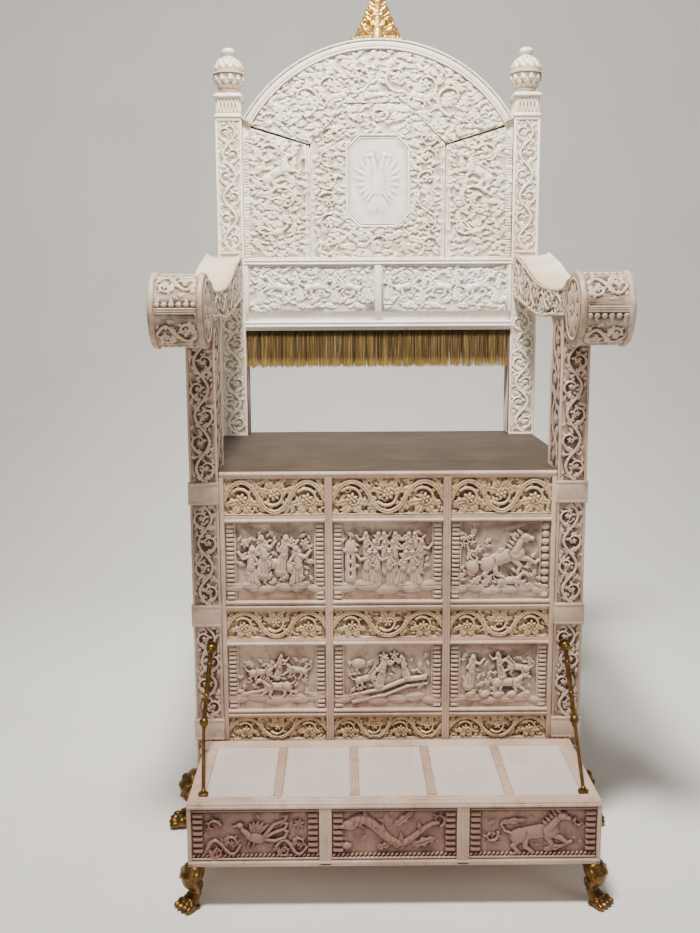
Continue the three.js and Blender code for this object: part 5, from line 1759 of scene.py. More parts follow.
@dataclass
class ThroneBack:
    """The arched back: its board, arch band, side, arch and central panels and the medallion."""

    palette: Palette
    radius: float = 317 * MM
    band: float = 21 * MM
    half: float = 271.7 * MM
    seam: float = 1.5 * MM
    slant_seam: float = 2.2 * MM    # the wider seam under the arch panels
    seam_inner: Point = (137 * MM, 1216.5 * MM)
    seam_slope: float = 0.3
    seam_outer: float = 253 * MM
    crown: Point = (56 * MM, 1296 * MM)
    medallion_half: float = 65 * MM
    medallion_low: float = 1054 * MM
    medallion_high: float = 1238 * MM
    corner: float = 27 * MM
    step: float = 1.5 * MM

    def __post_init__(self) -> None:
        """Takes the back's place from the frame."""
        low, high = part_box("back_board")
        self.face, self.back = low.y, high.y
        self.centre = high.z - self.radius
        self.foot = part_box("centre_panel")[0].z
        self.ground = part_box("centre_panel")[1].y - PLATE
        self.board_foot = low.z

    def build(self) -> None:
        """Builds the back."""
        self.board()
        for side, hand in SIDES.items():
            self.side_panel(side, hand)
            self.arch_panel(side, hand)
        self.centre_panel()
        self.medallion()

    def seam_height(self, x: Array | float) -> Array | float:
        """Gives the height of the sloping seam at a distance across."""
        return self.seam_inner[1] + (x - self.seam_inner[0]) * self.seam_slope

    def board(self) -> None:
        """Builds the board and the moulded band that frames its top, with a plain band behind."""
        work = bmesh.new()
        start = math.acos(self.half / self.radius)
        turns = [start + (math.pi - 2 * start) * i / 72 for i in range(73)]
        rim = [(self.radius * math.cos(turn), self.centre + self.radius * math.sin(turn)) for turn in turns]
        outline = [(-self.half, self.board_foot), (self.half, self.board_foot), *rim]
        front = self.ground + PLATE + 0.3 * MM
        self.slab(work, outline, front, self.back - 2 * MM)
        self.seam_shadows(front)

        def ring(inner: float, outer: float) -> Spread:
            """Spreads a grid along the arch, between two radii."""
            def spread(u: Array, v: Array) -> Pair:
                """Gives each point's distance across and up."""
                turn = math.pi - start - u * (math.pi - 2 * start)
                reach = inner + v * (outer - inner)
                return reach * np.cos(turn), reach * np.sin(turn)

            return spread

        def draw(relief: Relief) -> None:
            """Lays the band's mouldings and its row of small beads."""
            reach = np.hypot(relief.across, relief.up)
            for middle, half, rise in ((self.radius - self.band + 2.2 * MM, 2.2 * MM, 2.6 * MM),
                                       (self.radius - 11.5 * MM, 5.5 * MM, 1.6 * MM)):
                lift = rise * np.sqrt(np.clip(1 - ((reach - middle) / half) ** 2, 0, 1))
                relief.height = np.maximum(relief.height, lift)
            for i in range(150):
                turn = start + (math.pi - 2 * start) * (i + 0.5) / 150
                place = self.radius - 2.9 * MM
                relief.dome(place * math.cos(turn), place * math.sin(turn), 2.7 * MM, 2.0 * MM, 2.8 * MM,
                            turn + 0.5)

        length = int(self.radius * (math.pi - 2 * start) / (1.3 * MM))
        front_face = Face(Vector((0, self.face + 2.8 * MM, self.centre)), X_AXIS, Z_AXIS, -Y_AXIS)
        carve(work, front_face, ring(self.radius - self.band, self.radius), length, 18, draw, 9 * MM)
        rear_face = Face(Vector((0, self.back - 2 * MM, self.centre)), X_AXIS, Z_AXIS, Y_AXIS)

        def plain(relief: Relief) -> None:
            """Lays one broad round moulding."""
            reach = np.hypot(relief.across, relief.up)
            middle = self.radius - self.band / 2
            relief.height = 2 * MM * np.sqrt(np.clip(1 - ((reach - middle) / (self.band / 2)) ** 2, 0, 1))

        carve(work, rear_face, ring(self.radius - self.band, self.radius), 90, 8, plain, 2 * MM)
        for x in (-self.half + 8 * MM, -0.09, 0.09, self.half - 8 * MM):
            top = self.centre + math.sqrt((self.radius - self.band) ** 2 - x * x)
            place = x, self.back - 2.2 * MM
            moulding(work, (*place, self.board_foot + 5 * MM), (*place, top), Y_AXIS,
                     bead(6 * MM, 2.2 * MM, MM))
        finish_piece("back_board_moulded", work, self.palette.ivory, ["back_board"])

    def seam_shadows(self, front: float) -> None:
        """Lays strips of dark wood behind the slanting seams and the one over the crown, as painted shade in
        the seams.
        """
        reach, thick = 3.5 * MM, 0.25 * MM
        work = bmesh.new()
        for hand in SIDES.values():
            inner, outer = self.seam_inner[0] - 4 * MM, self.seam_outer + 2 * MM
            ends = [(inner, -reach), (outer, -reach), (outer, reach), (inner, reach)]
            outline = [(hand * x, self.seam_height(x) + away) for x, away in ends]
            self.slab(work, outline[::hand], front - thick, front + MM)
        half, top = self.crown
        outline = [(-half, top - reach), (half, top - reach), (half, top + reach), (-half, top + reach)]
        self.slab(work, outline, front - thick, front + MM)
        finish_piece("seam_shade_strips", work, self.palette.wood)

    def slab(self, work: Mesh, outline: Sequence[Point], front: float, back: float) -> None:
        """Adds an upright slab of the given outline between two distances back."""
        extruded(work, [(x, front, z) for x, z in outline], (0, back - front, 0))

    def side_panel(self, side: str, hand: int) -> None:
        """Builds the upright panel beside a post, with birds in scrolls and a border of bars."""
        start, end = self.seam_inner[0] + self.seam, self.half - 1 * MM
        limit = self.radius - self.band - 1 * MM

        def top(x: Array) -> Array:
            """Gives the panel's upper edge: the seam, then the arch band."""
            arc = self.centre + np.sqrt(np.clip(limit**2 - x**2, 0, None))
            return np.minimum(self.seam_height(x) - self.slant_seam, arc)

        def draw(relief: Relief) -> None:
            """Lays the borders and the carving."""
            middle = (start + end) / 2 - 3 * MM
            relief.strip(start + 3 * MM, 1.6 * MM, 2.4 * MM)
            relief.strip(start + 7 * MM, 1.4 * MM, 2.0 * MM)
            relief.bars(end - 6.5 * MM, self.foot + 4 * MM, self.seam_inner[1] + 22 * MM, 5.4 * MM, 44,
                        2.6 * MM)
            relief.bird(middle, self.foot + 0.055, 0.085, RELIEF * 0.95, hand)
            relief.curl(middle - 0.012, self.foot + 0.118, 0.03, 0.5, 5.0, 7 * MM, RELIEF * 0.9)
            relief.rosette(middle - 0.012, self.foot + 0.118, 0.012, RELIEF)
            relief.beast(middle + 0.002, self.foot + 0.17, 0.085, RELIEF * 0.95, -1, 0.5)
            relief.curl(middle + 0.02, self.foot + 0.205, 0.024, 2.6, -5.0, 6 * MM, RELIEF * 0.85)
            for i in range(7):
                z = self.foot + 0.02 + 0.031 * i
                turn = 0.6 + 1.1 * (i % 2)
                relief.leaf(middle + (-1) ** i * 0.03, z, 0.03, 0.012, RELIEF * 0.8, turn, 3)
            relief.thicket(420, 17 * MM, RELIEF * 0.75, 10 * MM, 0.7)
            relief.fillet(self.foot + 2 * MM, 2 * MM, 2.4 * MM)

        spread = between(lambda a: np.full_like(a, self.foot), top, start, end)
        self.panel(f"back_side_panel_{side}", hand, spread, (end - start, 0.26), draw)

    def panel(self, node: str, hand: int, spread: Spread, size: Point, draw: Draw) -> None:
        """Builds one panel of the back in place of its frame node."""
        work = bmesh.new()
        face = Face(Vector((0, self.ground, 0)), X_AXIS * hand, Z_AXIS, -Y_AXIS)
        carve(work, face, spread, round(size[0] / self.step), round(size[1] / self.step), draw, PLATE,
              seed=50 + hand)
        finish_piece(node + "_carved", work, self.palette.ivory, [node])

    def arch_panel(self, side: str, hand: int) -> None:
        """Builds the curved panel over the sloping seam, with great leafy scrolls."""
        limit = self.radius - self.band - 1 * MM
        inner = [(self.seam_outer, self.seam_height(self.seam_outer) + self.slant_seam),
                 (self.seam_inner[0] + 1 * MM, self.seam_inner[1] + self.slant_seam),
                 (self.crown[0], self.crown[1] + self.seam), (0.0, self.crown[1] + self.seam)]
        radius_at = line_by_angle(inner, (0, self.centre))
        start = math.acos(self.seam_outer / limit)
        end = math.pi / 2 - 0.2 * MM / limit

        def spread(u: Array, v: Array) -> Pair:
            """Spreads the grid round the arch."""
            turn = start + u * (end - start)
            low = radius_at(turn)
            reach = low + v * (limit - low)
            return reach * np.cos(turn), self.centre + reach * np.sin(turn)

        def draw(relief: Relief) -> None:
            """Lays the scrolls."""
            scrolls = ((0.74, 0.262, 0.02), (0.94, 0.25, 0.034), (1.18, 0.246, 0.034), (1.41, 0.246, 0.03))
            for i, (turn, reach, size) in enumerate(scrolls):
                x, z = reach * math.cos(turn), self.centre + reach * math.sin(turn)
                relief.curl(x, z, size, turn + 2.6 * (-1) ** i, 5.4 * (-1) ** i, size * 0.22, RELIEF)
                relief.rosette(x, z, size * 0.38, RELIEF * 1.05)
                relief.leaf(x + size, z - size * 0.8, size, size * 0.44, RELIEF * 0.85, turn - 1.4, 3)
            relief.beast(0.085, self.centre + 0.205, 0.06, RELIEF * 0.9, 1, -0.3)
            relief.bird(0.165, self.centre + 0.16, 0.06, RELIEF * 0.9, -1)
            relief.thicket(900, 18 * MM, RELIEF * 0.75, 2 * MM, 0.7)

        self.panel(f"arch_panel_{side}", hand, spread, (0.3, 0.12), draw)

    def octagon(self, inset: float) -> list[Point]:
        """Gives the medallion's corners against the clock, moved inwards."""
        w, c = self.medallion_half - inset, self.corner - inset * 0.6
        low, high = self.medallion_low + inset, self.medallion_high - inset
        return [(w, low + c), (w, high - c), (w - c, high), (c - w, high), (-w, high - c), (-w, low + c),
                (c - w, low), (w - c, low)]

    def centre_panel(self) -> None:
        """Builds the central panel: close foliage round the opening of the medallion."""
        middle = (0.0, (self.medallion_low + self.medallion_high) / 2)
        half = self.seam_inner[0] - self.seam
        outer = [(half, self.foot), (half, self.seam_inner[1]), self.crown, (-self.crown[0], self.crown[1]),
                 (-half, self.seam_inner[1]), (-half, self.foot)]
        inner = self.octagon(0)
        outside = line_by_angle([*outer, outer[0]], middle)
        inside = line_by_angle([*inner, inner[0]], middle)
        columns = 520
        corners = sorted(math.atan2(z - middle[1], x) for x, z in (*outer, *inner))
        marks = [round((turn + math.pi) / (2 * math.pi) * columns) / columns for turn in corners]

        def spread(u: Array, v: Array) -> Pair:
            """Spreads the grid round the medallion, with a line of faces through each corner."""
            turn = np.interp(u, [0, *marks, 1], [-math.pi, *corners, math.pi])
            reach = inside(turn) + v * (outside(turn) - inside(turn))
            return reach * np.cos(turn), middle[1] + reach * np.sin(turn)

        def draw(relief: Relief) -> None:
            """Lays the foliage in rows, and thin fillets at the sides."""
            for hand in SIDES.values():
                for i, z in enumerate((1.018, 1.062, 1.106, 1.15, 1.194, 1.232)):
                    x = hand * (0.1 if i else 0.104)
                    relief.curl(x, z, 0.021, 1.3 * i, hand * 5.2 * (-1) ** i, 5 * MM, RELIEF * 0.9)
                    relief.rosette(x, z, 0.009, RELIEF, 5)
                for x, z, turn in ((0.03, 1.262, 0.4), (0.04, 1.284, 0.0), (0.07, 1.255, -0.5),
                                   (0.02, 1.03, 0.5), (0.045, 1.012, 0.2), (0.064, 1.035, -0.4)):
                    relief.leaf(hand * x, z, 0.036, 0.014, RELIEF * 0.9, mirrored(turn, hand), 3)
                relief.strip(hand * (half - 2.4 * MM), 1.8 * MM, 2.4 * MM)
                relief.strip(hand * (half - 6.6 * MM), 1.4 * MM, 2.0 * MM)
            relief.curl(0, 1.27, 0.018, 0, 5.6, 5 * MM, RELIEF * 0.9)
            relief.curl(0, 1.022, 0.02, 0, 5.6, 5 * MM, RELIEF * 0.9)
            relief.thicket(1300, 16 * MM, RELIEF * 0.7, 3 * MM, 0.8)
            relief.fillet(self.foot + 2 * MM, 2 * MM, 2.4 * MM)

        work = bmesh.new()
        face = Face(Vector((0, self.ground, 0)), X_AXIS, Z_AXIS, -Y_AXIS)
        carve(work, face, spread, columns, 56, draw, PLATE, closed=True, seed=77)
        finish_piece("centre_panel_carved", work, self.palette.ivory, ["centre_panel"])

    def medallion(self) -> None:
        """Builds the bright medallion: a thin double rim round a two-headed bird in low relief."""
        half, low, high = self.medallion_half - 0.3 * MM, self.medallion_low, self.medallion_high

        def cut(a: Array) -> Array:
            """Gives how much the corners take off at a distance across."""
            return np.clip(np.abs(a) - (half - self.corner), 0, self.corner)

        spread = between(lambda a: low + cut(a), lambda a: high - cut(a), -half, half)

        def draw(relief: Relief) -> None:
            """Lays the rims and the bird."""
            for inset, width, rise in ((2.6 * MM, 5 * MM, 2.5 * MM), (8 * MM, 2.4 * MM, 1.3 * MM)):
                edge = self.octagon(inset)
                relief.stem([*edge, edge[0]], width, width, rise)
            rise, z = 2.4 * MM, (low + high) / 2
            for hand in SIDES.values():
                for i in range(7):
                    relief.leaf(hand * 10 * MM, z + (12 - 4 * i) * MM, (46 - 2 * i) * MM, 10 * MM, rise * 0.8,
                                mirrored(1.2 - 0.34 * i, hand))
                neck = [(hand * out * MM, z + up * MM) for out, up in ((3, 16), (9, 36), (12, 48))]
                relief.stem(neck, 13 * MM, 8 * MM, rise)
                relief.dome(hand * 14 * MM, z + 50 * MM, 7 * MM, 5.5 * MM, rise * 1.1)
                relief.leaf(hand * 18 * MM, z + 50 * MM, 11 * MM, 5 * MM, rise, mirrored(-0.3, hand))
                for i in range(3):
                    turn = -1.57 + hand * 0.22 * (i + 0.4)
                    relief.leaf(hand * 3 * MM, z - 28 * MM, 40 * MM, 10 * MM, rise * 0.8, turn)
                claw = [(hand * 8 * MM, z - 20 * MM), (hand * 22 * MM, z - 40 * MM)]
                relief.stem(claw, 7 * MM, 4 * MM, rise * 0.8)
            relief.dome(0, z - 4 * MM, 15 * MM, 28 * MM, rise * 1.15)
            relief.height *= 0.85

        work = bmesh.new()
        face = Face(Vector((0, self.ground, 0)), X_AXIS, Z_AXIS, -Y_AXIS)
        carve(work, face, spread, 100, 140, draw, PLATE)
        finish_piece("medallion_carved", work, self.palette.pale, ["medallion"])


def hunt(relief: Relief, hand: int) -> None:
    """Lays beasts, riders and foliage along a rail panel, over its plain ground."""
    w, h = relief.width, relief.tall
    for x, facing, tilt, long in ((-0.3, 1, 0.15, 0.24), (-0.04, -1, 0.05, 0.26), (0.26, 1, 0.2, 0.27)):
        relief.beast(hand * w * x, h * 0.02, w * long, RELIEF * 0.95, hand * facing, tilt)
    for x, z, lean in ((-0.17, -0.24, 0.1), (0.11, -0.22, -0.1), (0.42, -0.26, 0.1), (-0.43, -0.2, -0.1)):
        relief.person(hand * w * x, h * z, h * 0.56, RELIEF * 0.95, lean, hand)
    for i in range(9):
        relief.leaf(w * (-0.45 + 0.11 * i), -h * (0.33 + 0.03 * (i % 2)), w * 0.1, h * 0.12, RELIEF * 0.8,
                    0.4 * (-1) ** i + 0.2, 3)
        relief.leaf(w * (-0.42 + 0.105 * i), h * (0.3 + 0.05 * (i % 3)), w * 0.08, h * 0.09, RELIEF * 0.7,
                    0.5 * (-1) ** i, 2)
    relief.thicket(260, 15 * MM, RELIEF * 0.7, 6 * MM, 0.7)
    relief.fillet(h / 2 - 1.6 * MM, 1.6 * MM, 3 * MM)
    relief.strip(-w / 2 + 1.6 * MM, 1.6 * MM, 2.6 * MM)
    relief.strip(w / 2 - 1.6 * MM, 1.6 * MM, 2.6 * MM)


@dataclass
class Rail:
    """The lower rail of the back with two panels, and the fringe that hangs from it."""

    palette: Palette
    inner: float = 7 * MM
    outer: float = 264.7 * MM
    thread_pitch: float = 1.9 * MM
    bunches: int = 22

    def build(self) -> None:
        """Builds the rail, its panels and the fringe."""
        low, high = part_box("back_rail")
        field_low, field_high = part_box("rail_plaque_right")
        face = low.y + 3 * MM
        work = bmesh.new()
        block(work, (low.x, face + 12 * MM, low.z), high, MM)
        block(work, (low.x, face, field_high.z), (high.x, face + 13 * MM, high.z), 1.4 * MM)
        shelf = field_low.z - low.z
        cove = face + 6 * MM, low.z + 14 * MM
        moulding(work, (high.x, *cove), (low.x, *cove), -Y_AXIS,
                 [(-8 * MM, 0), (6 * MM, 0), (2 * MM, shelf - 14 * MM), (-8 * MM, shelf - 14 * MM)])
        for z, half, rise in ((low.z + 10.5 * MM, 3.4 * MM, 3 * MM), (low.z + 3.6 * MM, 3.6 * MM, 3 * MM)):
            moulding(work, (low.x, face, z), (high.x, face, z), -Y_AXIS,
                     bead(half, rise, 12 * MM))
        for z in (high.z - 2.4 * MM, field_high.z + 2.2 * MM):
            moulding(work, (low.x, face + 0.4 * MM, z), (high.x, face + 0.4 * MM, z), -Y_AXIS,
                     bead(1.9 * MM, 2 * MM, MM))
        for start, end in ((low.x, -self.outer), (-self.inner, self.inner), (self.outer, high.x)):
            block(work, (start, face, field_low.z - MM), (end, face + 13 * MM, field_high.z + MM), 1.2 * MM)
        finish_piece("back_rail_moulded", work, self.palette.pale, ["back_rail"])
        for side, hand in SIDES.items():
            plaque(f"rail_plaque_{side}", lambda relief: hunt(relief, hand), 1.1 * MM, self.palette.pale,
                   60 + hand)
        self.fringe()

    def fringe(self) -> None:
        """Hangs three rows of threads from a woven heading, drawn together in bunches."""
        low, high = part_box("fringe")
        work = bmesh.new()
        shade = work.verts.layers.float.new("shade")
        lit_tip = work.verts.layers.float.new("lit_tip")
        chance = np.random.default_rng(9)
        middle = (low.y + high.y) / 2
        count = int((high.x - low.x) / self.thread_pitch)
        bunch = (high.x - low.x) / self.bunches
        for row in (-1, 0, 1):
            for i in range(count):
                x = low.x + (i + 0.5 + 0.3 * row) * self.thread_pitch
                centre = low.x + (math.floor((x - low.x) / bunch) + 0.5) * bunch
                away = (x - centre) / bunch
                # darker towards the edge of a bunch, as painted shade between the bunches; the random part is
                # each thread's own tone
                tone = 0.55 - 0.9 * abs(away) ** 1.5 + chance.uniform(-0.4, 0.4)
                foot = low.z + chance.uniform(0, 6 * MM) + abs(away) * 3 * MM
                points = []
                for share in (0.0, 0.3, 0.6, 0.85, 1.0):
                    pull = -0.05 * share * (x - centre)
                    points.append(Vector((
                        min(max(x + pull + chance.uniform(-0.5, 0.5) * MM, low.x), high.x),
                        middle + row * 2.6 * MM + 1.0 * MM * math.cos(math.pi * away) * -share
                        + chance.uniform(-0.3, 0.3) * MM,
                        high.z - 4 * MM - share * (high.z - 4 * MM - foot))))
                before = len(work.verts)
                tube(work, points, [0.9 * MM, 1.1 * MM, 1.15 * MM, 1.1 * MM, 0.5 * MM], 4)
                work.verts.ensure_lookup_table()
                for vert in work.verts[before:]:
                    vert[shade] = float(np.clip(tone, 0, 1))
                    # how far down the thread a point lies, for the painted light on the tips
                    vert[lit_tip] = (high.z - vert.co.z) / (high.z - low.z)
        for z in (high.z - 3 * MM, high.z - 8 * MM):
            for i in range(count // 2):
                x = low.x + (i + 0.5) * 2 * self.thread_pitch
                before = len(work.verts)
                ball(work, (x, middle, z), (2.3 * MM, 4.2 * MM, 2.4 * MM), 1)
                work.verts.ensure_lookup_table()
                for vert in work.verts[before:]:
                    vert[shade] = 0.12 + 0.3 * (i % 2)
        finish_piece("gold_fringe", work, self.palette.thread, ["fringe"], kept=1)


@dataclass(frozen=True)
class ArmSkin:
    """The skin of an arm: across is the distance back, and up runs round its four sides."""

    inner: float
    outer: float
    top: Line
    under: Line
    turn: float             # the length given to one side
    dish: float

    def at(self, a: Array, b: Array, height: Array) -> Array:
        """Places points of the arm's skin.

        Args:
            a: distances from front to back.
            b: distances round: the top, the outer side, the underside and the inner side.
            height: how far each point stands out.

        Returns:
            One row of x, y, z for each point.
        """
        side = np.minimum((b / self.turn).astype(int), 3)
        share = b / self.turn - side
        hand = 1.0 if self.outer > self.inner else -1.0
        high, low = self.top(a), self.under(a)
        lip = np.clip((0.5 - np.abs(share - 0.5)) / 0.12, 0, 1)
        hollow = self.dish * lip * (0.35 + 0.65 * np.sin(math.pi * share))
        x = np.choose(side, [self.inner + share * (self.outer - self.inner), self.outer + hand * height,
                             self.outer + share * (self.inner - self.outer), self.inner - hand * height])
        z = np.choose(side, [high - hollow + height, high + share * (low - high), low - height,
                             low + share * (high - low)])
        return np.stack([x, a, z], axis=1)


@dataclass
class Arms:
    """The curved arms and the rolls at their ends."""

    palette: Palette
    dish: float = 7 * MM
    roll_radius: float = 57.5 * MM
    roll_length: float = 82 * MM
    # in millimetres: distance back from the front posts' faces, and height
    top_line: tuple[Point, ...] = ((-38, 938), (0, 927.5), (45, 925), (136, 929), (215, 938.5), (289, 955),
                                   (371, 979), (477.7, 1003))
    # a roll's rim: how far inside its radius and how far along it, in millimetres
    rim: tuple[Point, ...] = ((9, 0), (7, 0.6), (2, 0.2), (0, 2.2), (0, 8), (1.4, 9.6), (4.2, 10.4))
    under_line: tuple[Point, ...] = ((88, 880.6), (100, 880.6), (160, 877), (241, 881), (360, 897),
                                     (477.7, 914))

    def build(self) -> None:
        """Builds both arms and both rolls."""
        for side, hand in SIDES.items():
            self.arm(side, hand)
            self.roll(side, hand)

    def heights(self, line: Sequence[Point]) -> Line:
        """Turns a line in millimetres into a height for each distance back, in the frame."""
        points = np.array(smooth_line(line, 8)) * MM
        return lambda y: np.interp(y, points[:, 0] + post_face("right"), points[:, 1])

    def arm(self, side: str, hand: int) -> None:
        """Builds one arm."""
        low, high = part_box(f"arm_{side}")
        inner, outer = (low.x, high.x) if hand > 0 else (high.x, low.x)
        roll_low, roll_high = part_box(f"roll_{side}")
        centre = (roll_low.y + roll_high.y) / 2, (roll_low.z + roll_high.z) / 2
        reach = self.roll_radius + 0.3 * MM
        flat = self.heights(self.under_line)

        def under(y: Array) -> Array:
            """Gives the underside, which follows the roll at the front."""
            seat = centre[1] + np.sqrt(np.clip(reach**2 - (y - centre[0]) ** 2, 0, None))
            return np.maximum(flat(y), seat - (y > centre[0] + reach) * 1.0)

        turn = 55 * MM
        skin = ArmSkin(inner, outer, self.heights(self.top_line), under, turn, self.dish)
        length = high.y - low.y

        def spread(u: Array, v: Array) -> Pair:
            """Spreads the grid along the arm and round it."""
            return low.y + u * length, v * 4 * turn * (1 - 1e-9)

        def draw(relief: Relief) -> None:
            """Carves the inner and the outer side, with plain edges."""
            share = (relief.up / turn) % 2
            flanks = (share > 1.06) & (share < 1.94)
            for start in (turn, 3 * turn):
                level = start + turn / 2
                relief.vine((low.y + 50 * MM, level), (high.y - 4 * MM, level), turn * 0.42, 7, 2.6 * MM, 1.2)
            relief.thicket(1100, 13 * MM, 2.0 * MM, 2 * MM, 0.9)
            relief.height[~flanks] = 0
            for start in (turn, 3 * turn):
                relief.fillet(start + 0.05 * turn, 0.05 * turn, 1.6 * MM)
                relief.fillet(start + 0.95 * turn, 0.05 * turn, 1.6 * MM)
            relief.clean = share < 1

        work = bmesh.new()
        carve(work, skin, spread, 330, 132, draw, closed=True, seed=5)
        bmesh.ops.holes_fill(work, edges=[edge for edge in work.edges if edge.is_boundary], sides=0)
        finish_piece(f"arm_{side}_carved", work, self.palette.arm, [f"arm_{side}"], 1.0, 0.4)

    def roll(self, side: str, hand: int) -> None:
        """Builds one roll: rims, a drum of ribs and scallops, and a volute on each end."""
        low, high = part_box(f"roll_{side}")
        inner = low.x if hand > 0 else high.x
        radius, long = self.roll_radius, self.roll_length
        rim = [(radius - sunk * MM, along * MM) for sunk, along in self.rim]
        outline = ((0, 0), *rim, *[(reach, long - along) for reach, along in reversed(rim)], (0, long))
        centre = Vector((inner, (low.y + high.y) / 2, (low.z + high.z) / 2))
        surface = Turned(centre, X_AXIS * hand, Y_AXIS, outline, radius)
        total = surface.length()
        drum = (radius + 10 * MM, total - radius - 10 * MM)

        def draw(relief: Relief) -> None:
            """Lays the ribs, leafy panels and scallops of the drum, and a flower on each end."""
            girth = 2 * math.pi * radius
            middle, length = (drum[0] + drum[1]) / 2, drum[1] - drum[0]
            bands = 4
            for i in range(bands):
                edge = girth * i / bands
                for shift in (-3.4 * MM, 0.0, 3.4 * MM):
                    relief.pad(edge + shift, middle, length / 2, 1.5 * MM, 1.9 * MM, math.pi / 2)
                start = edge + 7 * MM
                for j in range(6):
                    along = drum[0] + (j + 0.5) * length / 6
                    relief.dome(start + 3 * MM, along, 4.4 * MM, 4.6 * MM, 2.4 * MM)
                panel = edge + girth / bands / 2 + 5 * MM
                relief.vine((panel, drum[0] + 2 * MM), (panel, drum[1] - 2 * MM), girth / bands * 0.27, 2,
                            2.4 * MM, 1.3)
            relief.thicket(500, 11 * MM, 1.7 * MM, 0, 1.2)
            relief.height[(relief.up < drum[0]) | (relief.up > drum[1])] = 0
            turn = relief.across / radius
            for start in (0.0, total):
                reach = np.abs(relief.up - start)
                petals = np.abs(np.cos(turn * 5))
                flower = np.clip(1 - ((reach / radius - 0.42) / (0.12 + 0.2 * petals)) ** 2, 0, 1) ** ROUND
                button = np.clip(1 - (reach / (9 * MM)) ** 2, 0, 1) ** ROUND
                ring = np.clip(1 - ((reach - radius * 0.8) / (2.4 * MM)) ** 2, 0, 1) ** ROUND
                lift = np.maximum(1.9 * MM * flower, np.maximum(2.6 * MM * button, 1.6 * MM * ring))
                face = reach < radius * 0.87
                relief.height[face] = lift[face]

        def spread(u: Array, v: Array) -> Pair:
            """Spreads the grid round the roll and along its outline."""
            return u * 2 * math.pi * radius, v * total

        work = bmesh.new()
        carve(work, surface, spread, 260, 150, draw, closed=True, seed=6)
        finish_piece(f"roll_{side}_carved", work, self.palette.roll, [f"roll_{side}"], 1.1, 0.45)


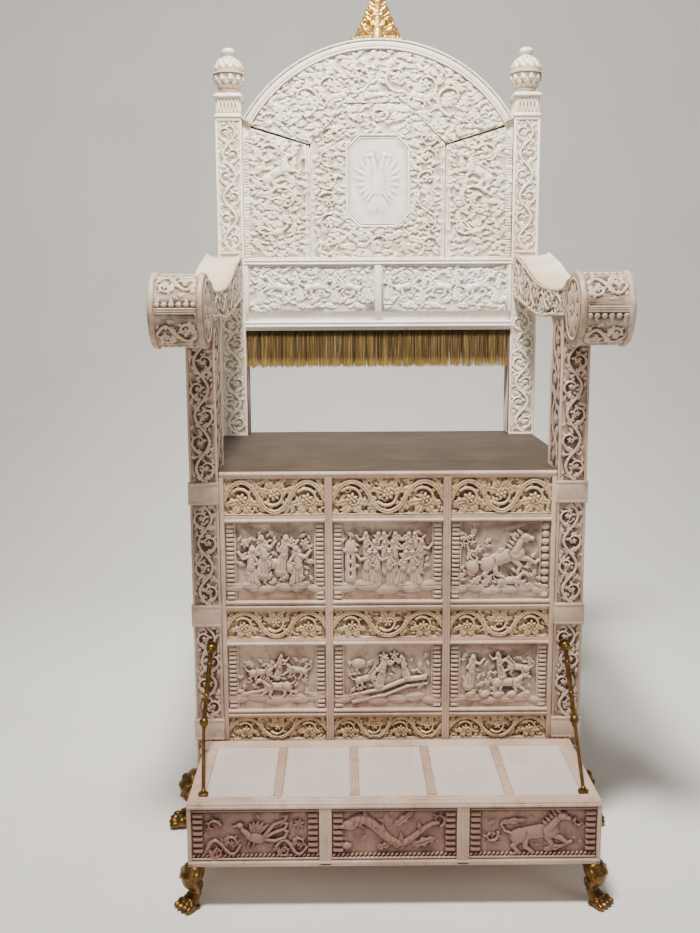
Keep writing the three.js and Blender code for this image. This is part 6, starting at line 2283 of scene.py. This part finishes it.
@dataclass
class Finials:
    """The capitals and balls on the back posts, and the gilt crest on the arch."""

    palette: Palette
    ball_outline: tuple[Point, ...] = ((0, 1316), (12, 1316.5), (13.5, 1319), (15, 1321), (24, 1331),
                                       (29.6, 1343), (30.6, 1355), (28.6, 1367), (22.5, 1379), (13, 1387.5),
                                       (8.6, 1390), (9.5, 1392), (13.6, 1396), (14, 1400),
                                       (10, 1405.5), (0, 1408))
    # the capital's steps: foot, top, width, depth and rounding in millimetres
    capital: tuple[tuple[float, float, float, float, float], ...] = (
        (0, 4, 51, 60, 1.4), (4, 10.5, 56, 64, 2.6), (9.5, 13.5, 50, 58, 1.4), (13, 42, 45, 51, 1.0),
        (40, 43.5, 51, 57, 1.4), (43, 50, 58, 63, 2.8), (49, 53, 48, 52, 1.4))

    def build(self) -> None:
        """Builds the two post finials and the crest."""
        for side in SIDES:
            self.post_finial(side)
        self.crest()

    def post_finial(self, side: str) -> None:
        """Builds a capital with a fluted neck, and its ball carved with a net of lozenges."""
        post_low, post_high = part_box(f"back_post_{side}")
        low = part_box(f"post_finial_{side}")[0]
        x = (post_low.x + post_high.x) / 2
        y = (post_low.y + post_high.y) / 2
        work = bmesh.new()
        for foot, top, wide, deep, bevel in self.capital:
            half, back = wide * MM / 2, deep * MM / 2
            block(work, (x - half, y - back, low.z + foot * MM), (x + half, y + back, low.z + top * MM),
                  bevel * MM)

        def flutes(relief: Relief) -> None:
            """Lays crossed strokes between upright ribs on a face of the neck."""
            w, h = relief.width, relief.tall
            for i in range(6):
                place = w * (i - 2.5) / 6
                for lean in (w * 0.06, -w * 0.06):
                    stroke = [(place - lean, -h * 0.44), (place + lean, h * 0.44)]
                    relief.stem(stroke, 2.6 * MM, 2.6 * MM, 2 * MM)
            for side in (-1, 1):
                relief.strip(side * (w / 2 - 1.5 * MM), 1.5 * MM, 2 * MM)

        neck = Vector((x, y, low.z + 27 * MM))
        for outward, half, wide in ((-Y_AXIS, 25.9, 45), (Y_AXIS, 25.9, 45), (X_AXIS, 22.9, 51),
                                    (-X_AXIS, 22.9, 51)):
            across = outward.cross(Z_AXIS)
            surface = Face(neck + outward * half * MM, across, Z_AXIS, outward)
            carve(work, surface, rectangle((wide - 2) * MM, 26 * MM), 40, 26, flutes, MM)
        outline = tuple((r * MM, z * MM) for r, z in self.ball_outline)
        surface = Turned(Vector((x, y, 0)), Z_AXIS, Y_AXIS, outline, 30.6 * MM)
        girth, total = 2 * math.pi * 30.6 * MM, surface.length()

        def draw(relief: Relief) -> None:
            """Lays rows of overlapping leaves above and below a band at the middle, and thin rings."""
            for row, place in enumerate((0.3, 0.24, 0.5, 0.56, 0.62)):
                for i in range(-1, 12):
                    a = girth * (i + 0.5 * (row % 2)) / 11
                    relief.leaf(a, total * place, 15 * MM, 11 * MM, 2.4 * MM, math.pi / 2 + 0.25, 2)
            for place, rise in ((0.13, 1.4), (0.17, 1.4), (0.45, 2.2), (0.48, 1.6), (0.71, 1.6),
                                (0.75, 1.4)):
                relief.fillet(total * place, 1.3 * MM, rise * MM)

        carve(work, surface, lambda u, v: (u * girth, v * total), 150, 110, draw, closed=True)
        finish_piece(f"post_finial_{side}_carved", work, self.palette.ivory, [f"post_finial_{side}"],
                     0.9)

    def crest(self) -> None:
        """Casts the gilt crest: a saddle on the arch, tiers of leaves and a closed bud."""
        low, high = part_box("crest_finial")
        arch_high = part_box("back_board")[1].z
        y = (low.y + high.y) / 2
        work = bmesh.new()
        radius = ThroneBack.radius
        for i in range(-6, 7):
            x = i * 8 * MM
            z = arch_high - radius + math.sqrt((radius + 4 * MM) ** 2 - x * x)
            ball(work, (x, y, z), (6.5 * MM, 11.5 * MM, 4.6 * MM), 2)
        # the heights, lengths and widths from here on are in millimetres
        stalk = [(0, y, z * MM) for z in (1420, 1440, 1462, 1484, 1500)]
        tube(work, stalk, [v * MM for v in (17, 13, 10, 8, 6)], 12)
        for z, wide in ((1446, 17), (1472, 13.5), (1494, 10.5)):
            ball(work, (0, y, z * MM), (wide * MM, wide * 0.72 * MM, 4 * MM), 2)
        for z, wide in ((1428, 34), (1440, 28), (1456, 20), (1474, 15), (1490, 10)):
            ball(work, (0, y, z * MM), (wide * MM, 8 * MM, 11 * MM), 2)
        tiers = ((1424, 46, 9), (1434, 42, 8.5), (1445, 36, 8), (1456, 31, 7.5), (1467, 27, 7), (1478, 22, 6),
                 (1489, 17, 5), (1499, 13, 4))
        for tier, (z, long, wide) in enumerate(tiers):
            for i in range(8):
                around = 2 * math.pi * (i + 0.5 * (tier % 2)) / 8
                way = Vector((math.cos(around), 0.26 * math.sin(around), 0))
                start = Vector((0, y, z * MM)) + way * long * 0.3 * MM
                self.frond(work, start, long * 0.74 * MM, way, 0.2 + 0.05 * tier, wide * MM)
        bud = ((0, 1497), (6, 1499), (13, 1507), (16.5, 1518), (14.5, 1530), (9.5, 1541), (4.5, 1549),
               (0, 1556))
        outline = tuple((r * 0.9 * MM, z * MM) for r, z in smooth_line(bud, 4))
        surface = Turned(Vector((0, y, 0)), Z_AXIS, Y_AXIS, outline, 15 * MM)
        total = surface.length()

        def scales(relief: Relief) -> None:
            """Lays overlapping scales round the bud."""
            for j in range(6):
                for i in range(9):
                    a = 2 * math.pi * 15 * MM * (i + 0.5 * (j % 2)) / 8
                    relief.leaf(a, total * (0.1 + 0.14 * j), 15 * MM, 11 * MM, 2.4 * MM, math.pi / 2)

        carve(work, surface, lambda u, v: (u * 2 * math.pi * 15 * MM, v * total), 60, 40, scales, closed=True)
        cast = fused(work, 1.0 * MM, 1)
        finish_piece("crest_finial_cast", cast, self.palette.gilt, ["crest_finial"])

    def frond(self, work: Mesh, root: Vector, long: float, way: Vector, turn: float,
              wide: float) -> None:
        """Adds a curled leaf that grows out one way, rises and droops at its lobed tip.

        Args:
            work: the mesh.
            root: where it starts.
            long: its length.
            way: its direction outwards.
            turn: how steeply it rises at first, in radians.
            wide: half of its greatest width.
        """
        points, radii = [root], [wide * 0.6]
        for i in range(1, 7):
            share = i / 6
            angle = turn + 1.1 * math.sin(share * 2.4) - 2.0 * share * share
            points.append(points[-1] + (way * math.cos(angle) + Z_AXIS * math.sin(angle)) * long / 6)
            radii.append(wide * (0.45 + 0.4 * math.sin(math.pi * share)))
        tube(work, points, radii, 8, 0.6)
        for lobe in (-1, 1):
            for i in (3, 5):
                spot = points[i] + Z_AXIS * lobe * radii[i] * 0.8
                ball(work, spot, (wide * 0.4, wide * 0.36, wide * 0.4), 1)
        ball(work, points[-1] - Z_AXIS * wide * 0.2, (wide * 0.5, wide * 0.44, wide * 0.55), 2)


@dataclass
class Seat:
    """The seat board and the carved sides and rear below it."""

    palette: Palette
    outer: float = 321 * MM
    depth: float = 6 * MM
    # the sides' rows: foot, height and carving, in millimetres
    rows: tuple[tuple[float, float, str], ...] = (
        (566, 50, "frieze"), (412, 140, "field"), (357, 42, "frieze"), (224, 121, "field"),
        (172, 39, "frieze"))
    mullion: float = 6.5 * MM
    field: float = 175.2 * MM
    rear_fields: tuple[float, ...] = (-171 * MM, 0.0, 171 * MM)
    rear_width: float = 152 * MM
    rear_low: float = 140 * MM
    rear_high: float = 580 * MM

    def build(self) -> None:
        """Builds the seat board, the sides and the rear."""
        work = softened("seat_board", 1.6 * MM)
        finish_piece("seat_board_planed", work, self.palette.wood, ["seat_board"])
        for side, hand in SIDES.items():
            self.side(side, hand)
        self.rear()

    def side(self, side: str, hand: int) -> None:
        """Builds one side: rows of plain-framed fields, two to a row, with simple carving."""
        low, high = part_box(f"side_board_{side}")
        middle = (low.y + high.y) / 2
        ground = hand * (self.outer - self.depth)
        work = bmesh.new()
        xs = sorted(((low.x if hand > 0 else high.x), ground - hand * 0.8 * MM))
        block(work, (xs[0], low.y, low.z), (xs[1], high.y, high.z), MM)
        face = sorted((ground - hand * MM, hand * self.outer))
        edge = (high.y - low.y) / 2 - self.field - self.mullion
        for start, end in ((low.y, low.y + edge), (middle - self.mullion, middle + self.mullion),
                           (high.y - edge, high.y)):
            block(work, (face[0], start, low.z), (face[1], end, high.z), MM)
        levels = [value * MM for z, tall, _ in reversed(self.rows) for value in (z, z + tall)]
        edges = [low.z, *levels, high.z]
        for foot, top in zip(edges[::2], edges[1::2]):
            block(work, (face[0], low.y, foot), (face[1] - 0.4 * MM * (hand > 0), high.y, top), 0.8 * MM)
        for z, tall, kind in self.rows:
            for direction in (-1, 1):
                place = middle + direction * (self.mullion + self.field / 2)
                origin = Vector((ground, place, (z + tall / 2) * MM))
                surface = Face(origin, Y_AXIS * hand, Z_AXIS, X_AXIS * hand)
                draw = scrolled_frieze if kind == "frieze" else self.field_relief
                carve_field(work, surface, (self.field, tall * MM), 1.9 * MM, draw, seed=90 + direction)
        finish_piece(f"side_board_{side}_carved", work, self.palette.body, [f"side_board_{side}"], kept=0.4)

    def field_relief(self, relief: Relief) -> None:
        """Lays a plain border of bars round one large flower in scrolls."""
        w, h = relief.width, relief.tall
        for side in (-1, 1):
            relief.bars(side * (w / 2 - 6 * MM), -h / 2 + 5 * MM, h / 2 - 5 * MM, 4.4 * MM, 12, 2.4 * MM)
        relief.rosette(0, 0, h * 0.17, RELIEF, 8)
        for side in (-1, 1):
            relief.curl(side * w * 0.26, 0, h * 0.25, 0.6, side * 5.0, 8 * MM, RELIEF * 0.8)
            relief.rosette(side * w * 0.26, 0, h * 0.08, RELIEF)
            for turn in (-1, 1):
                relief.leaf(side * w * 0.12, turn * h * 0.28, w * 0.16, h * 0.11, RELIEF * 0.8,
                            turn * side * 0.5, 3)
        relief.thicket(70, 12 * MM, RELIEF * 0.4, 8 * MM)

    def rear(self) -> None:
        """Builds the rear: three tall framed fields with a simple upright vine."""
        low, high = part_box("rear_board")
        ground = high.y - self.depth
        work = bmesh.new()
        block(work, (low.x, low.y, low.z), (high.x, ground - 0.8 * MM, high.z), MM)
        half = self.rear_width / 2
        edges = [low.x, *[value for x in self.rear_fields for value in (x - half, x + half)], high.x]
        for start, end in zip(edges[::2], edges[1::2]):
            block(work, (start, ground - MM, low.z), (end, high.y, high.z), MM)
        for foot, top in ((low.z, self.rear_low), (self.rear_high, high.z)):
            block(work, (low.x, ground - MM, foot), (high.x, high.y - 0.4 * MM, top), MM)
        tall = self.rear_high - self.rear_low
        for x in self.rear_fields:
            origin = Vector((x, ground, (self.rear_low + self.rear_high) / 2))

            def draw(relief: Relief) -> None:
                """Lays a thin frame and a vine."""
                for side in (-1, 1):
                    relief.strip(side * (half - 6 * MM), 2 * MM, 2 * MM)
                    relief.fillet(side * (tall / 2 - 6 * MM), 2 * MM, 2 * MM)
                relief.vine((0, -tall / 2 + 14 * MM), (0, tall / 2 - 14 * MM), half * 0.62, 5, RELIEF * 0.6)

            surface = Face(origin, -X_AXIS, Z_AXIS, Y_AXIS)
            carve_field(work, surface, (self.rear_width, tall), 2.4 * MM, draw)
        finish_piece("rear_board_framed", work, self.palette.body, ["rear_board"], kept=0.4)


@dataclass
class Footrest:
    """The footrest: its box, its five plates and its carved front."""

    palette: Palette
    clear: float = 0.5 * MM     # keeps the faces of the box's corners off one another

    def build(self) -> None:
        """Builds the footrest."""
        self.box()
        for number in range(1, 6):
            self.plate(f"footrest_plate_{number}")
        for index, side in enumerate(COLUMNS):
            def draw(relief: Relief, index: int = index) -> None:
                """Lays the border and the beast."""
                footrest_border(relief)
                BEASTS[index](relief)

            plaque(f"footrest_front_{side}", draw, 1.1 * MM, self.palette.rose_shade, 80 + index)

    def box(self) -> None:
        """Builds the box with its framing and the fillets on its top."""
        low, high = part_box("footrest_box")
        plates = [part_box(f"footrest_plate_{number}") for number in range(1, 6)]
        fronts = [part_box(f"footrest_front_{side}") for side in COLUMNS]
        bed, inner = min(plate[0].z for plate in plates), fronts[0][1].y
        work = bmesh.new()
        block(work, (low.x + 3 * MM, inner, low.z), (high.x - 3 * MM, high.y, bed), 1.2 * MM)
        self.top_framing(work, low, high, plates, bed)
        self.front_framing(work, low, high, fronts, bed)
        for hand in SIDES.values():
            self.flank(work, low, high, hand, (fronts[0][0].z, fronts[0][1].z), bed)
        finish_piece("footrest_box_framed", work, self.palette.body, ["footrest_box"])

    def top_framing(self, work: Mesh, low: Vector, high: Vector, plates: Sequence[tuple[Vector, Vector]],
                    bed: float) -> None:
        """Lays the reeded bars between the plates, and the reeded strips before and behind them."""
        top = high.z - 0.5 * MM
        near, far = plates[0][0].y, plates[0][1].y
        xs = [low.x, *[x for span in sorted((a.x, b.x) for a, b in plates) for x in span], high.x]
        for start, end in zip(xs[::2], xs[1::2]):
            block(work, (start + 0.2 * MM, low.y + MM, bed - MM), (end - 0.2 * MM, high.y - MM, top),
                  1.4 * MM, 3)
            if end - start < 20 * MM:
                for place in (0.2, 0.5, 0.8):
                    x = start + (end - start) * place
                    moulding(work, (x, near, top - 0.4 * MM), (x, far, top - 0.4 * MM), Z_AXIS,
                             bead(1.6 * MM, 2.6 * MM, MM))
        for start, end in ((low.y, near), (far, high.y)):
            block(work, (low.x, start + 0.2 * MM, bed - MM), (high.x, end - 0.2 * MM, top + 0.2 * MM),
                  1.6 * MM, 3)
            for place in (0.16, 0.5, 0.84):
                y = start + (end - start) * place
                moulding(work, (low.x + 2 * MM, y, top), (high.x - 2 * MM, y, top), Z_AXIS,
                         bead(2.4 * MM, 1.9 * MM, MM))

    def front_framing(self, work: Mesh, low: Vector, high: Vector, fronts: Sequence[tuple[Vector, Vector]],
                      bed: float) -> None:
        """Lays the rails and the reeded uprights round the carved panels of the front."""
        inner, start_x, end_x = fronts[0][1].y, low.x + self.clear, high.x - self.clear
        foot_z, head_z = fronts[0][0].z, fronts[0][1].z
        for foot, head in ((low.z, foot_z - 0.3 * MM), (head_z + 0.3 * MM, bed)):
            block(work, (start_x, low.y, foot), (end_x, inner + MM, head), 1.2 * MM)
        xs = [start_x, *[corner.x for front in fronts for corner in front], end_x]
        for start, end in zip(xs[::2], xs[1::2]):
            block(work, (start, low.y, low.z + MM), (end, inner + MM, bed), 1.0 * MM)
            lines = max(1, round((end - start) / (4.2 * MM)) - 1)
            for i in range(lines):
                place = start + (end - start) * (i + 1) / (lines + 1), low.y + 0.3 * MM
                moulding(work, (*place, foot_z), (*place, head_z), -Y_AXIS,
                         bead(1.5 * MM, 1.3 * MM, 0.8 * MM))
        for z in (foot_z - 4 * MM, head_z + 3.4 * MM):
            place = low.y + 0.5 * MM, z
            moulding(work, (low.x + MM, *place), (high.x - MM, *place), -Y_AXIS,
                     bead(2.4 * MM, 1.9 * MM, MM))

    def flank(self, work: Mesh, low: Vector, high: Vector, hand: int, field: Point, bed: float) -> None:
        """Frames one end of the box and carves a vine on it.

        Args:
            work: the mesh to add to.
            low: the box's lowest corner.
            high: its highest corner.
            hand: the end's side.
            field: the foot and the top of the carved field.
            bed: the height of the plates' bed.
        """
        x = high.x if hand > 0 else low.x
        origin = Vector((x - hand * 2.6 * MM, (low.y + high.y) / 2, (field[0] + field[1]) / 2))
        wide, tall = high.y - low.y - 28 * MM, field[1] - field[0]
        begin, sole = low.y + self.clear, low.z + self.clear
        xs = sorted((x, x - hand * 6 * MM))
        for start, end, foot, head in (
                (begin, low.y + 14 * MM, sole, bed), (high.y - 14 * MM, high.y, sole, bed),
                (begin, high.y, sole, field[0]), (begin, high.y, field[1], bed)):
            block(work, (xs[0], start, foot), (xs[1], end, head), 1.2 * MM)

        def draw(relief: Relief) -> None:
            """Lays a plain frame round a vine."""
            relief.vine((-wide / 2 + 14 * MM, 0), (wide / 2 - 14 * MM, 0), tall * 0.3, 3, 3 * MM)
            for side in (-1, 1):
                relief.strip(side * (wide / 2 - 3 * MM), 2.4 * MM, 2.4 * MM)
                relief.fillet(side * (tall / 2 - 2 * MM), 2 * MM, 2.4 * MM)

        surface = Face(origin, Y_AXIS * hand, Z_AXIS, X_AXIS * hand)
        carve_field(work, surface, (wide, tall), 1.7 * MM, draw)

    def plate(self, node: str) -> None:
        """Builds one plain, slightly pillowed ivory plate."""
        low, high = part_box(node)

        def draw(relief: Relief) -> None:
            """Raises the middle a little and lets the rim fall away."""
            x = np.clip(1 - np.abs(relief.across) / (relief.width / 2), 0, 1)
            z = np.clip(1 - np.abs(relief.up) / (relief.tall / 2), 0, 1)
            relief.height = 1.1 * MM * np.minimum(x, z * relief.tall / relief.width).clip(0, 0.14) ** 0.5

        work = bmesh.new()
        centre = (low + high) / 2
        centre.z = high.z - 0.7 * MM
        spread = rectangle(high.x - low.x - 0.4 * MM, high.y - low.y - 0.4 * MM)
        carve(work, Face(centre, X_AXIS, Y_AXIS, Z_AXIS), spread, 40, 60, draw, centre.z - low.z)
        finish_piece(node + "_polished", work, self.palette.plate, [node])


@dataclass
class Metalwork:
    """The gilt feet and the gilt stays."""

    palette: Palette
    voxel: float = 1.3 * MM     # the size of a casting's faces
    body_foot_out: float = 306.6 * MM
    footrest_foot_out: float = 294 * MM
    stay_out: float = 325 * MM

    def build(self) -> None:
        """Casts the six feet and the two stays."""
        for side, hand in SIDES.items():
            for place in ("front", "rear"):
                node = f"body_foot_{place}_{side}"
                low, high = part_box(node)
                root = Vector((self.body_foot_out * hand, (low.y + high.y) / 2, low.z))
                self.foot(node, root, X_AXIS * hand, 94.5 * MM, 78 * MM, 46 * MM)
            node = f"footrest_foot_{side}"
            low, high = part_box(node)
            root = Vector((self.footrest_foot_out * hand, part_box("footrest_box")[0].y + 20 * MM, low.z))
            self.foot(node, root, Vector((hand, -1, 0)).normalized(), 66.5 * MM, 42 * MM, 32 * MM)
            self.stay(side, hand)

    def foot(self, node: str, root: Vector, way: Vector, tall: float, reach: float, thick: float) -> None:
        """Casts an animal's foot: a leafy knee, a lean ankle and a paw of four toes."""
        beside = Z_AXIS.cross(way)

        def spot(out: float, up: float, over: float = 0.0) -> Vector:
            """Places a point by shares of the reach, the height and the thickness."""
            return root + way * (out * reach) + Z_AXIS * (up * tall) + beside * (over * thick)

        work = bmesh.new()
        hip = [spot(-0.3, 0.98), spot(0.04, 0.97), spot(0.24, 0.86)]
        tube(work, hip, [thick * v for v in (0.44, 0.46, 0.44)], 16, 0.62)
        leg = [(0.1, 0.9), (0.34, 0.86), (0.5, 0.74), (0.46, 0.6), (0.3, 0.46), (0.26, 0.33), (0.42, 0.2),
               (0.6, 0.13)]
        girth = (0.5, 0.56, 0.55, 0.46, 0.36, 0.34, 0.4, 0.42)
        tube(work, [spot(*point) for point in leg], [thick * v for v in girth], 18, 0.8)
        turn = math.atan2(way.y, way.x)
        for i in range(4):
            over = (i - 1.5) * 0.27
            ahead = 0.74 + 0.1 * math.cos(over * 2.4)
            ball(work, spot(ahead - 0.14, 0.12, over), (thick * 0.2, thick * 0.15, thick * 0.19), 3, turn)
            ball(work, spot(ahead + 0.02, 0.075, over * 1.08),
                 (thick * 0.2, thick * 0.135, thick * 0.14), 3, turn)
        for i in range(5):
            over = (i - 2) * 0.2
            points = [spot(0.2, 0.94, over), spot(0.5, 0.84, over * 1.3), spot(0.62, 0.66, over * 1.2),
                      spot(0.5, 0.52 + 0.04 * abs(i - 2), over)]
            tube(work, points, [thick * v for v in (0.1, 0.13, 0.12, 0.03)], 8, 0.8)
        spur = [spot(0.05, 0.3), spot(0.0, 0.46), spot(0.08, 0.6)]
        tube(work, spur, [thick * v for v in (0.1, 0.14, 0.05)], 8)
        ball(work, spot(0.56, 0.9), (thick * 0.2,) * 3, 2)
        for over in (-0.42, 0.42):
            ball(work, spot(0.3, 0.8, over), (thick * 0.26, thick * 0.16, thick * 0.26), 2, turn)
        pad = [spot(0.3, 0.055), spot(0.78, 0.055)]
        tube(work, pad, [thick * 0.5, thick * 0.46], 16, 0.3)
        for vert in work.verts:
            vert.co.z = max(vert.co.z, root.z)
        finish_piece(node + "_cast", fused(work, self.voxel, 1), self.palette.bronze, [node], kept=0.25)

    def stay(self, side: str, hand: int) -> None:
        """Forges one stay: an eye on the post, a flat link, an elbow and a rod with a base."""
        back = post_face(side)

        def spot(in_x: float, y: float, z: float) -> Vector:
            """Places a point by its distance in from the post's edge, in millimetres."""
            return Vector((hand * (self.stay_out + in_x * MM), back + y * MM, z * MM))

        knob, elbow = spot(-30, -12, 336), spot(-20, -50, 223)
        work = bmesh.new()
        tube(work, [spot(-30, 0, 336), spot(-30, -12, 336)], [4 * MM, 4 * MM], 14)
        tube(work, [spot(-30, -0.2, 336), spot(-30, -2.6, 336)], [9 * MM, 8 * MM], 20)
        ball(work, knob, (8.4 * MM, 7 * MM, 8.4 * MM), 3)
        ball(work, spot(-30, -18, 336), (4 * MM,) * 3, 2)
        link = smooth_line([tuple(knob), tuple(spot(-26, -29, 290)), tuple(elbow)], 8)
        tube(work, link, [4.4 * MM - 0.6 * MM * abs(i / 8 - 1) for i in range(len(link))], 12, 0.7)
        for share in (5, 11):
            ball(work, link[share], (5.2 * MM,) * 3, 2)
        ball(work, elbow, (7.6 * MM, 7.6 * MM, 8 * MM), 3)
        ball(work, elbow - Z_AXIS * 9 * MM, (4 * MM,) * 3, 2)
        rod = smooth_line([tuple(elbow), tuple(spot(-28, -120, 197)), tuple(spot(-37, -194, 172))], 8)
        tube(work, rod, [2.8 * MM] * len(rod), 12)
        base = spot(-37, -194, 168.4)
        tube(work, [base, base + Z_AXIS * 2.6 * MM, base + Z_AXIS * 4 * MM], [8 * MM, 8 * MM, 5 * MM], 20)
        ball(work, base + Z_AXIS * 5 * MM, (4.6 * MM,) * 3, 2)
        finish_piece(f"stay_{side}_forged", work, self.palette.bronze, [f"stay_{side}"], 0.9)


# ---------------------------------------------------------------- studio


@dataclass(frozen=True)
class Studio:
    """A plain pale floor, soft light from the front and above, and the camera."""

    place: Vector = Vector((-0.0721, -1.8102, 0.9018))
    lens: float = 39.79
    yaw: float = 0.00595
    pitch: float = 0.1567
    roll: float = -0.0052

    def build(self) -> None:
        """Sets up the studio."""
        self.floor()
        self.lights()
        self.camera()

    def floor(self) -> None:
        """Lays the floor, which sweeps up behind the throne."""
        material, nodes, surface, vector = shader("studio_floor")
        tone = nodes.noise(vector, 3.0, 5.0)
        colour = nodes.mix(nodes.band(tone, 0.3, 0.7), linear(236, 233, 228), linear(240, 238, 234))
        nodes.feed(surface, {"Base Color": colour, "Roughness": 0.9})
        work = bmesh.new()
        far, start, bend, height = 16.0, 1.4, 1.2, 9.0
        curve = [(-far, 0.0), (start, 0.0)]
        for turn in np.linspace(0.1, 1.57, 14):
            curve.append((start + bend * math.sin(turn), bend - bend * math.cos(turn)))
        curve.append((2.6, height))
        rows = [[work.verts.new((x, y, z)) for x in (-far, far)] for y, z in curve]
        for (a, b), (c, d) in zip(rows[:-1], rows[1:]):
            work.faces.new((a, b, d, c))
        for face in work.faces:
            face.smooth = True
        mesh = used_up("studio_floor", work)
        mesh.materials.append(material)
        floor = placed("studio_floor", mesh)

    def lights(self) -> None:
        """Hangs the soft lights and sets the even light of the room."""
        world = bpy.data.worlds.new("room")
        world.use_nodes = True
        background = world.node_tree.nodes["Background"]
        background.inputs["Color"].default_value = (1.0, 0.985, 0.96, 1.0)
        background.inputs["Strength"].default_value = 0.16
        bpy.context.scene.world = world
        for name, place, target, size, spread, power, colour in (
                ("key", (-0.25, -0.8, 3.1), (0, 0.1, 0.8), 0.5, 180, 125, (1.0, 0.965, 0.9)),
                ("crown", (-0.15, -0.7, 2.9), (0, 0.4, 1.2), 0.4, 56, 8.0, (1.0, 0.98, 0.94)),
                ("fill", (2.6, -2.4, 1.9), (0, 0, 0.7), 1.6, 180, 13, (1.0, 0.95, 0.92)),
                ("low", (-1.4, -3.2, 1.2), (0, 0, 0.4), 1.2, 180, 10, (1.0, 0.93, 0.89))):
            light = bpy.data.lights.new(name, "AREA")
            light.shape = "DISK"
            light.size = size
            light.spread = math.radians(spread)
            light.energy = power
            light.color = colour
            lamp = placed(name, light)
            lamp.location = place
            lamp.rotation_euler = (Vector(target) - Vector(place)).to_track_quat("-Z", "Y").to_euler()

    def camera(self) -> None:
        """Places the camera a little above the seat, looking down at it."""
        lens = bpy.data.cameras.new("camera")
        lens.lens = self.lens
        lens.sensor_width = 36
        lens.clip_start = 0.05
        camera = placed("camera", lens)
        level = math.cos(self.pitch)
        forward = Vector((math.sin(self.yaw) * level, math.cos(self.yaw) * level, -math.sin(self.pitch)))
        turn = forward.to_track_quat("-Z", "Y").to_matrix().to_4x4() @ Matrix.Rotation(self.roll, 4, "Z")
        camera.matrix_world = Matrix.Translation(self.place) @ turn
        bpy.context.scene.camera = camera


def main() -> None:
    """Builds the throne, then the studio."""
    logging.basicConfig(level=logging.INFO, format="%(message)s")
    palette = Palette.build()
    BodyFront(palette).build()
    for side in SIDES:
        FrontPost(palette, side).build()
        BackPost(palette, side).build()
    ThroneBack(palette).build()
    Rail(palette).build()
    Arms(palette).build()
    Finials(palette).build()
    Seat(palette).build()
    Footrest(palette).build()
    Metalwork(palette).build()
    Studio().build()


if __name__ == "__main__":
    main()
